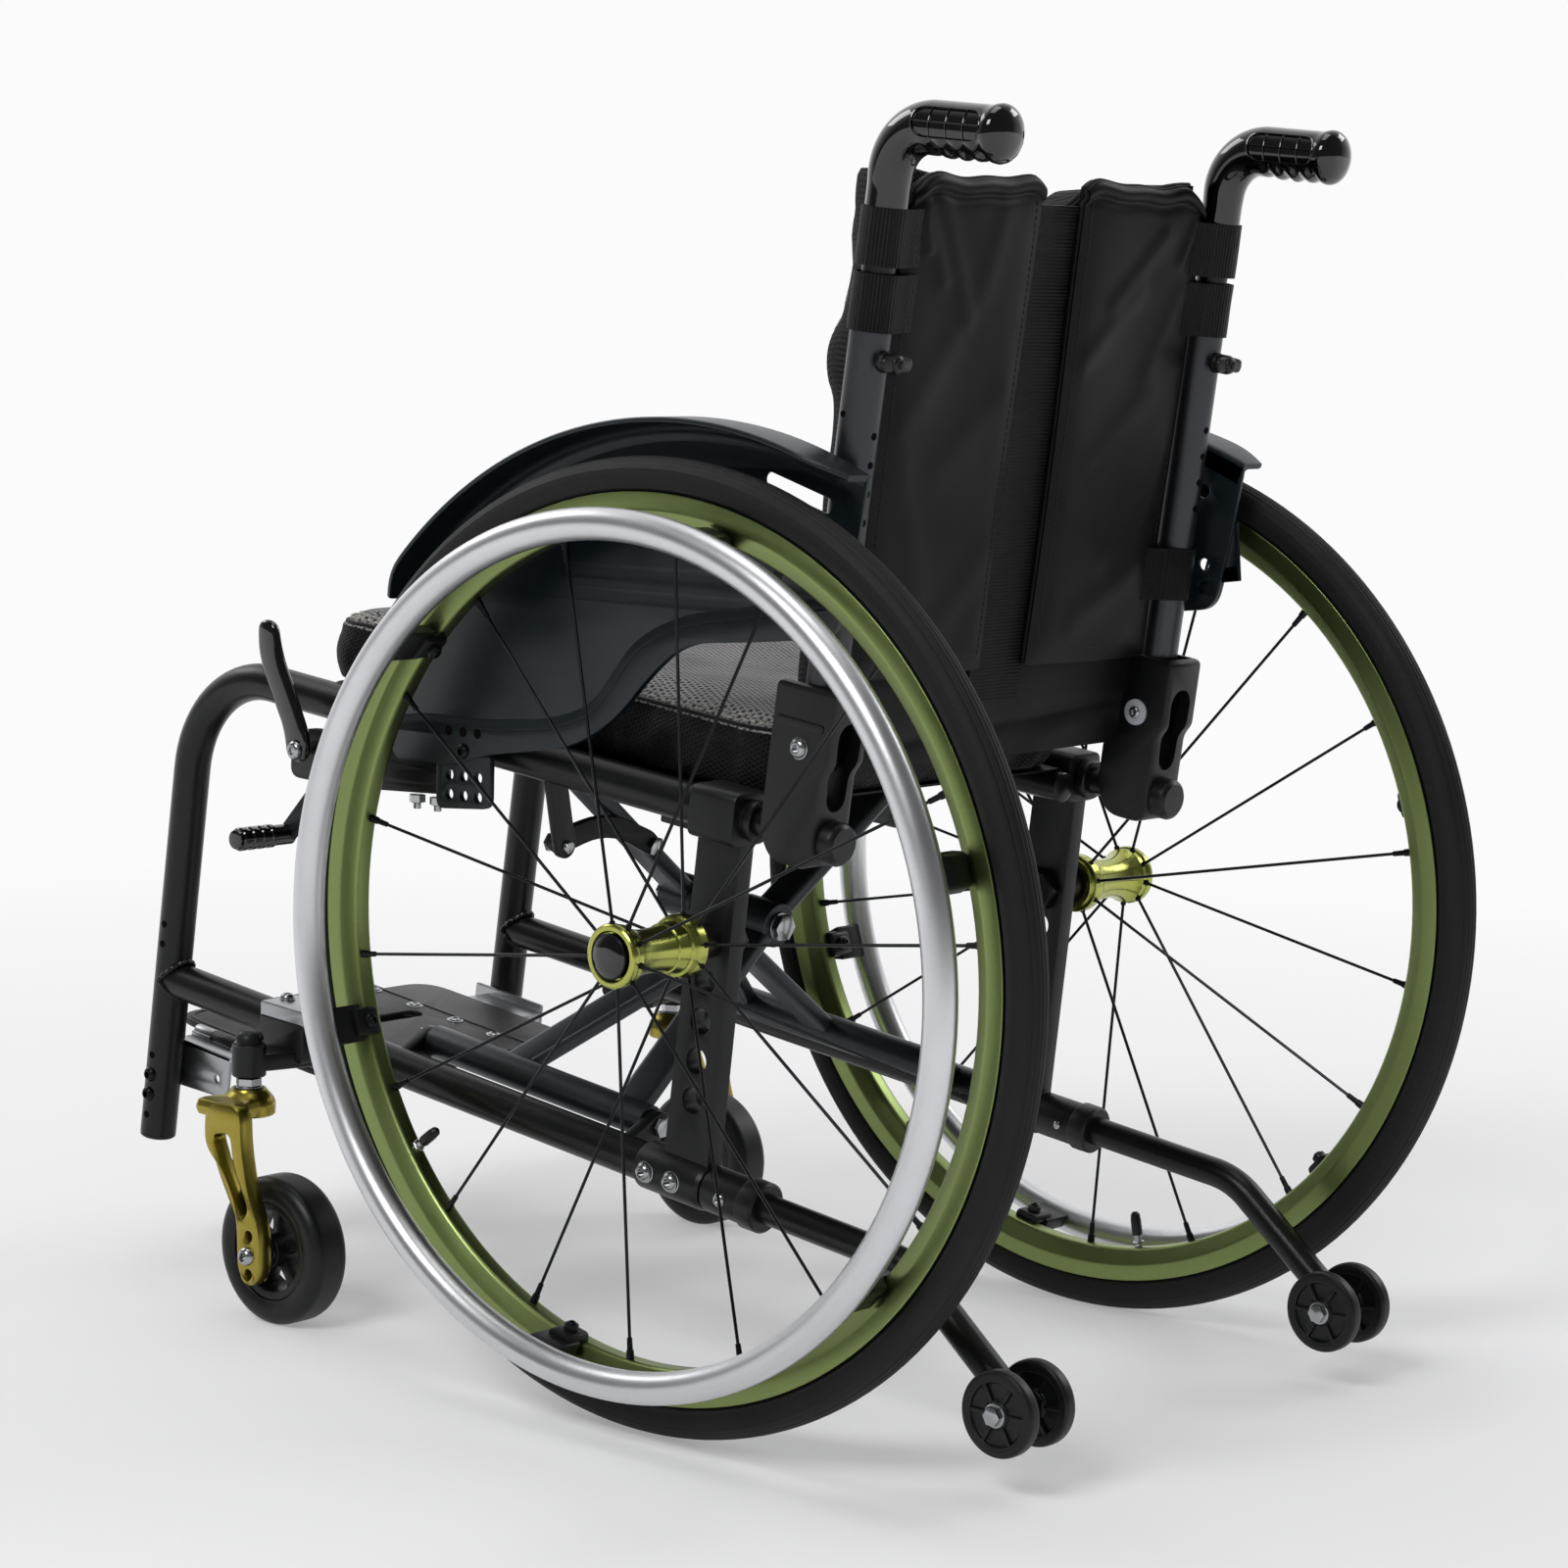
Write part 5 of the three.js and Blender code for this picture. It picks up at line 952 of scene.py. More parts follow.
# Screws of the guard's tab
TAB_SCREWS = (-209, -196, -183)


def seat_line(y: float) -> float:
    """Height of the seat tube's centre line."""
    return SEAT_Z - SEAT_SLOPE * y


def low_line(y: float) -> float:
    """Height of the lower tube's centre line."""
    return LOW_Z - LOW_SLOPE * y


def post_line(z: float) -> float:
    """Y of the back post's centre line."""
    return POST_Y + POST_SLOPE * (z - POST_Z)


def leg_line(z: float) -> float:
    """Y of the front leg's centre line."""
    return LEG_Y + LEG_SLOPE * (z - LEG_Z)


def post_rise(z: float) -> float:
    """Distance up the post from its pivot to a height."""
    return (z - PIVOT_Z) * math.hypot(1, POST_SLOPE)


BRACE_Y = -138.0
BRACE_ANGLE = math.atan(LOW_SLOPE)
BRACE_Z = low_line(BRACE_Y) + 15 / math.cos(BRACE_ANGLE)
ALONG_BRACE = Matrix.Translation((0, BRACE_Y, BRACE_Z)) @ Matrix.Rotation(-BRACE_ANGLE, 4, "X")
ALONG_SEAT = (Matrix.Translation((0, 0, SEAT_Z))
              @ Matrix.Rotation(-math.atan(SEAT_SLOPE), 4, "X"))
ALONG_FOOT = Matrix.Translation((0, -440, 152)) @ Matrix.Rotation(-BRACE_ANGLE, 4, "X")
ALONG_POST = (Matrix.Translation((0, post_line(PIVOT_Z), PIVOT_Z))
              @ Matrix.Rotation(-math.atan(POST_SLOPE), 4, "X"))


def holder_of(shell: Shell) -> bpy.types.Object:
    """Temporary object that holds a shell in millimetres."""
    mesh = bpy.data.meshes.new("carved")
    mesh.from_pydata(shell.points.tolist(), [], shell.faces)
    return linked("carved", mesh)


def carve(body: Shell, *cutters: Shell) -> Shell:
    """Cuts shells out of a shell.

    Args:
        body: What is cut.
        *cutters: Closed shells whose space is taken away.

    Returns:
        What is left.
    """
    holder = holder_of(body)
    tools = [holder_of(c) for c in cutters]
    for tool in tools:
        cut = holder.modifiers.new("cut", "BOOLEAN")
        cut.operation, cut.solver, cut.object = "DIFFERENCE", "EXACT", tool
    graph = bpy.context.evaluated_depsgraph_get()
    mesh = bpy.data.meshes.new_from_object(holder.evaluated_get(graph))
    for used in (holder, *tools):
        data = used.data
        bpy.data.objects.remove(used)
        bpy.data.meshes.remove(data)
    return welded(mesh)


# rear wheels


@dataclass(frozen=True)
class RearWheel:
    """Rear wheel of one side with its handrim, hub, spokes and axle button.

    Args:
        side: Side of the chair.
    """

    side: Side
    x: float = 225.0
    radius: float = 297.0
    rim_radius: float = 276.0
    rim_floor: float = 254.0
    hub_x: float = 262.0
    spoke_count: int = 18
    tab_count: int = 6
    tab_phase: float = 47.5
    handrim_x: float = 268.4
    handrim_radius: float = 257.8
    handrim_tube: float = 10.0
    steps: int = 168

    def turned(self, profile: Sequence[tuple[float, float]]) -> Shell:
        """Lathe around the rear axle, positions measured from the wheel's plane."""
        return lathe([(r, self.x + p) for r, p in profile], Axis.X, 0, AXLE_Z, self.steps)

    def tyre(self) -> Shell:
        """Clincher tyre with moulding ridges and shallow tread grooves."""
        centre = self.radius - 12.6
        section = [(267.2, -8.2), (275.8, -8.4), (277.2, -9.6)]
        for k in range(85):
            t = math.radians(-116 + 232 * k / 84)
            across = 12.5 * math.sin(t)
            depth = sum(0.55 * math.exp(-((abs(across) - g) / 0.45) ** 2) for g in (1.6, 4.4, 7.2))
            ridge = 0.3 * math.exp(-((abs(across) - 11.3) / 0.3) ** 2)
            reach = 12.6 - depth + ridge
            section.append((centre + reach * math.cos(t), across * reach / 12.6))
        section += [(277.2, 9.6), (275.8, 8.4), (267.2, 8.2)]
        return self.turned(section)

    def rim(self) -> Shell:
        """Box-section rim with sloping shoulders."""
        outer = [(self.rim_radius, -11, 0.8), (265, -11, 1.4), (self.rim_floor, -5.6, 2.4)]
        inner = [(self.rim_radius, 9.2, 0.8), (272, 9.4, 0.5), (266.4, 9, 0.6)]
        return self.turned(rounded_loop(doubled(outer) + doubled(inner), 4))

    def around(self, r: float, x: float, angle: float) -> Vector:
        """Point at a radius and an angle round the axle, from +Y towards +Z."""
        t = math.radians(angle)
        return Vector((x, r * math.cos(t), AXLE_Z + r * math.sin(t)))

    def spoke(self, index: int) -> list[Shell]:
        """Straight spoke with its nipple."""
        phase = 7.7 if self.side is Side.LEFT else 10.5
        angle = 360 * index / self.spoke_count + phase
        outer = index % 2 == 1
        foot = self.around(15.8, self.hub_x - (7.5 if outer else 64), angle)
        head = self.around(self.rim_floor + 0.6, self.x + (1.5 if outer else -1.5), angle)
        along = (head - foot).normalized()
        span = (head - foot).length
        wire = tube([foot, head - along * 6], 1.05, 10, 0.3)
        stations = [(14, 1.1), (13.6, 1.7), (6, 1.9), (5.6, 2.35), (3.4, 2.5), (0, 2.6)]
        nipple = stepped([foot + along * (span - back) for back, _ in stations],
                         [r for _, r in stations], 12)
        flange = 19.0 if outer else 18.6
        root = stepped([foot + along * (flange - 15.8 + s) for s in (-1.5, 1.6, 2.2)],
                       (2.0, 1.9, 1.1), 12)
        return [wire, nipple, root]

    def hub(self) -> Shell:
        """Turned hub shell with its two flanges."""
        shape = [
            (0, 4.4), (14.7, 4.4), (14.9, 1.2), (15.6, 0.3), (16.8, 0.0), (18.4, 0.25),
            (19.4, 1.0), (19.8, 2.2), (19.8, 4.6), (19.4, 5.8), (18.6, 6.4), (18.5, 10.4),
            (18.0, 11.2), (16.6, 13.6), (15.2, 17.4), (14.2, 21.6), (13.7, 26.0), (13.5, 32.0),
            (13.8, 38.0), (14.3, 43.0), (14.5, 45.2), (15.5, 45.8), (15.7, 48.6), (16.3, 52.0),
            (16.6, 54.4), (18.3, 55.2), (18.9, 57.0), (19.6, 58.4), (19.8, 59.6), (19.8, 65.6),
            (19.3, 66.6), (17.4, 67.2), (17.1, 68.4), (16.3, 69.0), (6.2, 69.0), (6.0, 102.0),
            (0, 102.0)]
        return lathe([(r, self.hub_x - d) for r, d in shape], Axis.X, 0, AXLE_Z, 72)

    def bearing(self) -> Shell:
        """Dark bearing face between the hub and the axle sleeve."""
        shape = [(0, 68.6), (13.5, 68.6), (13.3, 69.4), (9, 69.7), (0, 69.7)]
        return lathe([(r, self.hub_x - d) for r, d in shape], Axis.X, 0, AXLE_Z, 40)

    def button(self) -> tuple[Shell, Shell]:
        """Domed release cap and the thin ring round it."""
        x = self.hub_x
        cap = [(0, x + 3.7), (5, x + 3.55), (9, x + 3.0), (12, x + 2.0), (13.4, x + 1.1),
               (13.7, x + 0.2), (13.7, x - 1.8), (0, x - 1.8)]
        ring = [(13.1, x + 1.35), (13.5, x + 1.55), (13.95, x + 1.1), (13.95, x - 1.0), (13.1, x - 1.0)]
        return lathe(cap, Axis.X, 0, AXLE_Z, 56), lathe(ring, Axis.X, 0, AXLE_Z, 56)

    def handrim(self) -> Shell:
        """Push ring of round tube."""
        loop = circle(self.handrim_tube, self.handrim_radius, self.handrim_x - self.x, 28)
        return self.turned(loop)

    def clip(self, index: int) -> tuple[list[Shell], list[Shell]]:
        """Clip that joins the handrim to the rim, and its screw."""
        inner = self.x + 11.3
        body = plate([rounded_loop([(-12.5, 251.8, 2), (12.5, 251.8, 2), (10, 262.5, 3),
                                    (-10, 262.5, 3)])], Axis.X, inner, self.handrim_x - 6.2, 1.2)
        waist = plate([rounded_loop([(-8.5, 248.6, 3), (8.5, 248.6, 3), (9.5, 254.5, 2),
                                     (-9.5, 254.5, 2)])], Axis.X, self.x + 1, inner + 8, 1.0)
        boss = rod(Axis.Z, 4.6, 244.6, 250, self.x + 9, 0, 28, 0.8)
        screw = button_head(Axis.Z, 3.2, 244.8, 1.6, self.x + 9, 0, -1)
        turn = spun(0, AXLE_Z, self.tab_phase + 360 * index / self.tab_count)
        return [s.through(turn) for s in (body, waist, boss)], [screw.through(turn)]

    def valve(self) -> tuple[list[Shell], list[Shell]]:
        """Valve stem with its nut, and its plastic cap."""
        angle = 217.2 if self.side is Side.LEFT else 280.0
        at = [self.around(r, self.x, angle) for r in (256, 251.6, 250, 244, 229.6)]
        stem = [strut(at[0], at[3], 2.6, 20), strut(at[1], at[2], 4.4, 6)]
        path = [self.around(r, self.x, angle) for r in (246, 245, 236, 231.5, 229.8)]
        return stem, [stepped(path, (3.2, 3.6, 3.6, 3.1, 1.6), 20)]

    def build(self) -> None:
        """Makes the wheel's pieces and rides them on its bodies."""
        piece = Piece("tyre", "wheel", self.side, "tyre_black")
        piece.add(TYRE, self.tyre()).build("rear_tyre", crease=50)
        rim = Piece("rim", "wheel", self.side, "rim_green").add(RIM, self.rim())
        stem, cap = self.valve()
        rim.add(STEEL, *stem).add(NYLON, *cap)
        rim.build("rear_rim")
        hub = Piece("hub", "wheel", self.side, "hub_lime").add(HUB, self.hub())
        hub.add(NYLON, self.bearing()).build("rear_hub", crease=24)
        spokes = Piece("spokes", "wheel", self.side, "frame_black")
        for i in range(self.spoke_count):
            spokes.add(BLACK_STEEL, *self.spoke(i))
        spokes.build()
        ring = Piece("push_ring", "wheel", self.side, "silver_satin")
        ring.add(ALUMINIUM, self.handrim()).build("handrim")
        clips = Piece("push_ring_clips", "wheel", self.side, "plastic_black")
        for i in range(self.tab_count):
            blocks, screws = self.clip(i)
            clips.add(NYLON, *blocks).add(BLACK_STEEL, *screws)
        clips.build()
        cap_shell, edge = self.button()
        button = Piece("release_cap", "axle_button", self.side, "gloss_black")
        button.add(GLOSS, cap_shell).add(BLACK_STEEL, edge).build("axle_button")


# side frames


@dataclass(frozen=True)
class SideFrame:
    """Bent tube frame of one side with its lugs, clamps, link hanger and axle bar."""

    side: Side
    bend_radius: float = 75.0
    seat_rear: float = 33.0
    low_rear: float = 14.0
    sleeve_front: float = -135.0
    sleeve_rear: float = 62.0

    @property
    def low_front(self) -> float:
        """Height at which the lower tube meets the leg."""
        return low_line(leg_line(207))

    def tubes(self) -> list[Shell]:
        """Front leg and seat tube in one bend, lower tube and stub."""
        corner_z = ((SEAT_Z - SEAT_SLOPE * (LEG_Y - LEG_SLOPE * LEG_Z))
                    / (1 + SEAT_SLOPE * LEG_SLOPE))
        bend = route([(FRAME_X, LEG_Y, LEG_Z), (FRAME_X, leg_line(corner_z), corner_z),
                      (FRAME_X, self.seat_rear, seat_line(self.seat_rear))], self.bend_radius, 18)
        low = [(FRAME_X, leg_line(self.low_front), self.low_front),
               (FRAME_X, self.low_rear, low_line(self.low_rear))]
        stub = strut((FRAME_X, 20, seat_line(20)), (FRAME_X, 92, seat_line(92)), 9, 28)
        return [tube(bend, TUBE_R, 40), tube(low, TUBE_R, 40), stub]

    def weld(self) -> Shell:
        """Rippled bead where the lower tube meets the leg."""
        path, count = [], 72
        for i in range(count + 1):
            t = 2 * math.pi * i / count
            z = self.low_front + (TUBE_R + 0.6) * math.sin(t)
            y = leg_line(z) + (TUBE_R - 0.2) * abs(math.sin(t)) + 0.6
            path.append(Vector((FRAME_X + (TUBE_R + 0.4) * math.cos(t), y, z)))
        return stepped(path, [2.0 + 0.35 * math.sin(i * 2.4) for i in range(count + 1)], 10)

    def leg_details(self) -> tuple[Shell, list[Shell], list[Shell]]:
        """Foot plug, black bolts and black plugs of painted shade for the leg's holes."""
        foot = Vector((FRAME_X, LEG_Y, LEG_Z))
        along = Vector((0, LEG_SLOPE, 1)).normalized()
        plug = stepped([foot - along * s for s in (-4, -0.2, 1.2, 2.2, 2.6)],
                       (11, 12.3, 12.3, 11.2, 8), 36)
        bolts = [button_head(Axis.X, 5.2, FRAME_X + TUBE_R - 0.4, 3.2, leg_line(z), z)
                 for z in (139, 125)]
        # Black plugs of painted shade stand for the leg's open holes
        holes = [rod(Axis.X, 2.6, FRAME_X + 9, FRAME_X + TUBE_R + 0.04, leg_line(z), z, 20, 0.05)
                 for z in (247, 233, 153, 110)]
        return plug, bolts, holes

    def brace_lugs(self) -> tuple[list[Shell], list[Shell]]:
        """Lugs that hold the pin of the cross brace, and the pin's nuts."""
        front, rear = self.sleeve_front - 0.3, self.sleeve_rear + 0.3
        lug = link_loop((FRAME_X, -15), 9, (RAIL_X, 0), 9)
        lugs = [plate([lug], Axis.Y, front - 9, front, 1), plate([lug], Axis.Y, rear, rear + 9, 1)]
        pin = rod(Axis.Y, 5, front - 4, rear + 4, RAIL_X, 0)
        nuts = [hex_nut(Axis.Y, 7, front - 13, front - 9, RAIL_X, 0),
                hex_nut(Axis.Y, 7, rear + 9, rear + 13, RAIL_X, 0)]
        return lugs, [pin, *nuts]

    def cradles(self) -> list[Shell]:
        """Moulded saddles that the seat rails drop into."""
        made = []
        for y in (-300, -40):
            loop = rounded_loop([(128, -19, 2), (162, -19, 2), (162, -6, 2), (153.5, -6, 1)])
            loop += [(RAIL_X + 10.4 * math.cos(t), -4 + 10.4 * math.sin(t))
                     for t in np.linspace(math.radians(-12), math.radians(-168), 12)]
            loop += [(128.5, -6)]
            made.append(plate([loop], Axis.Y, y - 12, y + 12, 0.8))
        return made

    def link_hanger(self) -> tuple[Shell, list[Shell]]:
        """Plate under the seat tube that holds the fold link, and its pin."""
        s, (x, z) = LINK_START[self.side], LINK_TOP
        left = self.side is Side.LEFT
        start = s + 6.4 if left else s - 6.4
        hanger = plate([link_loop((165, 206), 8, LINK_TOP, 8)], Axis.Y, start, start + 6, 1)
        ends, nut = ((s, start + 9), s - 3.5) if left else ((start, s + 6), s + 6)
        return hanger, [rod(Axis.Y, 4, *ends, x, z), hex_nut(Axis.Y, 6.5, nut, nut + 3.5, x, z)]

    def axle_plate(self) -> tuple[list[Shell], list[Shell], list[Shell]]:
        """Drilled bar between the tubes, its clamps and the axle sleeve."""
        low, high = low_line(-16) - AXLE_Z, seat_line(8) - AXLE_Z
        outline = rounded_loop([(-18.5, low, 2), (18.5, low, 2), (17.5, high, 2), (-17.5, high, 2)])
        holes = [circle(8, 0, -25.4 * i, 28)[::-1] for i in range(1, 5)]
        lean = spun(0, AXLE_Z, -math.degrees(math.atan(SEAT_SLOPE)))
        bar = plate([outline, *holes], Axis.X, FRAME_X - 6.5, FRAME_X + 6.5, 0.9).through(lean)
        sleeve = [
            lathe([(6.3, 192), (9.6, 192), (10.5, 191.2), (10.5, 186.4), (9.9, 186), (9.9, 185),
                   (10.5, 184.6), (10.5, 175), (10.5, 158), (6.3, 158)], Axis.X, 0, AXLE_Z, 48),
            hex_nut(Axis.X, 15, 153, 161, 0, AXLE_Z)]
        return [bar, self.saddle()], [self.foot_clamp()], sleeve

    def foot_clamp(self) -> Shell:
        """Round clamp that holds the axle bar on the lower tube."""
        path = [Vector((FRAME_X, y, low_line(y))) for y in (-52, -51, -50, -2, 0, 2)]
        return stepped(path, (14.2, 15.2, 15.6, 15.6, 15.2, 14.2), 40)

    def clamp_bolts(self) -> list[Shell]:
        """Two bright bolts of the lower clamp with their washers."""
        made = []
        for y in (-41, -19):
            face = FRAME_X + 15.0
            made.append(rod(Axis.X, 7.0, face - 0.6, face + 0.9, y, low_line(y), 28, 0.3))
            made.append(button_head(Axis.X, 6.2, face + 0.9, 4.0, y, low_line(y)))
        return made

    def saddle(self) -> Shell:
        """Moulded saddle that holds the axle bar under the seat tube."""
        w = 16.6
        loop = rounded_loop([(FRAME_X - w, -w, 7), (FRAME_X + w, -w, 7), (FRAME_X + w, w, 7),
                             (FRAME_X - w, w, 7)])
        return plate([loop], Axis.Y, -10, 27, 1.4).through(ALONG_SEAT)

    def cap_ring(self) -> Shell:
        """Closing ring at the end of the seat tube, before the stub."""
        at = [Vector((FRAME_X, y, seat_line(y))) for y in (30, 31, 35, 36)]
        return stepped(at, (12.6, 13.1, 13.1, 12.2), 36)

    def build(self) -> None:
        """Makes the frame's pieces and rides them on their body."""
        plug, bolts, holes = self.leg_details()
        lugs, pins = self.brace_lugs()
        hanger, hanger_pin = self.link_hanger()
        piece = Piece("frame_tubes", "frame", self.side, "frame_black")
        piece.add(POWDER, *self.tubes(), self.weld()).add(POWDER, *lugs, hanger, turn=ALONG_BRACE)
        piece.add(NYLON, plug).add(NYLON, *self.cradles(), turn=ALONG_SEAT)
        piece.add(NYLON, self.cap_ring()).add(BLACK_STEEL, *bolts)
        piece.add(STEEL, *pins, *hanger_pin, turn=ALONG_BRACE).add(HOLE_SHADE, *holes)
        piece.build("side_frame")
        bars, clamps, sleeve = self.axle_plate()
        piece = Piece("axle_bar", "frame", self.side, "frame_black")
        piece.add(ANODISED, *bars).add(NYLON, *clamps).add(STEEL, *self.clamp_bolts())
        piece.add(SLEEVE, sleeve[0]).add(BLACK_STEEL, sleeve[1])
        piece.build("axle_plate")


# casters


@dataclass(frozen=True)
class Caster:
    """Front caster of one side: housing on the frame, fork and small wheel."""

    side: Side
    x: float = 210.0
    stem_y: float = -380.0
    axle_y: float = -344.5
    radius: float = 50.0
    width: float = 31.0

    def housing(self) -> tuple[list[Shell], list[Shell], list[Shell]]:
        """Clamp on the tube, arm and bearing boss; bright block; cap and bolts."""
        y = -377.0
        z = low_line(y)
        w = TUBE_R + 4
        clamp = plate([rounded_loop([(y - 22, z - 19, 5), (y + 22, z - 21, 5), (y + 22, z + 6, 3),
                                     (y - 22, z + 9, 3)])], Axis.X, FRAME_X - w, FRAME_X + w, 1.6)
        bright = plate([rounded_loop([(y - 21.5, z + 4, 1), (y + 21.5, z + 1, 1),
                                      (y + 21.5, z + 15, 3), (y - 21.5, z + 18, 3)])],
                       Axis.X, FRAME_X - w + 0.5, FRAME_X + w - 0.5, 1.0)
        arm = plate([rounded_loop([(FRAME_X - 10, y - 18, 6), (self.x, self.stem_y - 12, 10),
                                   (self.x + 7, self.stem_y, 8), (self.x, self.stem_y + 12, 10),
                                   (FRAME_X - 10, y + 22, 6)])], Axis.Z, 166, 178, 2.2)
        boss = lathe([(0, 162), (10.6, 162), (11.5, 163), (11.5, 183), (10.6, 184), (0, 184)],
                     Axis.Z, self.x, self.stem_y, 48)
        cap = lathe([(0, 183.5), (9.7, 183.5), (9.8, 184.6), (8.6, 185.4), (8.6, 186.2), (9.7, 186.9),
                     (9.6, 188.4), (8.4, 191.0), (5.6, 193.2), (0, 193.9)],
                    Axis.Z, self.x, self.stem_y, 40)
        bolts = []
        for d in (-12, 10):
            top = z + 17.2 - d * LOW_SLOPE
            bolts.append(rod(Axis.Z, 5.6, top - 2, top - 0.6, FRAME_X, y + d, 24, 0.3))
            bolts.append(button_head(Axis.Z, 5.0, top - 0.6, 3.6, FRAME_X, y + d))
        return [clamp, arm, boss, cap], [bright], bolts

    def fork(self) -> list[Shell]:
        """One-sided fork with its slot and crown."""
        y = self.axle_y
        leg = rounded_loop([
            (y - 45, 118, 9), (y - 45, 148.5, 16), (y - 8.5, 149.5, 14), (y - 8, 124, 16),
            (y - 1, 92, 14), (y + 11, 70, 12), (y + 11, 38, 12), (y, 26.5, 10), (y - 11, 38, 12),
            (y - 13, 78, 14), (y - 27, 102, 14)], steps=6)
        slot = rounded_loop([(y - 36, 126, 5), (y - 20, 129, 6), (y - 16, 108, 9), (y - 1, 80, 5),
                             (y - 7, 73, 5), (y - 26, 104, 9)], steps=5)
        holes = [circle(3.1, y, 50 + d, 18) for d in (13, -13)]
        plate_shell = plate([leg, slot[::-1], *[h[::-1] for h in holes]], Axis.X, 229, 242, 3.2)
        bridge = plate([rounded_loop([(self.x - 15, self.stem_y - 15, 10), (236, self.stem_y - 21, 7),
                                      (241.6, self.stem_y - 18, 5), (241.6, self.stem_y + 16, 5),
                                      (236, self.stem_y + 20, 7), (self.x - 15, self.stem_y + 15, 10)])],
                       Axis.Z, 137, 149.2, 5.0)
        crown = lathe([(0, 136.2), (16.8, 136.2), (18, 137.4), (18.2, 142.5), (17.9, 145.2),
                       (16.8, 147.8), (15, 150.2), (13.2, 152), (12.2, 153.2), (11.8, 154.2),
                       (0, 154.2)],
                      Axis.Z, self.x, self.stem_y, 56)
        return [plate_shell, bridge, crown]

    def hardware(self) -> tuple[list[Shell], list[Shell]]:
        """Bright stem nut, seal and axle bolt."""
        nut = hex_nut(Axis.Z, 8.9, 155.4, 161.4, self.x, self.stem_y)
        washer = rod(Axis.Z, 8.8, 154.0, 155.6, self.x, self.stem_y, 32, 0.4)
        stem = rod(Axis.Z, 5, 152, 180, self.x, self.stem_y)
        head = button_head(Axis.X, 6.4, 241.8, 4.8, self.axle_y, 50)
        axle = rod(Axis.X, 4, self.x - 20, 242, self.axle_y, 50)
        end = hex_nut(Axis.X, 7, self.x - 23, self.x - 17.4, self.axle_y, 50)
        washers = [rod(Axis.X, 6.6, 226.6, 229.2, self.axle_y, 50, 28, 0.3),
                   rod(Axis.X, 7.4, self.x - 17.6, self.x - 16, self.axle_y, 50, 28, 0.3)]
        seal = rod(Axis.Z, 10.6, 153.6, 154.7, self.x, self.stem_y, 40, 0.3)
        return [nut, washer, stem, head, axle, end, *washers], [seal]

    def core(self) -> tuple[list[Shell], list[Shell]]:
        """Spoked plastic core with its bearings."""
        w = self.width / 2
        axle = (Axis.X, self.axle_y, self.radius)
        rim = ring_of([(27.6, w - 3.5, 1), (33, w - 3, 1)], self.x, *axle, 64)
        hub = ring_of([(7.4, w - 1, 0.6), (11, w - 1, 1)], self.x, *axle, 40)
        bearings = [ring_of([(4.2, 1.4, 0.3), (7.5, 1.4, 0.3)], self.x + s * (w - 2), *axle, 32, 2)
                    for s in (-1, 1)]
        web = rounded_loop(doubled([(9, 5, 1), (16, 3.4, 3), (22, 3.8, 3), (29, 7, 1)]))
        arms = [plate([web], Axis.X, self.x - 6.5, self.x + 6.5, 1.2).through(
            spun(self.axle_y, self.radius, 90 + 72 * i)) for i in range(5)]
        return [rim, hub, *arms], bearings

    def tyre(self) -> Shell:
        """Solid tyre with a flat tread and round shoulders."""
        w, r = self.width / 2, self.radius
        return ring_of([(33.3, w - 2, 1), (39, w, 3), (45, w - 0.6, 6), (r, w - 5, 6)], self.x,
                       Axis.X, self.axle_y, r, 112, 6)

    def build(self) -> None:
        """Makes the caster's pieces and rides them on their bodies."""
        dark, bright, bolts = self.housing()
        piece = Piece("caster_clamp", "frame", self.side, "plastic_black")
        piece.add(NYLON, *dark).add(BRACKET, *bright).add(STEEL, *bolts).build("caster_housing")
        steel, seal = self.hardware()
        piece = Piece("fork", "caster_fork", self.side, "fork_gold").add(FORK, *self.fork())
        piece.add(STEEL, *steel).add(NYLON, *seal).build("caster_fork")
        plastic, bearings = self.core()
        piece = Piece("caster_centre", "caster_wheel", self.side, "plastic_black")
        piece.add(NYLON, *plastic).add(STEEL, *bearings).build("caster_core")
        piece = Piece("caster_tread", "caster_wheel", self.side, "tyre_black")
        piece.add(CASTER_RUBBER, self.tyre()).build("caster_tyre")


# cross brace


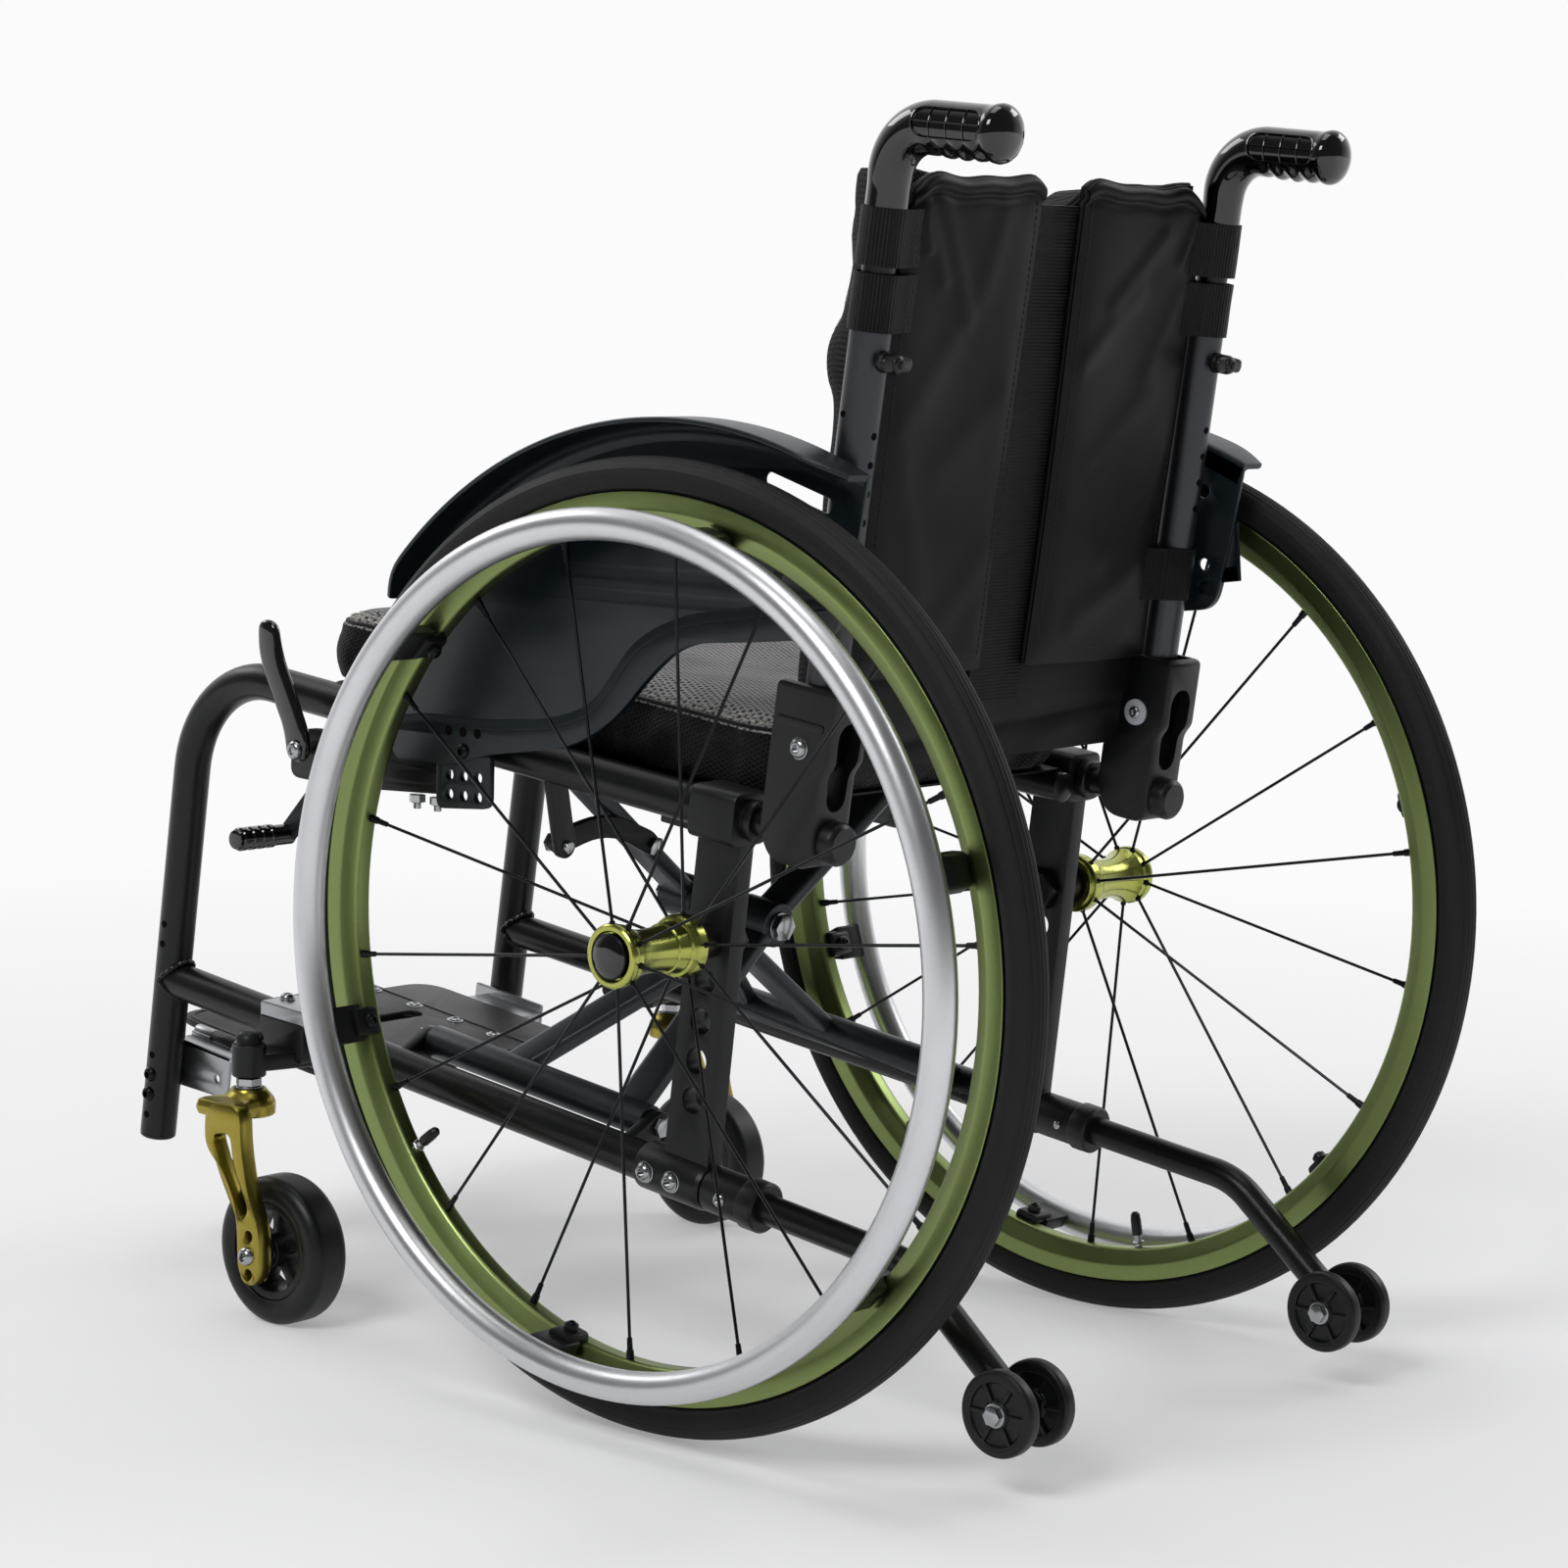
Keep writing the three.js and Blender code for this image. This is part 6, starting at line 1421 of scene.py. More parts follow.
@dataclass(frozen=True)
class CrossArm:
    """One folding arm with its sleeve on the lower tube and its seat rail.

    Args:
        side: Side of the sleeve; the rail is on the other side.
        hub: Middle of the hub along the brace.
        root_a: Where the front leg leaves the sleeve.
        root_b: Where the rear leg leaves the sleeve.
    """

    side: Side
    hub: float
    root_a: float
    root_b: float
    height: float = 212.0
    hub_length: float = 30.0
    rail_radius: float = 10.0

    @property
    def node(self) -> str:
        """CAD node and body of this arm."""
        return "cross_arm_a" if self.side is Side.LEFT else "cross_arm_b"

    def bar(self, p0: Point, p1: Point) -> Shell:
        """Flattened tube of 24 by 12 mm between two points of (X, along, height)."""
        span = math.hypot(p1[0] - p0[0], p1[2] - p0[2])
        nx, nz = -(p1[2] - p0[2]) / span, (p1[0] - p0[0]) / span
        section = rounded_loop(doubled([(-12, 6, 4.5), (12, 6, 4.5)]))
        rings = [[(x + nx * b, s + a, h + nz * b) for a, b in section] for x, s, h in (p0, p1)]
        return loft(rings)

    def shells(self) -> tuple[list[Shell], list[Shell]]:
        """Arm with its sleeve and hub, and the rail."""
        mid = self.height / 2
        spread = (self.hub_length - 24) / 2 - 1
        sleeve = ring_of([(6, 98.5, 0.4), (11, 98.5, 0.8)], -36.5, Axis.Y, RAIL_X, 0, 40)
        half = self.hub_length / 2
        hub = ring_of([(5.4, half, 0.4), (15, half, 1.2)], self.hub, Axis.Y, 0, mid, 44)
        legs = [self.bar((RAIL_X, self.root_a, 0), (0, self.hub - spread, mid)),
                self.bar((RAIL_X, self.root_b, 0), (0, self.hub + spread, mid)),
                self.bar((0, self.hub, mid), (-RAIL_X, self.hub, self.height))]
        drilled = rod(Axis.Y, 5.4, self.hub - 40, self.hub + 40, 0, mid, 32)
        legs = [carve(leg, drilled) for leg in legs]
        rail = tube([Vector((-RAIL_X, y, seat_line(y) - RAIL_DROP)) for y in (-366, 30)],
                    self.rail_radius, 32)
        shape = ((0, 1.4), (7, 1.4), (9.9, 0), (9.9, -1.6), (0, -1.6))
        caps = [lathe([(r, y + way * out) for r, out in shape], Axis.Y, -RAIL_X,
                      seat_line(y) - RAIL_DROP, 28) for y, way in ((-366, -1), (30, 1))]
        return [sleeve, hub, *legs], [rail, *caps]

    def build(self) -> None:
        """Makes the arm and rides it on its body."""
        arm, rail = self.shells()
        piece = Piece(self.node + "_tubes", self.node, None, "brace_grey", self.side)
        piece.add(BRACE, *arm, turn=ALONG_BRACE).add(POWDER, *rail).build(self.node)


def pivot_bolt() -> None:
    """Makes the bolt that joins the two arms, with its washers and nuts."""
    mid = 106.0
    front, rear = -67.3, 30.3
    steel = [rod(Axis.Y, 5, front - 4, rear + 4, 0, mid),
             rod(Axis.Y, 9.4, front - 1.2, front, 0, mid, 36, 0.3),
             rod(Axis.Y, 9.4, rear, rear + 1.2, 0, mid, 36, 0.3),
             hex_nut(Axis.Y, 9.3, front - 7, front - 1.2, 0, mid),
             hex_nut(Axis.Y, 9.3, rear + 1.2, rear + 7, 0, mid)]
    spacer = rod(Axis.Y, 9, -36.7, -0.3, 0, mid, 36, 0.6)
    piece = Piece("pivot", "cross_arm_a", None, "silver_satin")
    piece.add(STEEL, *steel, turn=ALONG_BRACE).add(NYLON, spacer, turn=ALONG_BRACE)
    piece.build("cross_pivot")


def fold_link(side: Side) -> None:
    """Makes the link between a seat tube and its brace arm.

    Args:
        side: Side of the frame that the link hangs on.
    """
    s, (fx, fz), (ax, az) = LINK_START[side], LINK_TOP, LINK_FOOT
    mx = (fx + ax) / 2
    bow = rounded_loop([(fx + 8, fz, 8), (fx, fz + 9, 8), (mx, fz + 18, 30), (ax, az + 9, 8),
                        (ax - 8, az, 8), (ax, az - 8, 8), (mx, fz + 4, 30), (fx, fz - 8, 8)], steps=6)
    link = plate([bow, circle(4.3, fx, fz, 20)[::-1]], Axis.Y, s, s + 6, 1.2)
    nut, face, way = (s + 5.8, s, -1) if side is Side.LEFT else (s - 4, s + 6, 1)
    steel = [hex_nut(Axis.Y, 6.2, nut, nut + 4.2, ax, az),
             button_head(Axis.Y, 6.4, face, 3.4, ax, az, way)]
    piece = Piece("link", "fold_link", side, "frame_black").add(ANODISED, link, turn=ALONG_BRACE)
    piece.add(STEEL, *steel, turn=ALONG_BRACE).build("fold_link")


# back posts and handles


@dataclass(frozen=True)
class BackPost:
    """Back post of one side with its hinge casting, push handle and wing knob."""

    side: Side
    inner_x: float = 152.0
    outer_x: float = 186.0
    handle_top: float = 785.0
    grip_end: float = 213.0
    knob_z: float = 654.8
    window_start: float = 150.0
    window_length: float = 50.0
    window_half: float = 9.6
    window_flanks: tuple[float, float] = (13, 167)

    def casting(self) -> None:
        """Makes the hinge casting with its channel and keyhole, plug on the stub and pin."""
        loop = rounded_loop([(-24, -56, 8), (-24, 38, 5), (23, 38, 5), (23, -6, 3), (18, -14, 4),
                             (18, -72, 11), (-14, -72, 11)])
        shell = plate([loop], Axis.X, self.inner_x, self.outer_x, 2.4)
        channel = plate([rounded_loop([(-40, -37, 1), (13.2, -37, 3), (13.2, -6, 2), (19.5, 50, 1),
                                       (-40, 50, 1)])], Axis.X, FRAME_X - 12.9, FRAME_X + 12.9, 0.3)
        slot = plate([link_loop((FRAME_X, 8), 10.6, (FRAME_X, -28), 8.6)], Axis.Y, 8, 40, 0.2)
        body = carve(shell, channel, slot)
        plug = lathe([(0, 84), (12.4, 84), (13.5, 85), (13.5, 98.2), (12.6, 100.2), (10.6, 101.8),
                      (0, 102)], Axis.Y, FRAME_X, 0, 40)
        rib = lathe([(0, 76), (13.8, 76), (14.6, 77), (14.6, 83), (13.8, 84), (0, 84)],
                    Axis.Y, FRAME_X, 0, 40)
        ridge = plate([rounded_loop([(-20, 12, 2), (17, 12, 2), (17, 17, 2), (-20, 17, 2)])],
                      Axis.X, self.outer_x - 0.6, self.outer_x + 0.9, 0.5)
        washer = rod(Axis.X, 8.6, self.inner_x - 1.8, self.inner_x + 0.2, 0, 0, 36, 0.5)
        steel = [rod(Axis.X, 6.9, self.outer_x - 0.4, self.outer_x + 0.7, 0, 0, 32, 0.3),
                 button_head(Axis.X, 6.2, self.outer_x + 0.7, 3.2, 0, 0),
                 button_head(Axis.X, 4.2, self.inner_x - 1.8, 2.0, 0, 0, -1)]
        piece = Piece("back_casting", "frame", self.side, "plastic_black")
        piece.add(NYLON, body, turn=ALONG_POST).add(NYLON, plug, rib, turn=ALONG_SEAT)
        piece.add(NYLON, ridge, turn=ALONG_POST).add(STEEL, *steel, turn=ALONG_POST)
        piece.add(WHITE_NYLON, washer, turn=ALONG_POST).build("back_hinge")

    def post(self) -> None:
        """Makes the post tube with its adjustment holes as black plugs of painted shade, knob boss and
        tongue.
        """
        top = post_rise(690)
        outer = lathe([(10.4, -12.6), (12.0, -13), (12.5, -12.4), (12.5, top - 0.6), (12, top),
                       (10.4, top), (10.4, top - 40)], Axis.Z, FRAME_X, 0, 44)
        tongue = rod(Axis.Z, 8.5, -34, -10, FRAME_X, 0, 32)
        # Black plugs of painted shade stand for the adjustment holes
        holes = [rod(Axis.Y, 2.3, 9, 12.54, FRAME_X, post_rise(z), 18, 0.05)
                 for z in (611, 594, 577, 560)]
        holes.append(rod(Axis.X, 2.0, FRAME_X + 9, FRAME_X + 12.54, -3, post_rise(622), 18, 0.05))
        boss = rod(Axis.Y, 6.5, 10.5, 15.6, FRAME_X, post_rise(self.knob_z), 28, 1.0)
        piece = Piece("post_tube", "back", self.side, "post_grey").add(POST, outer, turn=ALONG_POST)
        piece.add(NYLON, boss, tongue, turn=ALONG_POST).add(HOLE_SHADE, *holes, turn=ALONG_POST)
        piece.build("back_post")

    @property
    def bend(self) -> Point:
        """Corner that the handle's centre line is bent over."""
        top = self.handle_top + 5
        return (FRAME_X, post_line(top), top)

    def grip(self) -> Shell:
        """Glossy grip over the handle's bend, with finger grooves and windows."""
        tip = (FRAME_X, self.grip_end, self.handle_top - 2)
        path = route([(FRAME_X, post_line(712), 712), self.bend, tip], 30, 14)
        span = self.grip_end - path[-2].y
        path = densified(path, 2.2)
        total = sum((b - a).length for a, b in zip(path, path[1:]))
        count, grooves = 56, 46

        def ring(_: int, distance: float) -> Loop:
            back = total - distance
            radius = self.grip_radius(back, span, total)
            made = []
            for k in range(count):
                t = 2 * math.pi * k / count
                down = max(0.0, math.cos(t) - 0.15) / 0.85
                along = back - 9
                inside = 0 < along < grooves
                dip = 1.5 * (1 - math.cos(2 * math.pi * along / 11.5)) * inside
                share = min(1, max(0, along / grooves))
                lower = 2.0 * inside * math.sin(math.pi * share) ** 0.4
                reach = radius - down * (dip - lower * 0.6)
                made.append((-reach * math.cos(t), reach * math.sin(t)))
            return made

        return carve(swept(path, ring), *[self.pocket(flank) for flank in self.window_flanks])

    @staticmethod
    def grip_radius(back: float, span: float, total: float) -> float:
        """Radius of the grip at a distance from its end."""
        if back < 9:
            return 17.3 * math.sqrt(max(0.0, 1 - ((9 - back) / 9.6) ** 2)) ** 0.9
        if back < 16:
            return 17.3 - 1.3 * (1 - math.cos(math.pi * (back - 9) / 7)) / 2
        if back < span:
            return 16.0
        share = (back - span) / (total - span)
        return 16.0 - 3.2 * min(1.0, share * 1.8)

    def on_grip(self, flank: float, run: float, arc: float, reach: float) -> Point:
        """Point beside the grip: run along it and arc round it from the window's middle."""
        y = self.window_start + run
        _, start, top = self.bend
        z = top - 7 * (y - start) / (self.grip_end - start)
        t = math.radians(flank) + arc / 16.0
        return (FRAME_X + reach * math.cos(t), y, z + reach * math.sin(t))

    def pocket(self, flank: float) -> Shell:
        """Cutter of the shallow pill-shaped window on one flank."""

        def skin(reach: float) -> Callable[[float, float], Point]:
            def point(u: float, v: float) -> Point:
                run = self.window_length * (1 - math.cos(math.pi * u)) / 2
                inset = 1 - min(1.0, min(run, self.window_length - run) / self.window_half)
                half = max(0.05, self.window_half * math.sqrt(1 - inset ** 2))
                return self.on_grip(flank, run, (2 * v - 1) * half, reach)
            return point

        return panel_shell(48, 10, skin(15.1), skin(18.5), lambda u, v: (u, v))

    def window_ribs(self) -> list[Shell]:
        """Raised rim of each window and the thin ribs that part it in four by two."""
        made, half, length = [], self.window_half, self.window_length
        for flank in self.window_flanks:
            loop = rounded_loop([(0, -half, half - 0.1), (length, -half, half - 0.1),
                                 (length, half, half - 0.1), (0, half, half - 0.1)], steps=10)
            rim = []
            for run, arc in loop + loop[:1]:
                back = self.grip_end - self.window_start - run
                reach = self.grip_radius(back, 60, 160)
                rim.append(Vector(self.on_grip(flank, run, arc, reach)))
            made.append(cord_along(rim, 0.5))
            lines = [[Vector(self.on_grip(flank, run, 0, 15.35)) for run in (0.6, length - 0.6)]]
            for share in (0.25, 0.5, 0.75):
                arcs = np.linspace(0.4 - half, half - 0.4, 9)
                lines.append([Vector(self.on_grip(flank, length * share, a, 15.35)) for a in arcs])
            made += [cord_along(line, 0.42) for line in lines]
        return made

    def inner_tube(self) -> Shell:
        """Handle tube that slides in the post."""
        foot, end = (FRAME_X, post_line(562), 562), (FRAME_X, 170, self.handle_top + 1)
        return tube(route([foot, self.bend, end], 30, 8), 10, 28)

    def knob(self) -> None:
        """Makes the wing knob and its screw end."""
        z = post_rise(self.knob_z)
        hub = lathe([(0, 15.9), (5.6, 15.9), (6.2, 16.6), (6.2, 22), (5.2, 24.6), (3.6, 25.8), (0, 26)],
                    Axis.Y, FRAME_X, z, 32)
        wings = rounded_loop([(-13.5, -1.5, 2.5), (-11.5, -5, 2.5), (0, -4.2, 4), (11.5, -5, 2.5),
                              (13.5, -1.5, 2.5), (13, 3.6, 2.5), (5, 5, 3), (-5, 5, 3), (-13, 3.6, 2.5)])
        wing = plate([wings], Axis.Y, 18.6, 24, 1.6).moved(FRAME_X, 0, z)
        screw = rod(Axis.Y, 2.4, 24, 26.6, FRAME_X, z, 20, 0.3)
        piece = Piece("wing", "wing_knob", self.side, "plastic_black")
        piece.add(NYLON, hub, wing, turn=ALONG_POST).add(BLACK_STEEL, screw, turn=ALONG_POST)
        piece.build("wing_knob")

    def build(self) -> None:
        """Makes the post's pieces and rides them on their bodies."""
        self.casting()
        self.post()
        piece = Piece("handle", "handle", self.side, "gloss_black")
        piece.add(GLOSS, self.grip(), *self.window_ribs()).add(POWDER, self.inner_tube())
        piece.build("push_handle", crease=40)
        self.knob()


# side guards and brakes


@dataclass(frozen=True)
class SideGuard:
    """Moulded side guard of one side with its fender lip and drilled tab."""

    side: Side
    x: float = 189.0
    radius: float = 320.0
    front: float = 142.0
    rear: float = 65.5

    def arc(self, r: float) -> Loop:
        """Points of the fender's arc from rear to front, in (Y, Z)."""
        made, steps = [], 44
        for i in range(steps + 1):
            t = math.radians(self.rear + (self.front - self.rear) * i / steps)
            made.append((r * math.cos(t), AXLE_Z + r * math.sin(t)))
        return made

    def lower_edge(self) -> Loop:
        """Lower edge of the panel, from front to rear."""
        corners = [(-264, 400, 14), (-258, 386, 8), (-205, 388, 10), (-174, 397, 26),
                   (-100, 408, 36), (-62, 430, 30), (-38, 456, 30), (-8, 480, 34), (60, 486, 40),
                   (112, 492, 12), (122, 530, 20)]
        return rounded_profile([self.arc(self.radius)[-1], *corners, self.arc(self.radius)[0]], 7)[1:-1]

    def panel(self) -> Shell:
        """Flat web of the guard with its slot and holes."""
        outline = self.arc(self.radius - 1.5) + self.lower_edge()
        slot = link_loop((57, 582), 4.5, (101, 569), 4.5)[::-1]
        holes = [circle(4, 103, z, 18)[::-1] for z in (506, 521)]
        holes += [circle(3, y, 410, 14)[::-1] for y in TAB_SCREWS]
        return plate([outline, slot, *holes], Axis.X, self.x, self.x + 3, 0.8)

    def relief(self) -> list[Shell]:
        """Raised lower field with the soft step that leads up to it."""
        upper = rounded_profile([(128, 521), (71, 513), (40, 507, 20), (-7, 500, 30), (-36, 489, 34),
                                 (-56, 476, 26), (-70, 458, 22), (-88, 437, 30), (-122, 426, 40),
                                 (-190, 420, 60), (-232, 421, 30), (-262, 416)], 8)
        upper = self.clean(upper)
        rings, inner, wide, tall = [], [], 9, 2.6
        for i, (y, z) in enumerate(upper):
            a, b = upper[max(0, i - 1)], upper[min(len(upper) - 1, i + 1)]
            length = math.hypot(b[0] - a[0], b[1] - a[1])
            ny, nz = -(b[1] - a[1]) / length, (b[0] - a[0]) / length
            if nz > 0:
                ny, nz = -ny, -nz
            ring = []
            for step in range(9):
                share = step / 8
                rise = tall * share * share * (3 - 2 * share)
                ring.append((self.x + 2.7 + rise, y + ny * wide * share, z + nz * wide * share))
            rings.append([*ring, (self.x + 2, *ring[-1][1:]), (self.x + 2, *ring[0][1:])])
            inner.append(ring[-1][1:])
        outline = self.clean([(y, z) for y, z in inner] + self.lower_edge())
        return [loft(rings), plate([outline], Axis.X, self.x + 2, self.x + 5.3, 0.5)]

    @staticmethod
    def clean(loop: Loop) -> Loop:
        """Drops points that lie on each other."""
        made: Loop = []
        for p in loop:
            if not made or math.hypot(p[0] - made[-1][0], p[1] - made[-1][1]) > 0.4:
                made.append(p)
        return made

    def lip(self) -> Shell:
        """Fender over the tyre with a rounded root and rolled edge."""
        r, x = self.radius, self.x
        section = rounded_loop([(r, x, 3.5), (r, x + 32.4, 1.6), (r - 3.4, x + 33, 1.6),
                                (r - 4, x + 29, 1.5), (r - 4, x + 8, 4), (r - 9, x + 3.4, 4),
                                (r - 15, x + 3.2, 0.5), (r - 15, x, 0.5)], steps=4)
        rings, steps = [], 60
        for i in range(steps + 1):
            share = i / steps
            t = math.radians(self.rear + (self.front - self.rear) * share)
            ends = min(1.0, min(share, 1 - share) * steps / 5)
            wide = 0.62 + 0.38 * math.sin(ends * math.pi / 2)
            ring = []
            for rr, xx in section:
                out = x + (xx - x) * wide
                ring.append((out, rr * math.cos(t), AXLE_Z + rr * math.sin(t)))
            rings.append(ring)
        return loft(rings)

    def tab(self) -> Shell:
        """Drilled fixing tab."""
        loop = rounded_loop([(-221, 358, 7), (-172, 362, 7), (-172, 396, 2), (-221, 394, 2)])
        holes = [circle(3.4, y, z, 18)[::-1] for y in TAB_SCREWS for z in (368.5, 381)]
        return plate([loop, *holes], Axis.X, self.x, self.x + 4.4, 0.8)

    def build(self) -> None:
        """Makes the guard and rides it on the frame."""
        piece = Piece("guard", "frame", self.side, "guard_teal")
        piece.add(GUARD, self.panel(), *self.relief(), self.lip(), self.tab())
        piece.add(NYLON, rod(Axis.X, 6, FRAME_X + 12.8, self.x + 1, -196, 397))
        piece.add(BLACK_STEEL, button_head(Axis.X, 5.2, self.x + 5.2, 2.6, -196, 397))
        # Black plugs of painted shade stand for the tab's screw holes
        holes = [rod(Axis.X, 3.2, self.x + 4, self.x + 5.5, y, 409.5, 18, 0.05) for y in TAB_SCREWS]
        piece.add(HOLE_SHADE, *holes).build("side_guard", crease=38)


@dataclass(frozen=True)
class Brake:
    """Wheel lock of one side: bar on the seat tube, lever and pivoted shoe."""

    side: Side
    bar_x: float = 181.0
    bar_thick: float = 7.5
    lever: tuple[float, float] = (-344.0, 385.0)
    shoe: tuple[float, float] = (-318.0, 372.0)
    shoe_end: tuple[float, float] = (-364.0, 326.0)

    def mount(self) -> tuple[list[Shell], list[Shell]]:
        """Bar with its pins, and the nuts below it."""
        loop = rounded_loop([(-366, 364, 9), (-364, 394, 8), (-345, 399, 10), (-322, 396, 8),
                             (-219, 386.5, 5), (-219, 366.5, 5), (-310, 362, 8)])
        bar = plate([loop], Axis.X, self.bar_x, self.bar_x + self.bar_thick, 1.4)
        rib = plate([rounded_loop([(-356, 371, 5), (-354, 387, 5), (-344, 391, 5), (-320, 389, 5),
                                   (-225, 381, 2), (-225, 372, 2), (-312, 368, 4)])],
                    Axis.X, self.bar_x + 7, self.bar_x + 8.2, 0.5)
        (ly, lz), (sy, sz) = self.lever, self.shoe
        steel = [rod(Axis.X, 4, self.bar_x + 1, 206, ly, lz), button_head(Axis.X, 6.2, 204, 3.0, ly, lz),
                 rod(Axis.X, 4, self.bar_x + 1, 195, sy, sz),
                 button_head(Axis.X, 5.8, 194.4, 2.6, sy, sz)]
        for y in (-247, -228):
            steel.append(hex_nut(Axis.Z, 5.5, 358.5, 364, self.bar_x + 3.7, y))
            steel.append(rod(Axis.Z, 2.6, 354.5, 360, self.bar_x + 3.7, y, 20, 0.4))
        return [bar, rib], steel

    def blade(self) -> Shell:
        """Curved lever with a thumb pad at its top."""
        y, z = self.lever
        loop = rounded_loop([(y - 9, z - 8, 9), (y + 9, z - 8, 9), (y + 11, z + 8, 9),
                             (y - 4, z + 38, 24), (y - 17, z + 62, 24), (y - 22, z + 84, 9),
                             (y - 38.5, z + 84, 9), (y - 38, z + 60, 24), (y - 24, z + 34, 24),
                             (y - 12, z + 12, 12)], steps=7)
        return plate([loop, circle(4.4, y, z, 22)[::-1]], Axis.X, 197.8, 203.7, 2.6)

    def shoe_parts(self) -> tuple[list[Shell], list[Shell]]:
        """Arm and the ribbed bar that presses on the tyre."""
        inner = self.bar_x + self.bar_thick + 0.6
        arm = plate([link_loop(self.shoe, 8.5, self.shoe_end, 6.5), circle(4.4, *self.shoe, 22)[::-1]],
                    Axis.X, inner, 194.2, 1.2)
        profile = [(0, inner), (6.4, inner), (7, inner + 0.8), (7, 203)]
        for x in (206, 214, 222, 230):
            profile += [(7, x), (7.9, x + 0.9), (7.9, x + 4.1), (7, x + 5)]
        profile += [(7, 236), (6.2, 237.6), (4, 238), (0, 238)]
        return [arm], [lathe(profile, Axis.X, *self.shoe_end, 36)]

    def build(self) -> None:
        """Makes the brake's pieces and rides them on their bodies."""
        bars, steel = self.mount()
        piece = Piece("brake_bar", "frame", self.side, "plastic_black")
        piece.add(ANODISED, *bars).add(STEEL, *steel).build("brake_mount")
        piece = Piece("lever", "brake_lever", self.side, "gloss_black")
        piece.add(GLOSS, self.blade()).build("brake_lever", crease=50)
        arm, pad = self.shoe_parts()
        piece = Piece("shoe", "brake_shoe", self.side, "plastic_black")
        piece.add(ANODISED, *arm).add(GLOSS, *pad).build("brake_shoe")


# anti-tip arms


@dataclass(frozen=True)
class AntiTip:
    """Anti-tip arm of one side with its socket, button and twin wheels."""

    side: Side
    axle_y: float = 244.0
    axle_z: float = 52.0
    elbow_y: float = 160.0
    arm_radius: float = 9.5
    wheel_radius: float = 26.0
    axle_offset: float = 17.0

    def socket(self) -> tuple[Shell, Shell]:
        """Moulded socket on the tube's end and its screw."""
        shape = ((3, 13.4), (3.6, 14.2), (5, 14.6), (33, 14.6), (33.4, 15.6), (34.6, 16.2),
                 (45.6, 16.0), (47, 14.6))
        path = [Vector((FRAME_X, y, low_line(y))) for y, _ in shape]
        head = button_head(Axis.X, 4.6, FRAME_X + 14.2, 2.2, 20, low_line(20))
        return stepped(path, [r for _, r in shape], 44), head

    def arm(self) -> tuple[list[Shell], list[Shell]]:
        """Bent tube, axle eye and axle bolt with nuts."""
        path = route([(FRAME_X, 16, low_line(16)), (FRAME_X, self.elbow_y, low_line(self.elbow_y)),
                      (FRAME_X, self.axle_y - 2, self.axle_z + 2)], 55, 14)
        eye = rod(Axis.X, 9.2, FRAME_X - 11.2, FRAME_X + 11.2, self.axle_y, self.axle_z, 32, 1)
        steel = [rod(Axis.X, 3.2, FRAME_X - 26, FRAME_X + 26, self.axle_y, self.axle_z, 24)]
        for s in (-1, 1):
            inner, outer = FRAME_X + s * 22.4, FRAME_X + s * 27
            steel.append(hex_nut(Axis.X, 6.0, inner, outer, self.axle_y, self.axle_z))
            low, high = sorted((FRAME_X + s * 22.2, FRAME_X + s * 23))
            steel.append(rod(Axis.X, 7.4, low, high, self.axle_y, self.axle_z, 28, 0.2))
        return [tube(path, self.arm_radius, 36), eye], steel

    def wheel(self, outward: int) -> tuple[list[Shell], list[Shell]]:
        """Small wheel: spoked disc and soft tread."""
        x, r = FRAME_X + outward * self.axle_offset, self.wheel_radius
        axle = (Axis.X, self.axle_y, self.axle_z)
        tread = ring_of([(20.8, 5, 0.8), (25.2, 4.6, 1.6), (r, 2.6, 1.4)], x, *axle, 64, 4)
        disc = ring_of([(3.7, 5, 0.5), (8, 5, 1), (9, 2.6, 1), (18.4, 2.2, 1), (19.4, 4.8, 0.8),
                        (21, 4.8, 0.3)], x, *axle, 56)
        ribs = []
        for i in range(6):
            turn = spun(self.axle_y, self.axle_z, 60 * i)
            ribs.append(block(x - 4.2, x + 4.2, 7, 19.6, -1.3, 1.3, 0.5).through(turn))
        return [disc, *ribs], [tread]

    def build(self) -> None:
        """Makes the anti-tip pieces and rides them on their bodies."""
        body, screw = self.socket()
        piece = Piece("tip_socket", "frame", self.side, "plastic_black")
        piece.add(NYLON, body).add(STEEL, screw).build("antitip_socket")
        tubes, steel = self.arm()
        piece = Piece("tip_tube", "antitip_arm", self.side, "frame_black")
        piece.add(POWDER, *tubes).add(STEEL, *steel).build("antitip_arm")
        for outward, word in ((1, "outer"), (-1, "inner")):
            disc, tread = self.wheel(outward)
            piece = Piece(f"tip_roller_{word}", f"antitip_wheel_{word}", self.side, "plastic_black")
            piece.add(NYLON, *disc).add(CASTER_RUBBER, *tread).build(f"antitip_wheel_{word}")
        z = low_line(25)
        pin = lathe([(0, FRAME_X - 17.5), (1.6, FRAME_X - 17.3), (2.7, FRAME_X - 16.3), (3, FRAME_X - 15),
                     (3, FRAME_X - 13), (0, FRAME_X - 13)], Axis.X, 25, z, 24)
        Piece("tip_pin", "antitip_button", self.side, "silver_satin").add(STEEL, pin).build(
            "antitip_button")


# footplate


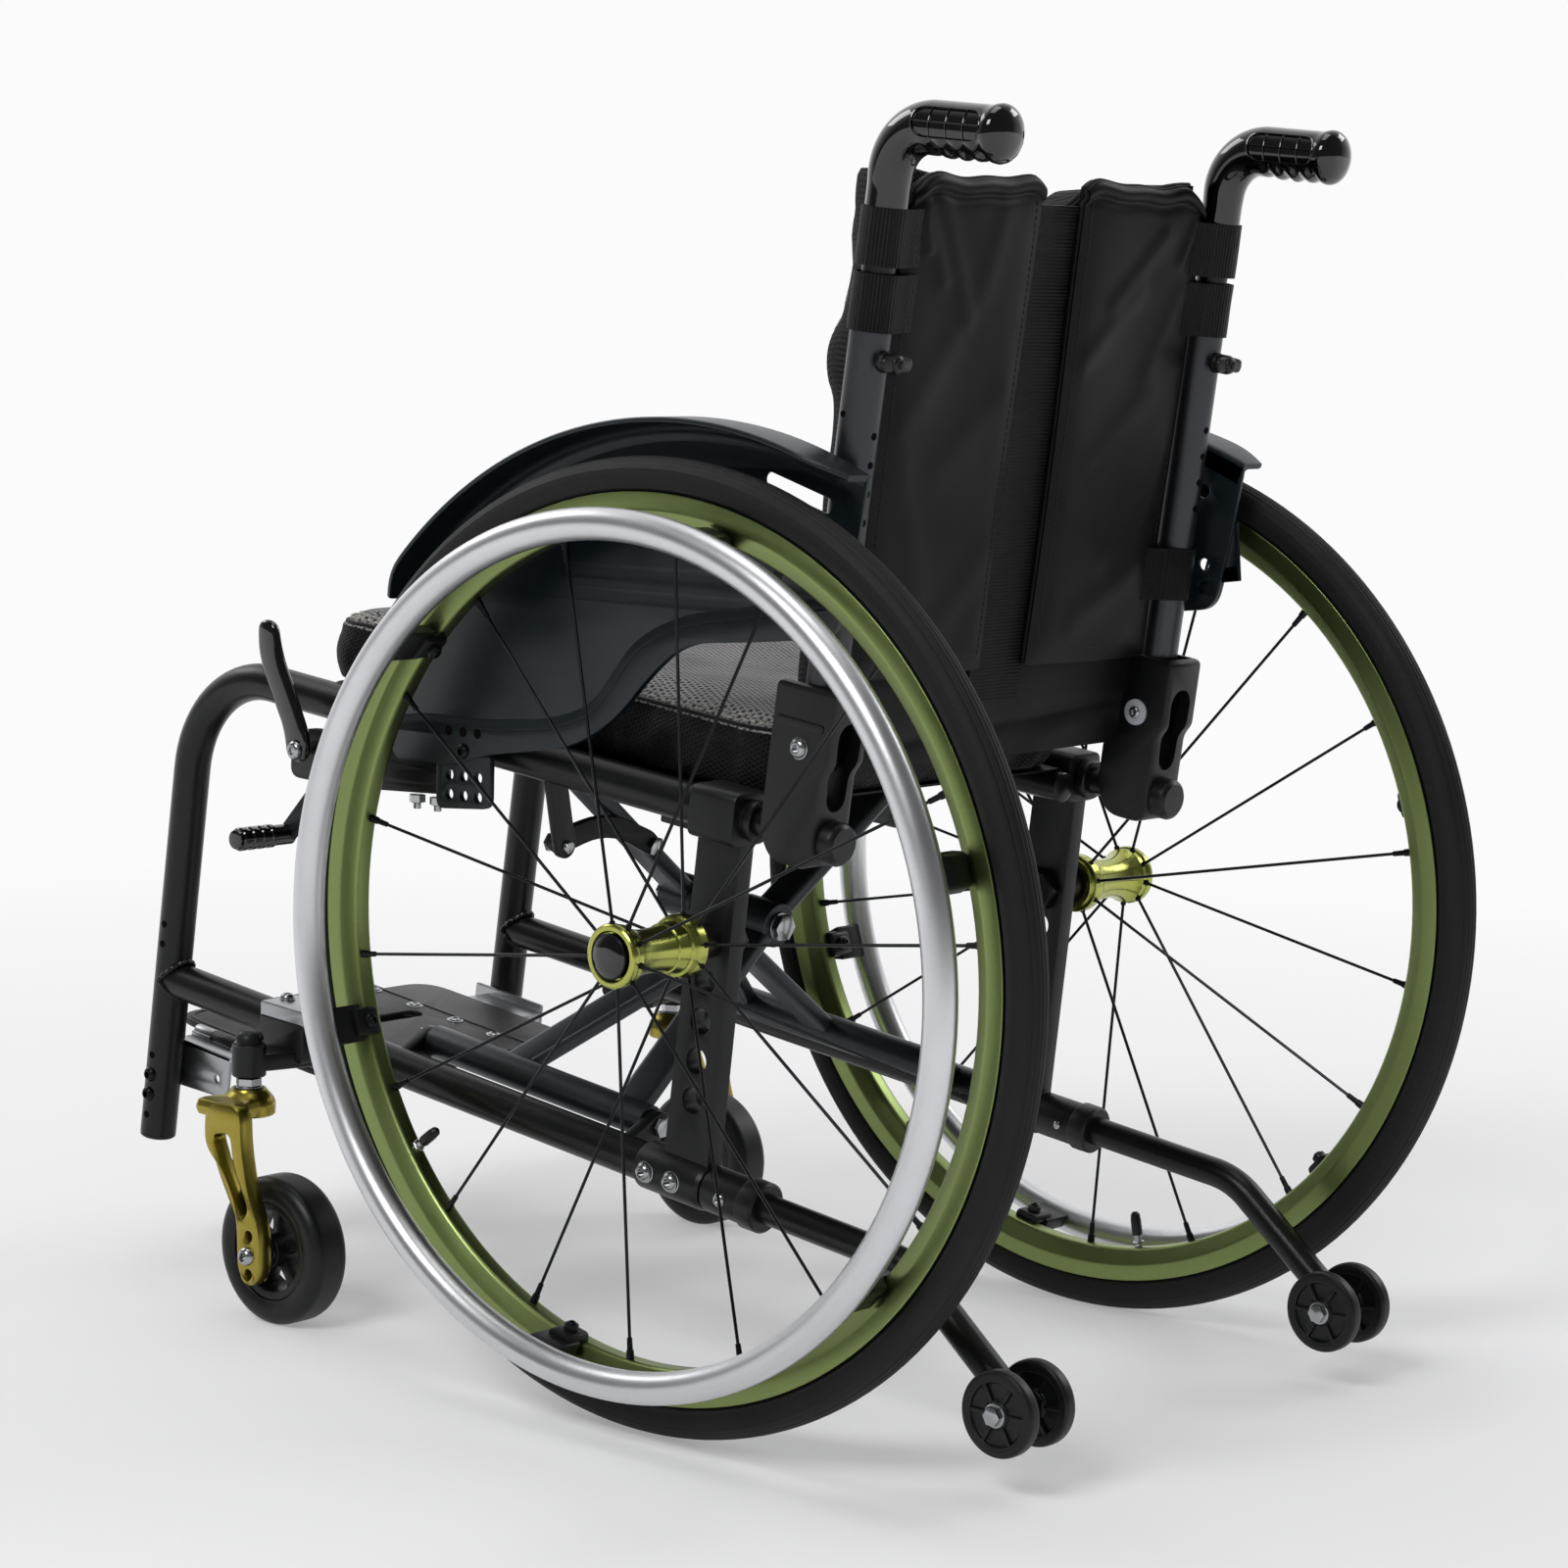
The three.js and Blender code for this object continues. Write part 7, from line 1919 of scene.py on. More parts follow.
def footplate() -> None:
    """Makes the two overlapping plates with their ribs, slot and screws."""
    right = 135 - 254
    upper = rounded_loop([(129.6, -115, 26), (129.6, 68, 38), (-62, 68, 3), (-62, -115, 3)], steps=8)
    slot = link_loop((8, -38), 7, (-34, -38), 7)[::-1]
    top = plate([upper, slot], Axis.Z, 0.2, 5, 1.2)
    lower = rounded_loop([(-28, -112, 3), (-28, 65, 3), (right, 65, 34), (right, -112, 26)], steps=8)
    under = plate([lower, slot], Axis.Z, -5, 0.1, 1.2)
    rim = rounded_loop([(126.4, -111.6, 23), (126.4, 64.6, 35), (-59, 64.6, 2), (-59, -111.6, 2)],
                       steps=8)
    inner = rounded_loop([(123.6, -108.8, 21), (123.6, 61.8, 33), (-56.4, 61.8, 2),
                          (-56.4, -108.8, 2)], steps=8)
    border = plate([rim, inner[::-1]], Axis.Z, 4.6, 5.7, 0.45)
    knuckle = rod(Axis.Y, 4.5, -61.6, -38.4, HINGE_X, HINGE_Z, 28)
    web = block(127, HINGE_X, -61.6, -38.4, 0.2, 4.8, 0.6)
    screws = []
    for s in (-97, -53, -10, 31):
        screws.append(rod(Axis.Z, 6.2, 4.8, 5.5, -50, s, 28, 0.2))
        screws.append(button_head(Axis.Z, 4.6, 5.4, 1.7, -50, s))
    piece = Piece("foot_board", "footplate", None, "plastic_black")
    piece.add(FOOT, top, under, border, web, knuckle, turn=ALONG_FOOT)
    piece.add(STEEL, *screws, turn=ALONG_FOOT).build("footplate")


def foot_brackets() -> None:
    """Makes the hinge bracket on the left leg and the rest bracket on the right."""
    inner = FRAME_X - TUBE_R - 0.3
    flange_loop = rounded_loop([(-92, -34, 6), (-22, -30, 6), (-22, 0.5, 2), (-92, 0.5, 2)])
    holes = [circle(2.8, y, -18, 16)[::-1] for y in (-80, -34)]
    flange = plate([flange_loop, *holes], Axis.X, inner - 3, inner, 0.7)
    left = [flange, block(139, inner, -80, -20, -3, 0, 0.6)]
    for a, b in ((-80, -62), (-38, -20)):
        left += [rod(Axis.Y, 4.5, a, b, HINGE_X, HINGE_Z, 28),
                 block(HINGE_X, HINGE_X + 6, a, b, -2, 3, 0.5)]
    pin = rod(Axis.Y, 2.2, -81, -19, HINGE_X, HINGE_Z, 20)
    piece = Piece("hinge_bracket", "frame", Side.LEFT, "silver_satin")
    piece.add(BRACKET, *left, turn=ALONG_FOOT).add(STEEL, pin, turn=ALONG_FOOT)
    piece.build("foot_bracket")
    right = [flange, block(104, inner, -80, -20, -8.3, -5.3, 0.6)]
    piece = Piece("rest_bracket", "frame", Side.RIGHT, "silver_satin")
    piece.add(BRACKET, *right, turn=ALONG_FOOT).build("foot_bracket")


# upholstery

# Folds of each flap: ends as distance from the centre plane and below the top, half width, height
FOLDS = {
    Side.LEFT: [(147, 6, 130, 44, 4.5, 2.2), (139, 10, 112, 62, 6.5, 1.9), (122, 12, 84, 84, 8, 1.6),
                (58, 14, 74, 70, 9, 0.9), (96, 100, 132, 150, 12, 1.3), (40, 132, 92, 176, 13, 1.1),
                (128, 176, 100, 250, 11, 1.2), (36, 226, 84, 282, 12, 1.1), (112, 262, 140, 296, 9, 1.2)],
    Side.RIGHT: [(146, 8, 126, 46, 5, 2.0), (60, 74, 108, 30, 7, 1.6), (36, 112, 86, 66, 8, 1.5),
                 (132, 66, 104, 118, 9, 1.3), (112, 128, 58, 176, 11, 1.4), (134, 170, 118, 240, 10, 1.1),
                 (36, 206, 80, 236, 12, 1.1), (64, 276, 120, 246, 11, 1.2)],
}


def soft_noise(x: float, y: float, seed: float) -> float:
    """Smooth noise between about -1 and 1."""
    return noise.noise(Vector((x, y, seed)))


def panel_shell(columns: int, rows: int, back: Callable[[float, float], Point],
                front: Callable[[float, float], Point],
                weave: Callable[[float, float], tuple[float, float]]) -> Shell:
    """Closed pad from a rear and a front surface over the same unit square.

    Args:
        columns: Steps across.
        rows: Steps up.
        back: Point of the rear surface from shares across and up.
        front: Point of the front surface from the same shares.
        weave: Fabric position in millimetres from the same shares.

    Returns:
        The closed shell with its fabric map.
    """
    shares = [(c / columns, r / rows) for r in range(rows + 1) for c in range(columns + 1)]
    points = [surface(u, v) for surface in (back, front) for u, v in shares]
    flat = [weave(u, v) for u, v in shares]
    uvs, faces = [], []
    wide, layer = columns + 1, len(shares)
    for r in range(rows):
        for c in range(columns):
            quad = (r * wide + c, r * wide + c + 1, (r + 1) * wide + c + 1, (r + 1) * wide + c)
            faces.append(quad)
            uvs.append([flat[i] for i in quad])
            other = tuple(layer + i for i in quad)[::-1]
            faces.append(other)
            uvs.append([flat[i - layer] for i in other])
    rim = [*range(wide), *(r * wide + columns for r in range(1, rows + 1))]
    rim += [rows * wide + c for c in range(columns - 1, -1, -1)]
    rim += [r * wide for r in range(rows - 1, 0, -1)]
    for a, b in zip(rim, rim[1:] + rim[:1]):
        faces.append((b, a, layer + a, layer + b))
        (ua, va), (ub, vb) = flat[a], flat[b]
        uvs.append([(ub, vb), (ua, va), (ua + 4, va + 4), (ub + 4, vb + 4)])
    return Shell(points, faces, uvs).outward()


def swollen(points: Sequence[Point], faces: Sequence[Sequence[int]], held: Iterable[int],
            cap: float) -> np.ndarray:
    """Padded skin after a short cloth simulation under inner pressure.

    Args:
        points: Points of the closed skin in millimetres.
        faces: Its faces.
        held: Numbers of the points that are sewn down and stay.
        cap: Furthest that a point may move.

    Returns:
        The moved points in millimetres.
    """
    before = np.array(points, dtype=float) * MM
    mesh = bpy.data.meshes.new("padded_skin")
    mesh.from_pydata(before.tolist(), [], [tuple(f) for f in faces])
    obj = linked("padded_skin", mesh)
    scene = bpy.context.scene
    obj.vertex_groups.new(name="held").add(sorted(held), 1.0, "REPLACE")
    cloth = obj.modifiers.new("cloth", "CLOTH")
    cloth.settings.vertex_group_mass = "held"
    cloth.settings.use_pressure = True
    cloth.settings.uniform_pressure_force = 4.0
    cloth.settings.shrink_min = -0.02
    cloth.settings.effector_weights.gravity = 0.0
    for moment in range(1, 21):
        scene.frame_set(moment)
    graph = bpy.context.evaluated_depsgraph_get()
    after = np.array([v.co for v in obj.evaluated_get(graph).data.vertices])
    move = after - before
    length = np.maximum(np.linalg.norm(move, axis=1, keepdims=True), 1e-9)
    scene.frame_set(1)
    bpy.data.objects.remove(obj)
    bpy.data.meshes.remove(mesh)
    return (before + move * np.minimum(1.0, cap * MM / length)) / MM


def stitches(path: Sequence[Vector], pitch: float, length: float, radius: float) -> Shell:
    """Row of separate stitches along a path.

    Args:
        path: Seam line.
        pitch: Distance from stitch to stitch.
        length: Length of a stitch.
        radius: Half the thread's thickness.

    Returns:
        One shell for the whole row.
    """
    points, faces = [], []
    line = densified(path, 0.8)
    run, last = 0.0, -pitch
    for i in range(1, len(line) - 1):
        run += (line[i] - line[i - 1]).length
        if run - last < pitch:
            continue
        last = run
        along = (line[i + 1] - line[i - 1]).normalized()
        side = along.cross(Vector((0.13, 0.2, 0.97))).normalized()
        up = along.cross(side)
        start = len(points)
        for share, r in ((-0.5, 0.35), (-0.25, 1.0), (0.25, 1.0), (0.5, 0.35)):
            centre = line[i] + along * length * share
            points += [centre + (side * a + up * b) * radius * r for a, b in circle(1, count=5)]
        quads = grid_faces(4, 5, False, True) + [(4, 3, 2, 1, 0), (15, 16, 17, 18, 19)]
        faces += [tuple(start + n for n in quad) for quad in quads]
    return Shell(points, faces).outward()


@dataclass(frozen=True)
class Backrest:
    """Upholstery between the back posts: pad, flaps, centre band and straps."""

    half_width: float = 149.0
    flap_inner: float = 23.0
    flap_outer: float = 149.0
    flap_bottom: float = 463.0
    flap_top: float = 763.0
    pad_bottom: float = 404.0
    pad_top: float = 764.0
    pad_front: float = -56.0
    band_half: float = 26.0
    lower_half: float = 143.0
    strap_width: float = 34.0
    strap_heights: tuple[float, ...] = (500, 671, 709)

    def flap_point(self, u: float, v: float) -> tuple[float, float]:
        """Place of a share across and up on a flap, in (X, rise)."""
        low, high = post_rise(self.flap_bottom), post_rise(self.flap_top)
        round_off = 12 * max(0.0, (u - 0.74) / 0.26) ** 2.4 + 4 * max(0.0, (0.1 - u) / 0.1) ** 2
        top = high - round_off + 1.3 * math.sin(u * 7.5 + 0.6) + 0.8 * math.sin(u * 17)
        bottom = low - 1.5 * math.sin(math.pi * u)
        z = bottom + (top - bottom) * v
        inner = self.flap_inner + 1.2 * math.sin(v * 5.0)
        outer = self.flap_outer - 2.4 * max(0.0, (v - 0.9) / 0.1) ** 2 - 0.8 * math.sin(v * 7.0)
        return inner + (outer - inner) * u, z

    @staticmethod
    def fold_height(x: float, depth: float, folds: Sequence[tuple]) -> float:
        """Height of soft folds at a place on a flap.

        Args:
            x: Distance from the centre plane.
            depth: Distance below the flap's top.
            folds: Each fold's two ends (x, depth), its half width and its height.

        Returns:
            How far the cloth stands out there.
        """
        height = 0.0
        for x0, d0, x1, d1, wide, tall in folds:
            ax, ad = x1 - x0, d1 - d0
            share = ((x - x0) * ax + (depth - d0) * ad) / (ax * ax + ad * ad)
            share = min(1.0, max(0.0, share))
            off = math.hypot(x - x0 - ax * share, depth - d0 - ad * share)
            height += tall * math.exp(-(off / wide) ** 2)
        return height

    def flap_surface(self, side: Side) -> Callable[[float, float], Point]:
        """Rear surface of a flap with its fullness, folds and rolled top hem."""
        seed = 3.0 if side is Side.LEFT else 17.0
        folds = FOLDS[side]
        high = post_rise(self.flap_top)

        def surface(u: float, v: float) -> Point:
            x, z = self.flap_point(u, v)
            depth = self.flap_point(u, 1.0)[1] - z
            full = (1 - (2 * u - 1) ** 6) * (1 - (2 * v - 1) ** 14)
            edge = min(1.0, min(u, 1 - u) * 9, v * 22, 0.35 + depth / 14)
            slow = soft_noise(x / 62, z / 120, seed) * 1.8
            hem = max(0.0, 1 - ((depth - 4.6) / 4.8) ** 2)
            ease = 1 - math.exp(-((depth - 11) / 3.5) ** 2) * 0.55
            y = 0.6 + 3.6 * full * ease + edge * (slow + self.fold_height(x, high - z, folds))
            return (x, y + 3.2 * math.sqrt(hem), z)

        return surface

    def flap(self, side: Side) -> tuple[Shell, Shell, Shell]:
        """Flap with its binding and stitching, for the left half of the chair."""
        surface = self.flap_surface(side)

        def upward(v: float) -> float:
            return 1 - (1 - v) ** 1.35

        def rear(u: float, v: float) -> Point:
            return surface(u, upward(v))

        def weave(u: float, v: float) -> tuple[float, float]:
            return self.flap_point(u, upward(v))

        def front(u: float, v: float) -> Point:
            x, z = weave(u, v)
            return (x, -4.5, z)

        border = self.border(60, 30)
        rim = [Vector(surface(u, v)) - Vector((0, 2.2, 0)) for u, v in border]
        seam, beside, below = [], 0.05, 0.033
        for u, v in border:
            at = surface(min(max(u, beside), 1 - beside), min(max(v, below), 1 - below))
            seam.append(Vector(at) + Vector((0, 0.1, 0)))
        return (panel_shell(54, 150, rear, front, weave), cord_along(rim, 1.2),
                stitches(seam, 4.4, 3.0, 0.34))

    @staticmethod
    def border(tall: int, wide: int) -> list[tuple[float, float]]:
        """Way round a unit square from its top left corner, in (across, up) shares."""
        made = [(0.0, 1 - s) for s in np.linspace(0, 1, tall)]
        made += [(s, 0.0) for s in np.linspace(0, 1, wide)[1:]]
        made += [(1.0, s) for s in np.linspace(0, 1, tall)[1:]]
        return made + [(1 - s, 1.0) for s in np.linspace(0, 1, wide)[1:]]

    def pad(self) -> tuple[Shell, Shell, Shell]:
        """Front pad: mesh face, black sides and piping."""
        low, high = post_rise(self.pad_bottom), post_rise(self.pad_top)
        columns, rows = 60, 90

        def place(u: float, v: float) -> tuple[float, float]:
            x = (2 * u - 1) * self.half_width
            dip = 15 * math.exp(-((x / 34) ** 4)) + 5 * math.exp(-((x / 125) ** 10))
            return x, low + (high - dip - low) * v

        def front_of(u: float, v: float) -> Point:
            x, z = place(u, v)
            height = PIVOT_Z + z / math.hypot(1, POST_SLOPE)
            border = min(self.half_width - abs(x), z - low, (high - low) * (1 - v))
            rise = math.sqrt(1 - (1 - min(1.0, max(0.0, border / 9))) ** 2)
            bump = 7 * math.exp(-((height - 648) / 26) ** 2)
            hollow = 6 * math.exp(-((x / 95) ** 2)) * math.sin(math.pi * min(1.0, max(0.0, v)))
            wave = soft_noise(x / 50, z / 60, 31.0) * 1.2
            slim = 9 * math.exp(-((height - self.pad_bottom) / 42) ** 2)
            y = -14 - rise * (33 + bump - hollow - slim) - 2 * full(u, v) + wave * rise
            return (x, max(y, self.pad_front), z)

        def full(u: float, v: float) -> float:
            return (1 - (2 * u - 1) ** 8) * (1 - (2 * v - 1) ** 8)

        def rear_of(u: float, v: float) -> Point:
            x, z = place(u, v)
            bulge = 1.6 * soft_noise(x / 60, z / 45, 40.0)
            return (x, -11.0 + bulge * full(u, v), z)

        def weave(u: float, v: float) -> tuple[float, float]:
            return ((2 * u - 1) * self.half_width, (high - low) * v)

        shell = panel_shell(columns, rows, rear_of, front_of, weave)
        still = [n for n, p in enumerate(shell.points) if p[1] > -20]
        quads = [(r, c, skin) for r in range(rows) for c in range(columns) for skin in (0, 1)]
        mesh = {n for n, (r, c, skin) in enumerate(quads)
                if skin and 2 <= r < rows - 2 and 2 <= c < columns - 2}
        face, sides = self.split(shell, swollen(shell.points, shell.faces, still, 4.0), mesh)
        border = [(0.0, s) for s in np.linspace(1, 0, 70)] + [(s, 0.0) for s in np.linspace(0, 1, 40)]
        border += [(1.0, s) for s in np.linspace(0, 1, 70)] + [(1 - s, 1.0) for s in np.linspace(0, 1, 40)]
        path = []
        for u, v in border:
            a, b = Vector(front_of(u, v)), Vector(rear_of(u, v))
            path.append(a.lerp(b, 0.12) + Vector((0, -1.2, 0)))
        return face, sides, cord_along(path, 1.7)

    @staticmethod
    def split(shell: Shell, points: np.ndarray, chosen: set[int]) -> tuple[Shell, Shell]:
        """Parts a skin in two finishes.

        Args:
            shell: The skin with its faces and fabric map.
            points: Where its points lie in the end.
            chosen: Numbers of the faces of the first part.

        Returns:
            The first part and the rest.
        """
        parts = []
        for pick in (True, False):
            numbers = [n for n in range(len(shell.faces)) if (n in chosen) is pick]
            uvs = None if shell.uvs is None else [shell.uvs[n] for n in numbers]
            parts.append(Shell(points, [shell.faces[n] for n in numbers], uvs))
        return parts[0], parts[1]

    def band(self) -> Shell:
        """Elastic centre band with its ribbed upper end."""
        low, high, half = post_rise(440), post_rise(748), self.band_half

        def rear(u: float, v: float) -> Point:
            z = low + (high - low) * v
            ripple = 0.25 * math.sin(z * 2 * math.pi / 3.2) * (1 if v > 0.78 else 0)
            return ((2 * u - 1) * half, -3.6 + ripple + 0.8 * soft_noise(u * 3, z / 60, 50.0), z)

        def front(u: float, v: float) -> Point:
            return ((2 * u - 1) * half, -6.5, low + (high - low) * v)

        return panel_shell(16, 120, rear, front, lambda u, v: (u * 2 * half, (high - low) * v))

    def lower_panel(self) -> Shell:
        """Slack fabric below the flaps, with its horizontal folds."""
        low, high, half = post_rise(self.pad_bottom), post_rise(486), self.lower_half

        def rear(u: float, v: float) -> Point:
            x = (2 * u - 1) * half
            z = low + (high - low) * v
            sag = 1.5 * math.sin(math.pi * u)
            fold = 2.4 * (1 - abs(math.sin((z + x * 0.06) / 14.0))) ** 2
            return (x, -6.5 - fold + 0.9 * soft_noise(x / 40, z / 18, 61.0) - sag * 0.4, z - sag)

        def front(u: float, v: float) -> Point:
            return ((2 * u - 1) * half, -11.5, low + (high - low) * v)

        return panel_shell(60, 40, rear, front, lambda u, v: (u * 2 * half, (high - low) * v))

    def strap(self, z0: float, seed: float) -> tuple[Shell, list[Shell]]:
        """Webbing strap looped round a post, and its sewn cross stitches."""
        loop = link_loop((FRAME_X, 0), 13.2, (FRAME_X - 33, -4), 6.4, 14)
        rows, width, count = 8, self.strap_width, len(loop)
        run = [0.0]
        for a, b in zip(loop, loop[1:] + loop[:1]):
            run.append(run[-1] + math.hypot(b[0] - a[0], b[1] - a[1]))
        points, faces, uvs = [], [], []
        for skin in (1, 0):
            for r in range(rows + 1):
                z = post_rise(z0) + width * r / rows
                for i, (x, y) in enumerate(loop):
                    out = x - FRAME_X
                    length = math.hypot(out, y) or 1.0
                    reach = (1.4 + 0.25 * soft_noise(run[i] / 9, z / 12, seed)) * skin
                    points.append((x + out / length * reach, y + y / length * reach, z))
        layer = (rows + 1) * count
        for n, quad in enumerate(grid_faces(rows + 1, count, False, True)):
            r, i = divmod(n, count)
            v0, v1 = width * r / rows, width * (r + 1) / rows
            flat = [(v0, run[i]), (v0, run[i + 1]), (v1, run[i + 1]), (v1, run[i])]
            faces += [quad, tuple(layer + k for k in quad)[::-1]]
            uvs += [flat, flat[::-1]]
        for r in (0, rows):
            for i in range(count):
                a, b = r * count + i, r * count + (i + 1) % count
                quad = (a, b, layer + b, layer + a)
                faces.append(quad if r else quad[::-1])
                uvs.append([(0, run[i]), (0, run[i + 1]), (1.5, run[i + 1]), (1.5, run[i])])
        seams, low = [], post_rise(z0)
        for across in (0, 4):
            at = [Vector((FRAME_X - 22 + across, 9.9 + across * 0.2, z))
                  for z in (low + 2, low + width / 2, low + width - 2)]
            seams.append(stitches(at, 3.0, 2.1, 0.34))
        return Shell(points, faces, uvs).outward(), seams

    def squashed(self, obj: bpy.types.Object) -> None:
        """Gives a fabric piece its own copy of its mesh."""
        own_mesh(obj)

    def build(self) -> None:
        """Makes the upholstery and rides it on the left post."""
        face, sides, piping = self.pad()
        piece = Piece("back_pad", "back_left", None, "cloth_black")
        for finish, shell in ((SPACER, face), (SIDE_MESH, sides), (BINDING, piping)):
            piece.add(finish, shell, turn=ALONG_POST)
        pad = piece.build("back_upholstery", crease=60)
        self.squashed(pad)
        for side in Side:
            piece = Piece(f"back_flap_{side.label}", "back_left", None, "cloth_black", side)
            for finish, shell in zip((PACK_CLOTH, BINDING, BLACK_THREAD), self.flap(side)):
                piece.add(finish, shell, turn=ALONG_POST)
            flap = piece.build(crease=60)
            self.squashed(flap)
        piece = Piece("back_band", "back_left", None, "cloth_black")
        piece.add(WEBBING, self.band(), turn=ALONG_POST)
        piece.add(PACK_CLOTH, self.lower_panel(), turn=ALONG_POST)
        self.squashed(piece.build(crease=60))
        for side in Side:
            piece = Piece("back_straps", "back", side, "cloth_black")
            for n, z in enumerate(self.strap_heights):
                webbing, seams = self.strap(z, 7.0 * n + side.value)
                piece.add(WEBBING, webbing, turn=ALONG_POST)
                piece.add(BLACK_THREAD, *seams, turn=ALONG_POST)
            piece.build(crease=60)


@dataclass(frozen=True)
class Seat:
    """Seat sling and cushion."""

    half_width: float = 149.0
    front: float = -388.0
    rear: float = 28.0
    base: float = 8.2
    edge: float = 50.0
    corner: float = 34.0
    steps: int = 176
    bend_reach: float = 158.0

    def rim(self, inset: float) -> list[tuple[float, float]]:
        """Rounded rectangle of the cushion's plan, drawn in by an inset."""
        w = self.half_width - inset
        y0, y1 = self.front + inset, self.rear - inset
        r = max(self.corner - inset * 0.6, 6)
        made = []
        centres = ((w - r, y1 - r, 0), (-w + r, y1 - r, 90), (-w + r, y0 + r, 180), (w - r, y0 + r, 270))
        for cx, cy, start in centres:
            for k in range(11):
                t = math.radians(start + 9 * k)
                made.append((cx + r * math.cos(t), cy + r * math.sin(t)))
        return self.even(made)

    def even(self, loop: Loop) -> Loop:
        """Same loop with evenly spaced points."""
        ring = loop + loop[:1]
        lengths = [math.hypot(b[0] - a[0], b[1] - a[1]) for a, b in zip(ring, ring[1:])]
        total, made, at, done = sum(lengths), [], 0, 0.0
        for i in range(self.steps):
            goal = total * i / self.steps
            while done + lengths[at] < goal:
                done += lengths[at]
                at += 1
            share = (goal - done) / lengths[at]
            a, b = ring[at], ring[at + 1]
            made.append((a[0] + (b[0] - a[0]) * share, a[1] + (b[1] - a[1]) * share))
        return made

    def levels(self) -> list[tuple[float, float, str]]:
        """Rings of the cushion from the bottom to the top: inset, height, panel."""
        made = [(60, self.base, "side"), (16, self.base, "side"), (7, self.base + 0.6, "side"),
                (2.6, self.base + 3.4, "side")]
        for k in range(1, 9):
            t = k / 9
            made.append((0.6 + 2.0 * (2 * t - 1) ** 2 - 1.4 * math.sin(math.pi * t),
                         self.base + 3.4 + (self.edge - self.base - 7) * t, "side"))
        made += [(1.8, self.edge - 2.2, "side"), (3.4, self.edge, "top"), (6, self.edge + 2.4, "top"),
                 (10, self.edge + 4.6, "top"), (16, self.edge + 6.6, "top")]
        return made

    def crown_at(self, x: float, y: float) -> float:
        """Height of the top surface over the edge, with its contour and folds."""
        u = x / self.half_width
        v = (y - self.front) / (self.rear - self.front)
        thigh = 1.6 * math.exp(-((abs(u) - 0.5) / 0.22) ** 2) * max(0.0, 0.75 - v)
        dish = -2.4 * math.exp(-((u / 0.6) ** 2 + ((v - 0.68) / 0.22) ** 2))
        front = -4.0 * max(0.0, (0.12 - v) / 0.12) ** 1.6
        waves = 0.9 * soft_noise(x / 38, y / 45, 71.0) + 0.35 * soft_noise(x / 13, y / 16, 77.0)
        return self.edge + 7.6 + thigh + dish + front + waves

    def cushion_shells(self) -> tuple[Shell, Shell, list[list[Vector]]]:
        """Side band with bottom, top panel, and the top seam with the lines beside it."""
        loops: list[list[Point]] = []
        kinds: list[str] = []
        for inset, z, kind in self.levels():
            ring = []
            for i, (x, y) in enumerate(self.rim(inset)):
                wave = 0.5 * soft_noise(i / 6, z / 20, 80.0) * (self.base + 4 < z < self.edge - 1)
                lift = -3.0 * max(0.0, (self.front + 40 - y) / 40) * (z > self.base + 20)
                spread = 1 + wave / self.half_width
                ring.append((x * spread, y, z + lift))
            loops.append(ring)
            kinds.append(kind)
        shares = (0.86, 0.78, 0.7, 0.62, 0.54, 0.46, 0.38, 0.3, 0.22, 0.14, 0.07)
        inner = self.rim(16)
        middle_y = (self.front + self.rear) / 2
        for share in shares:
            ring = []
            for x, y in inner:
                px, py = x * share, middle_y + (y - middle_y) * share
                full = self.crown_at(px, py)
                rise = min(1.0, (1 - share) / 0.3)
                z = (self.edge + 6.6) * (1 - rise) + full * rise if share > 0.7 else full
                ring.append((px, py, z))
            loops.append(ring)
            kinds.append("top")
        return self.assemble(loops, kinds)

    def assemble(self, loops: list, kinds: list[str]) -> tuple[Shell, Shell, list[list[Vector]]]:
        """Joins the rings into the two skins and finds the seam and the lines beside it."""
        n = self.steps
        points = [p for ring in loops for p in ring]
        perimeter = 2 * (2 * self.half_width + self.rear - self.front)
        side_faces, side_uvs, top_faces, top_uvs = [], [], [], []
        height = 0.0
        for r in range(len(loops) - 1):
            a, b = np.array(loops[r][0]), np.array(loops[r + 1][0])
            step = float(np.linalg.norm(b - a))
            for i in range(n):
                j = (i + 1) % n
                quad = (r * n + i, r * n + j, (r + 1) * n + j, (r + 1) * n + i)
                if kinds[r + 1] == "top":
                    top_faces.append(quad)
                    top_uvs.append([(points[q][0], points[q][1]) for q in quad])
                else:
                    side_faces.append(quad)
                    u0, u1 = perimeter * i / n, perimeter * (i + 1) / n
                    side_uvs.append([(u0, height), (u1, height), (u1, height + step),
                                     (u0, height + step)])
            height += step
        last = (len(loops) - 1) * n
        top_faces.append(tuple(last + i for i in range(n)))
        top_uvs.append([(points[last + i][0], points[last + i][1]) for i in range(n)])
        side_faces.append(tuple(range(n))[::-1])
        side_uvs.append([(points[i][0], points[i][1]) for i in range(n)][::-1])
        sewn = kinds.index("top")
        held = [*range(3 * n), *range(sewn * n, sewn * n + n)]
        points = swollen(points, side_faces + top_faces, held, 5.0)
        seams = [[Vector(p) for p in points[(sewn + k) * n:(sewn + k + 1) * n]] for k in range(3)]
        return Shell(points, side_faces, side_uvs), Shell(points, top_faces, top_uvs), seams

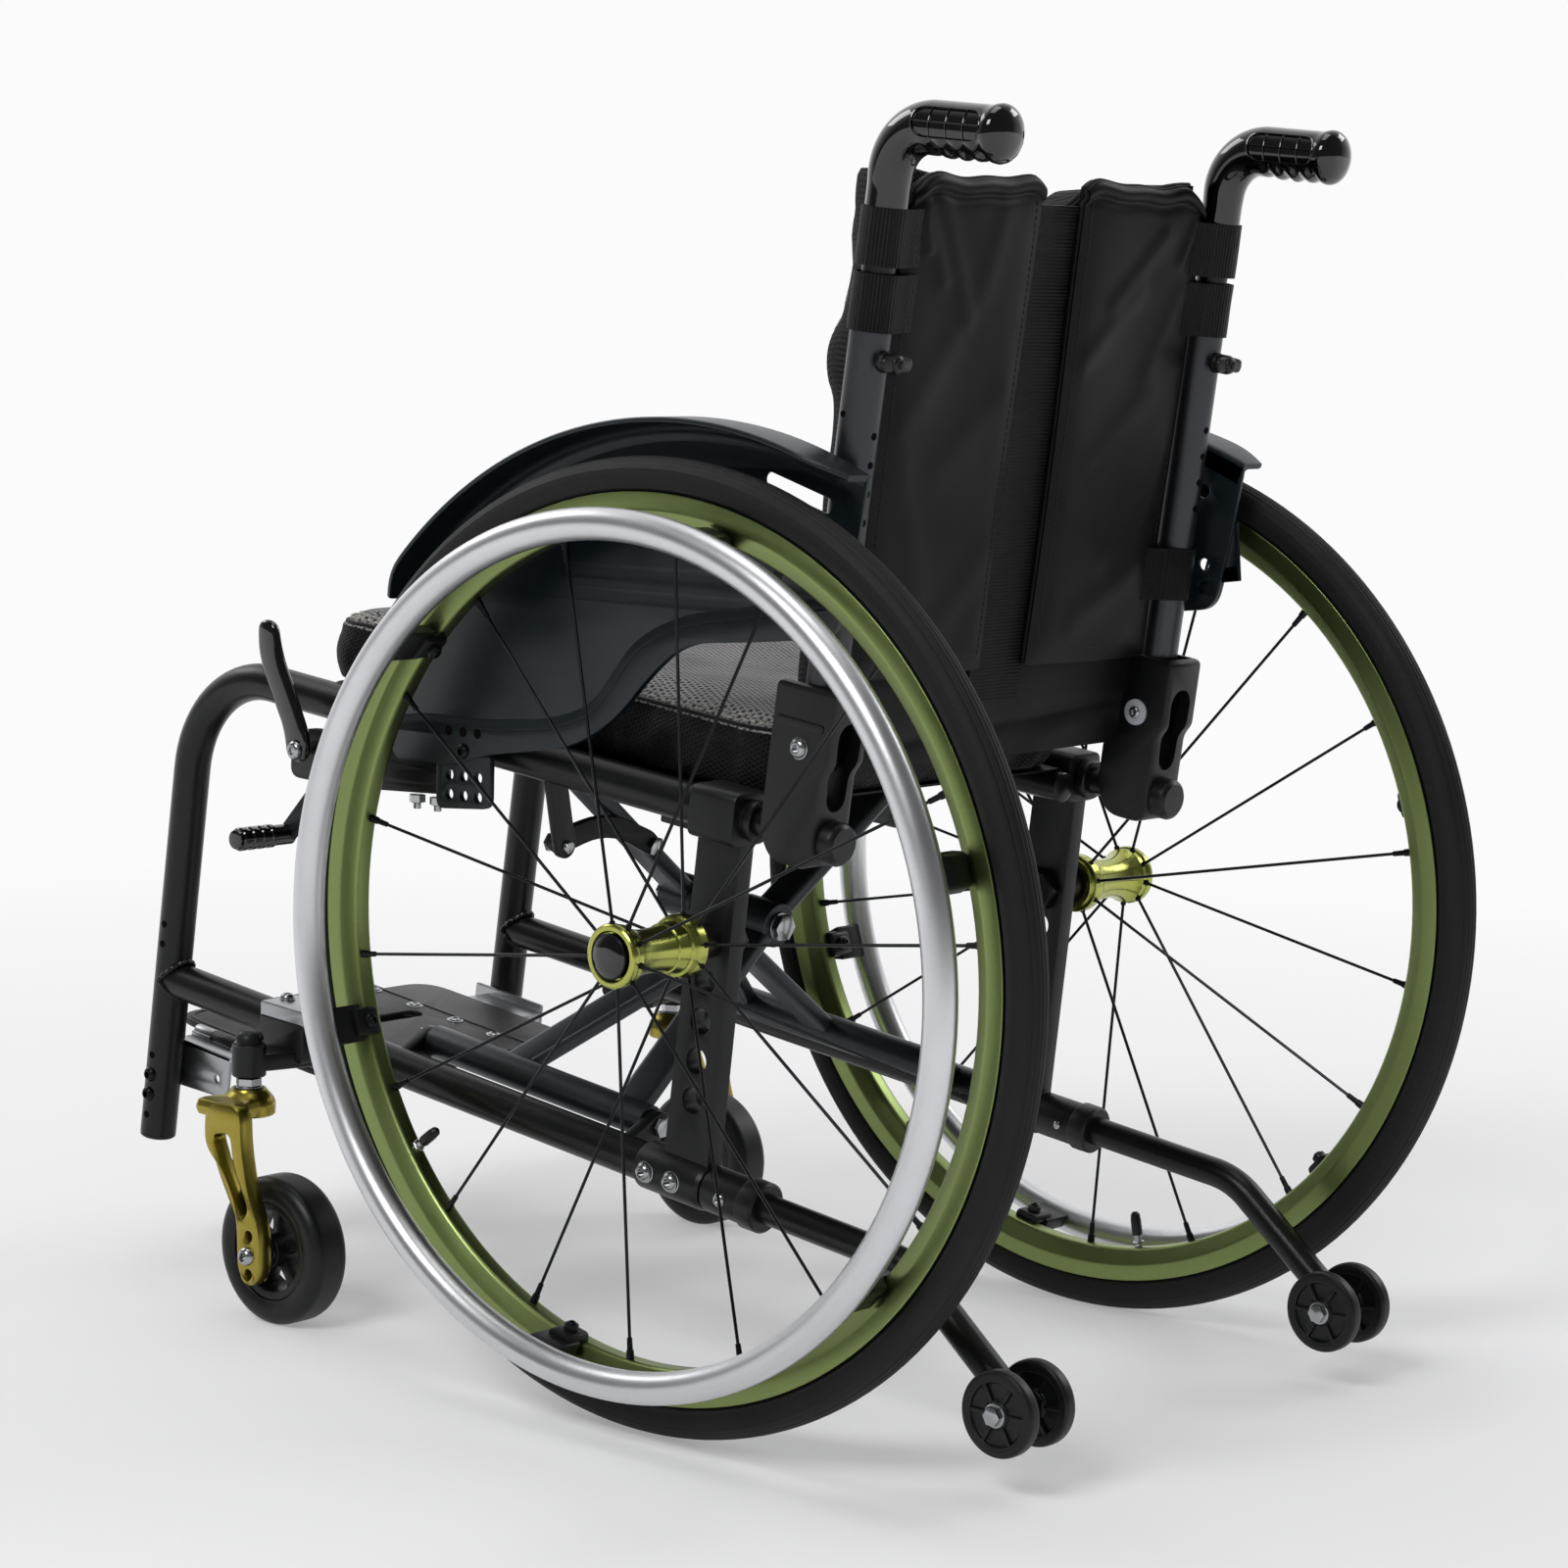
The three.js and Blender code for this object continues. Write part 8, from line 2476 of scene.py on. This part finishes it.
    def sling(self) -> Shell:
        """Sling stretched over the rails, wrapped down round them."""
        rail, over = 10.4, 11.9
        arc = [math.radians(d) for d in (35, 45, 55, 65, 75, 85, 90)]
        outer, inner = ([(RAIL_X + r * math.cos(t), r * math.sin(t) - RAIL_DROP) for t in arc]
                        for r in (over, rail))
        middle = [(x, outer[-1][1]) for x in np.linspace(120, -120, 17)]
        under = [(x, inner[-1][1]) for x in np.linspace(-120, 120, 17)]
        ring = outer + middle + [(-x, z) for x, z in outer[::-1]]
        ring += [(-x, z) for x, z in inner] + under + inner[::-1]
        rings = [[(x, y, z) for x, z in ring] for y in np.linspace(-371, 25, 12)]
        return loft(rings)

    def build(self) -> None:
        """Makes the sling and the cushion in place of the CAD's ones."""
        sling = Piece("sling", "cross_arm_a", None, "cloth_black")
        cloth = sling.add(PACK_CLOTH, self.sling(), turn=ALONG_SEAT).mesh(crease=60)
        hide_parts("seat_sling")
        self.bend(cloth, RAIL_X)
        side, top, seams = self.cushion_shells()
        cover = Piece("cushion", "cross_arm_a", None, "mesh_grey")
        cover.add(SPACER, top, turn=ALONG_SEAT).add(SIDE_MESH, side, turn=ALONG_SEAT)
        rings = [[ALONG_SEAT @ (p + Vector((0, 0, 0.3))) for p in seam + seam[:1]]
                 for seam in seams]
        cover.add(BINDING, cord_along(rings[0], 1.3))
        for ring in rings[1:]:
            cover.add(THREAD, stitches(ring, 5.4, 3.6, 0.75))
        pillow = cover.mesh(crease=60)
        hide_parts("seat_cushion")
        self.bend(pillow, self.bend_reach)

    @staticmethod
    def bend(cloth: bpy.types.Object, reach: float) -> None:
        """Bakes a cloth's placement into its mesh."""
        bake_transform(cloth)


# studio


def seen_ray(tree: bpy.types.NodeTree) -> bpy.types.Node:
    """1 for rays of the camera, a mirror or glass, otherwise 0."""
    ray = add_node(tree, "LightPath").outputs
    mirror = add_node(tree, "Math", (ray["Is Glossy Ray"], ray["Is Transmission Ray"]),
                      operation="MAXIMUM")
    return add_node(tree, "Math", (ray["Is Camera Ray"], mirror), operation="MAXIMUM")


@dataclass(frozen=True)
class Studio:
    """Pale floor, soft lights and the camera at the photograph's angle.

    Args:
        azimuth: Direction from the chair to the camera, in degrees.
        elevation: Height of the camera over the chair, in degrees.
        roll: Lean of the picture, in degrees.
        focal_pixels: Focal length in pixels of the photograph.
        picture: Width of the photograph in pixels.
        place: Where the camera stands, in millimetres from the axle.
        paper: Colour of the floor and the background.
        fade: Distances in metres at which the floor starts and ends to fade into the background.
        ambient: Strength of the surroundings as a light.
        room: Share of it that comes from the dark side of the room.
        backdrop: Direction of the bright side.
        turn: Where the dark side ends and the bright one starts, as shares of that direction.
        target: What the lamps aim at, in metres.
        sensor: Width of the sensor in millimetres.
    """

    azimuth: float = 130.927
    elevation: float = 7.017
    roll: float = 1.326
    focal_pixels: float = 4084.888
    picture: int = 1600
    place: tuple[float, float, float] = (1973.4, 1618.0, 692.7)
    paper: str = "#fbfbfc"
    fade: tuple[float, float] = (0.5, 2.2)
    ambient: float = 1.0
    room: float = 0.12
    backdrop: tuple[float, float, float] = (-0.75, -0.65, 0.1)
    turn: tuple[float, float] = (0.1, 0.75)
    target: tuple[float, float, float] = (0, 0, 0.4)
    sensor: float = 36.0

    def floor(self) -> None:
        """Large pale floor that keeps the chair's shadow."""
        mesh = bpy.data.meshes.new("studio_floor")
        reach = 40.0
        corners = [(x * reach, y * reach, 0) for x, y in ((-1, -1), (1, -1), (1, 1), (-1, 1))]
        mesh.from_pydata(corners, [], [(0, 1, 2, 3)])
        material = bpy.data.materials.new("paper_floor")
        material.use_nodes = True
        tree = material.node_tree
        tree.nodes.clear()
        matt = add_node(tree, "BsdfDiffuse", {"Color": linear(self.paper), "Roughness": 0.4})
        glow = add_node(tree, "Emission", {"Color": linear(self.paper), "Strength": 1.0})
        where = add_node(tree, "TexCoord").outputs["Object"]
        span = add_node(tree, "VectorMath", (where,), operation="LENGTH").outputs["Value"]
        far = add_node(tree, "MapRange", (span, *self.fade, 0.3, 1.0))
        share = add_node(tree, "Math", (far, seen_ray(tree)), operation="MULTIPLY")
        mix = add_node(tree, "MixShader", (share, matt, glow))
        add_node(tree, "OutputMaterial", (mix,))
        mesh.materials.append(material)
        linked("studio_floor", mesh)

    def world(self) -> None:
        """Soft even surroundings, white where the camera or a mirror sees them."""
        world = bpy.data.worlds.new("studio")
        bpy.context.scene.world = world
        world.use_nodes = True
        tree = world.node_tree
        tree.nodes.clear()
        where = add_node(tree, "TexCoord").outputs["Generated"]
        toward = add_node(tree, "VectorMath", (where, self.backdrop), operation="DOT_PRODUCT")
        wall = add_node(tree, "MapRange", (toward.outputs["Value"], *self.turn, self.room, 1.0))
        path = add_node(tree, "LightPath").outputs["Is Camera Ray"]
        strength = add_node(tree, "MapRange", (seen_ray(tree), 0, 1, self.ambient, 1.0))
        lit = add_node(tree, "Math", (wall, path), operation="MAXIMUM")
        dimmed = add_node(tree, "Math", (strength, lit), operation="MULTIPLY")
        shade = add_node(tree, "Background", {"Color": linear(self.paper), "Strength": dimmed})
        add_node(tree, "OutputWorld", (shade,))

    def lamp(self, name: str, place: Point, size: tuple[float, float], power: float) -> None:
        """Soft rectangular lamp aimed at the middle of the chair."""
        data = bpy.data.lights.new(name, "AREA")
        data.shape, data.size, data.size_y = "RECTANGLE", size[0], size[1]
        data.energy = power
        obj = linked(name, data)
        obj.location = place
        aim = Vector(self.target) - Vector(place)
        obj.rotation_euler = aim.to_track_quat("-Z", "Y").to_euler()

    def camera(self) -> None:
        """Camera solved from the photograph's wheels and frame."""
        a, e, r = (math.radians(v) for v in (self.azimuth, self.elevation, self.roll))
        back = Vector((math.sin(a) * math.cos(e), -math.cos(a) * math.cos(e), math.sin(e)))
        flat = Vector((0, 0, 1)).cross(back).normalized()
        up = back.cross(flat)
        right = flat * math.cos(r) + up * math.sin(r)
        up = up * math.cos(r) - flat * math.sin(r)
        data = bpy.data.cameras.new("camera")
        data.sensor_fit, data.sensor_width = "HORIZONTAL", self.sensor
        data.lens = self.focal_pixels / self.picture * self.sensor
        data.clip_start, data.clip_end = 0.05, 200.0
        obj = linked("camera", data)
        x, y, z = (v * MM for v in self.place)
        obj.matrix_world = Matrix((
            (right.x, up.x, back.x, x), (right.y, up.y, back.y, y + SHIFT_Y),
            (right.z, up.z, back.z, z), (0, 0, 0, 1)))
        bpy.context.scene.camera = obj

    def build(self) -> None:
        """Sets up the whole studio."""
        self.floor()
        self.world()
        self.camera()
        self.lamp("key", (4.2, 0.6, 3.9), (2.2, 1.5), 104)
        self.lamp("fill", (-4.2, 1.8, 3.4), (2.2, 1.5), 50)
        self.lamp("rim", (0.6, -4.8, 3.8), (2.4, 1.8), 48)
        self.lamp("top", (0, 0, 5.0), (2.6, 2.6), 44)
        bpy.context.scene.view_settings.view_transform = "Standard"


def main() -> None:
    """Builds the chair and its studio."""
    logging.basicConfig(level=logging.INFO, format="%(name)s: %(message)s")
    Studio().build()
    for side in Side:
        for maker in (RearWheel, SideFrame, Caster, BackPost, SideGuard, Brake, AntiTip):
            maker(side).build()
        fold_link(side)
    CrossArm(Side.LEFT, 15, -65, 41).build()
    CrossArm(Side.RIGHT, -52, -112, -35).build()
    pivot_bolt()
    footplate()
    foot_brackets()
    Backrest().build()
    Seat().build()
    bpy.context.view_layer.update()


if __name__ == "__main__":
    main()
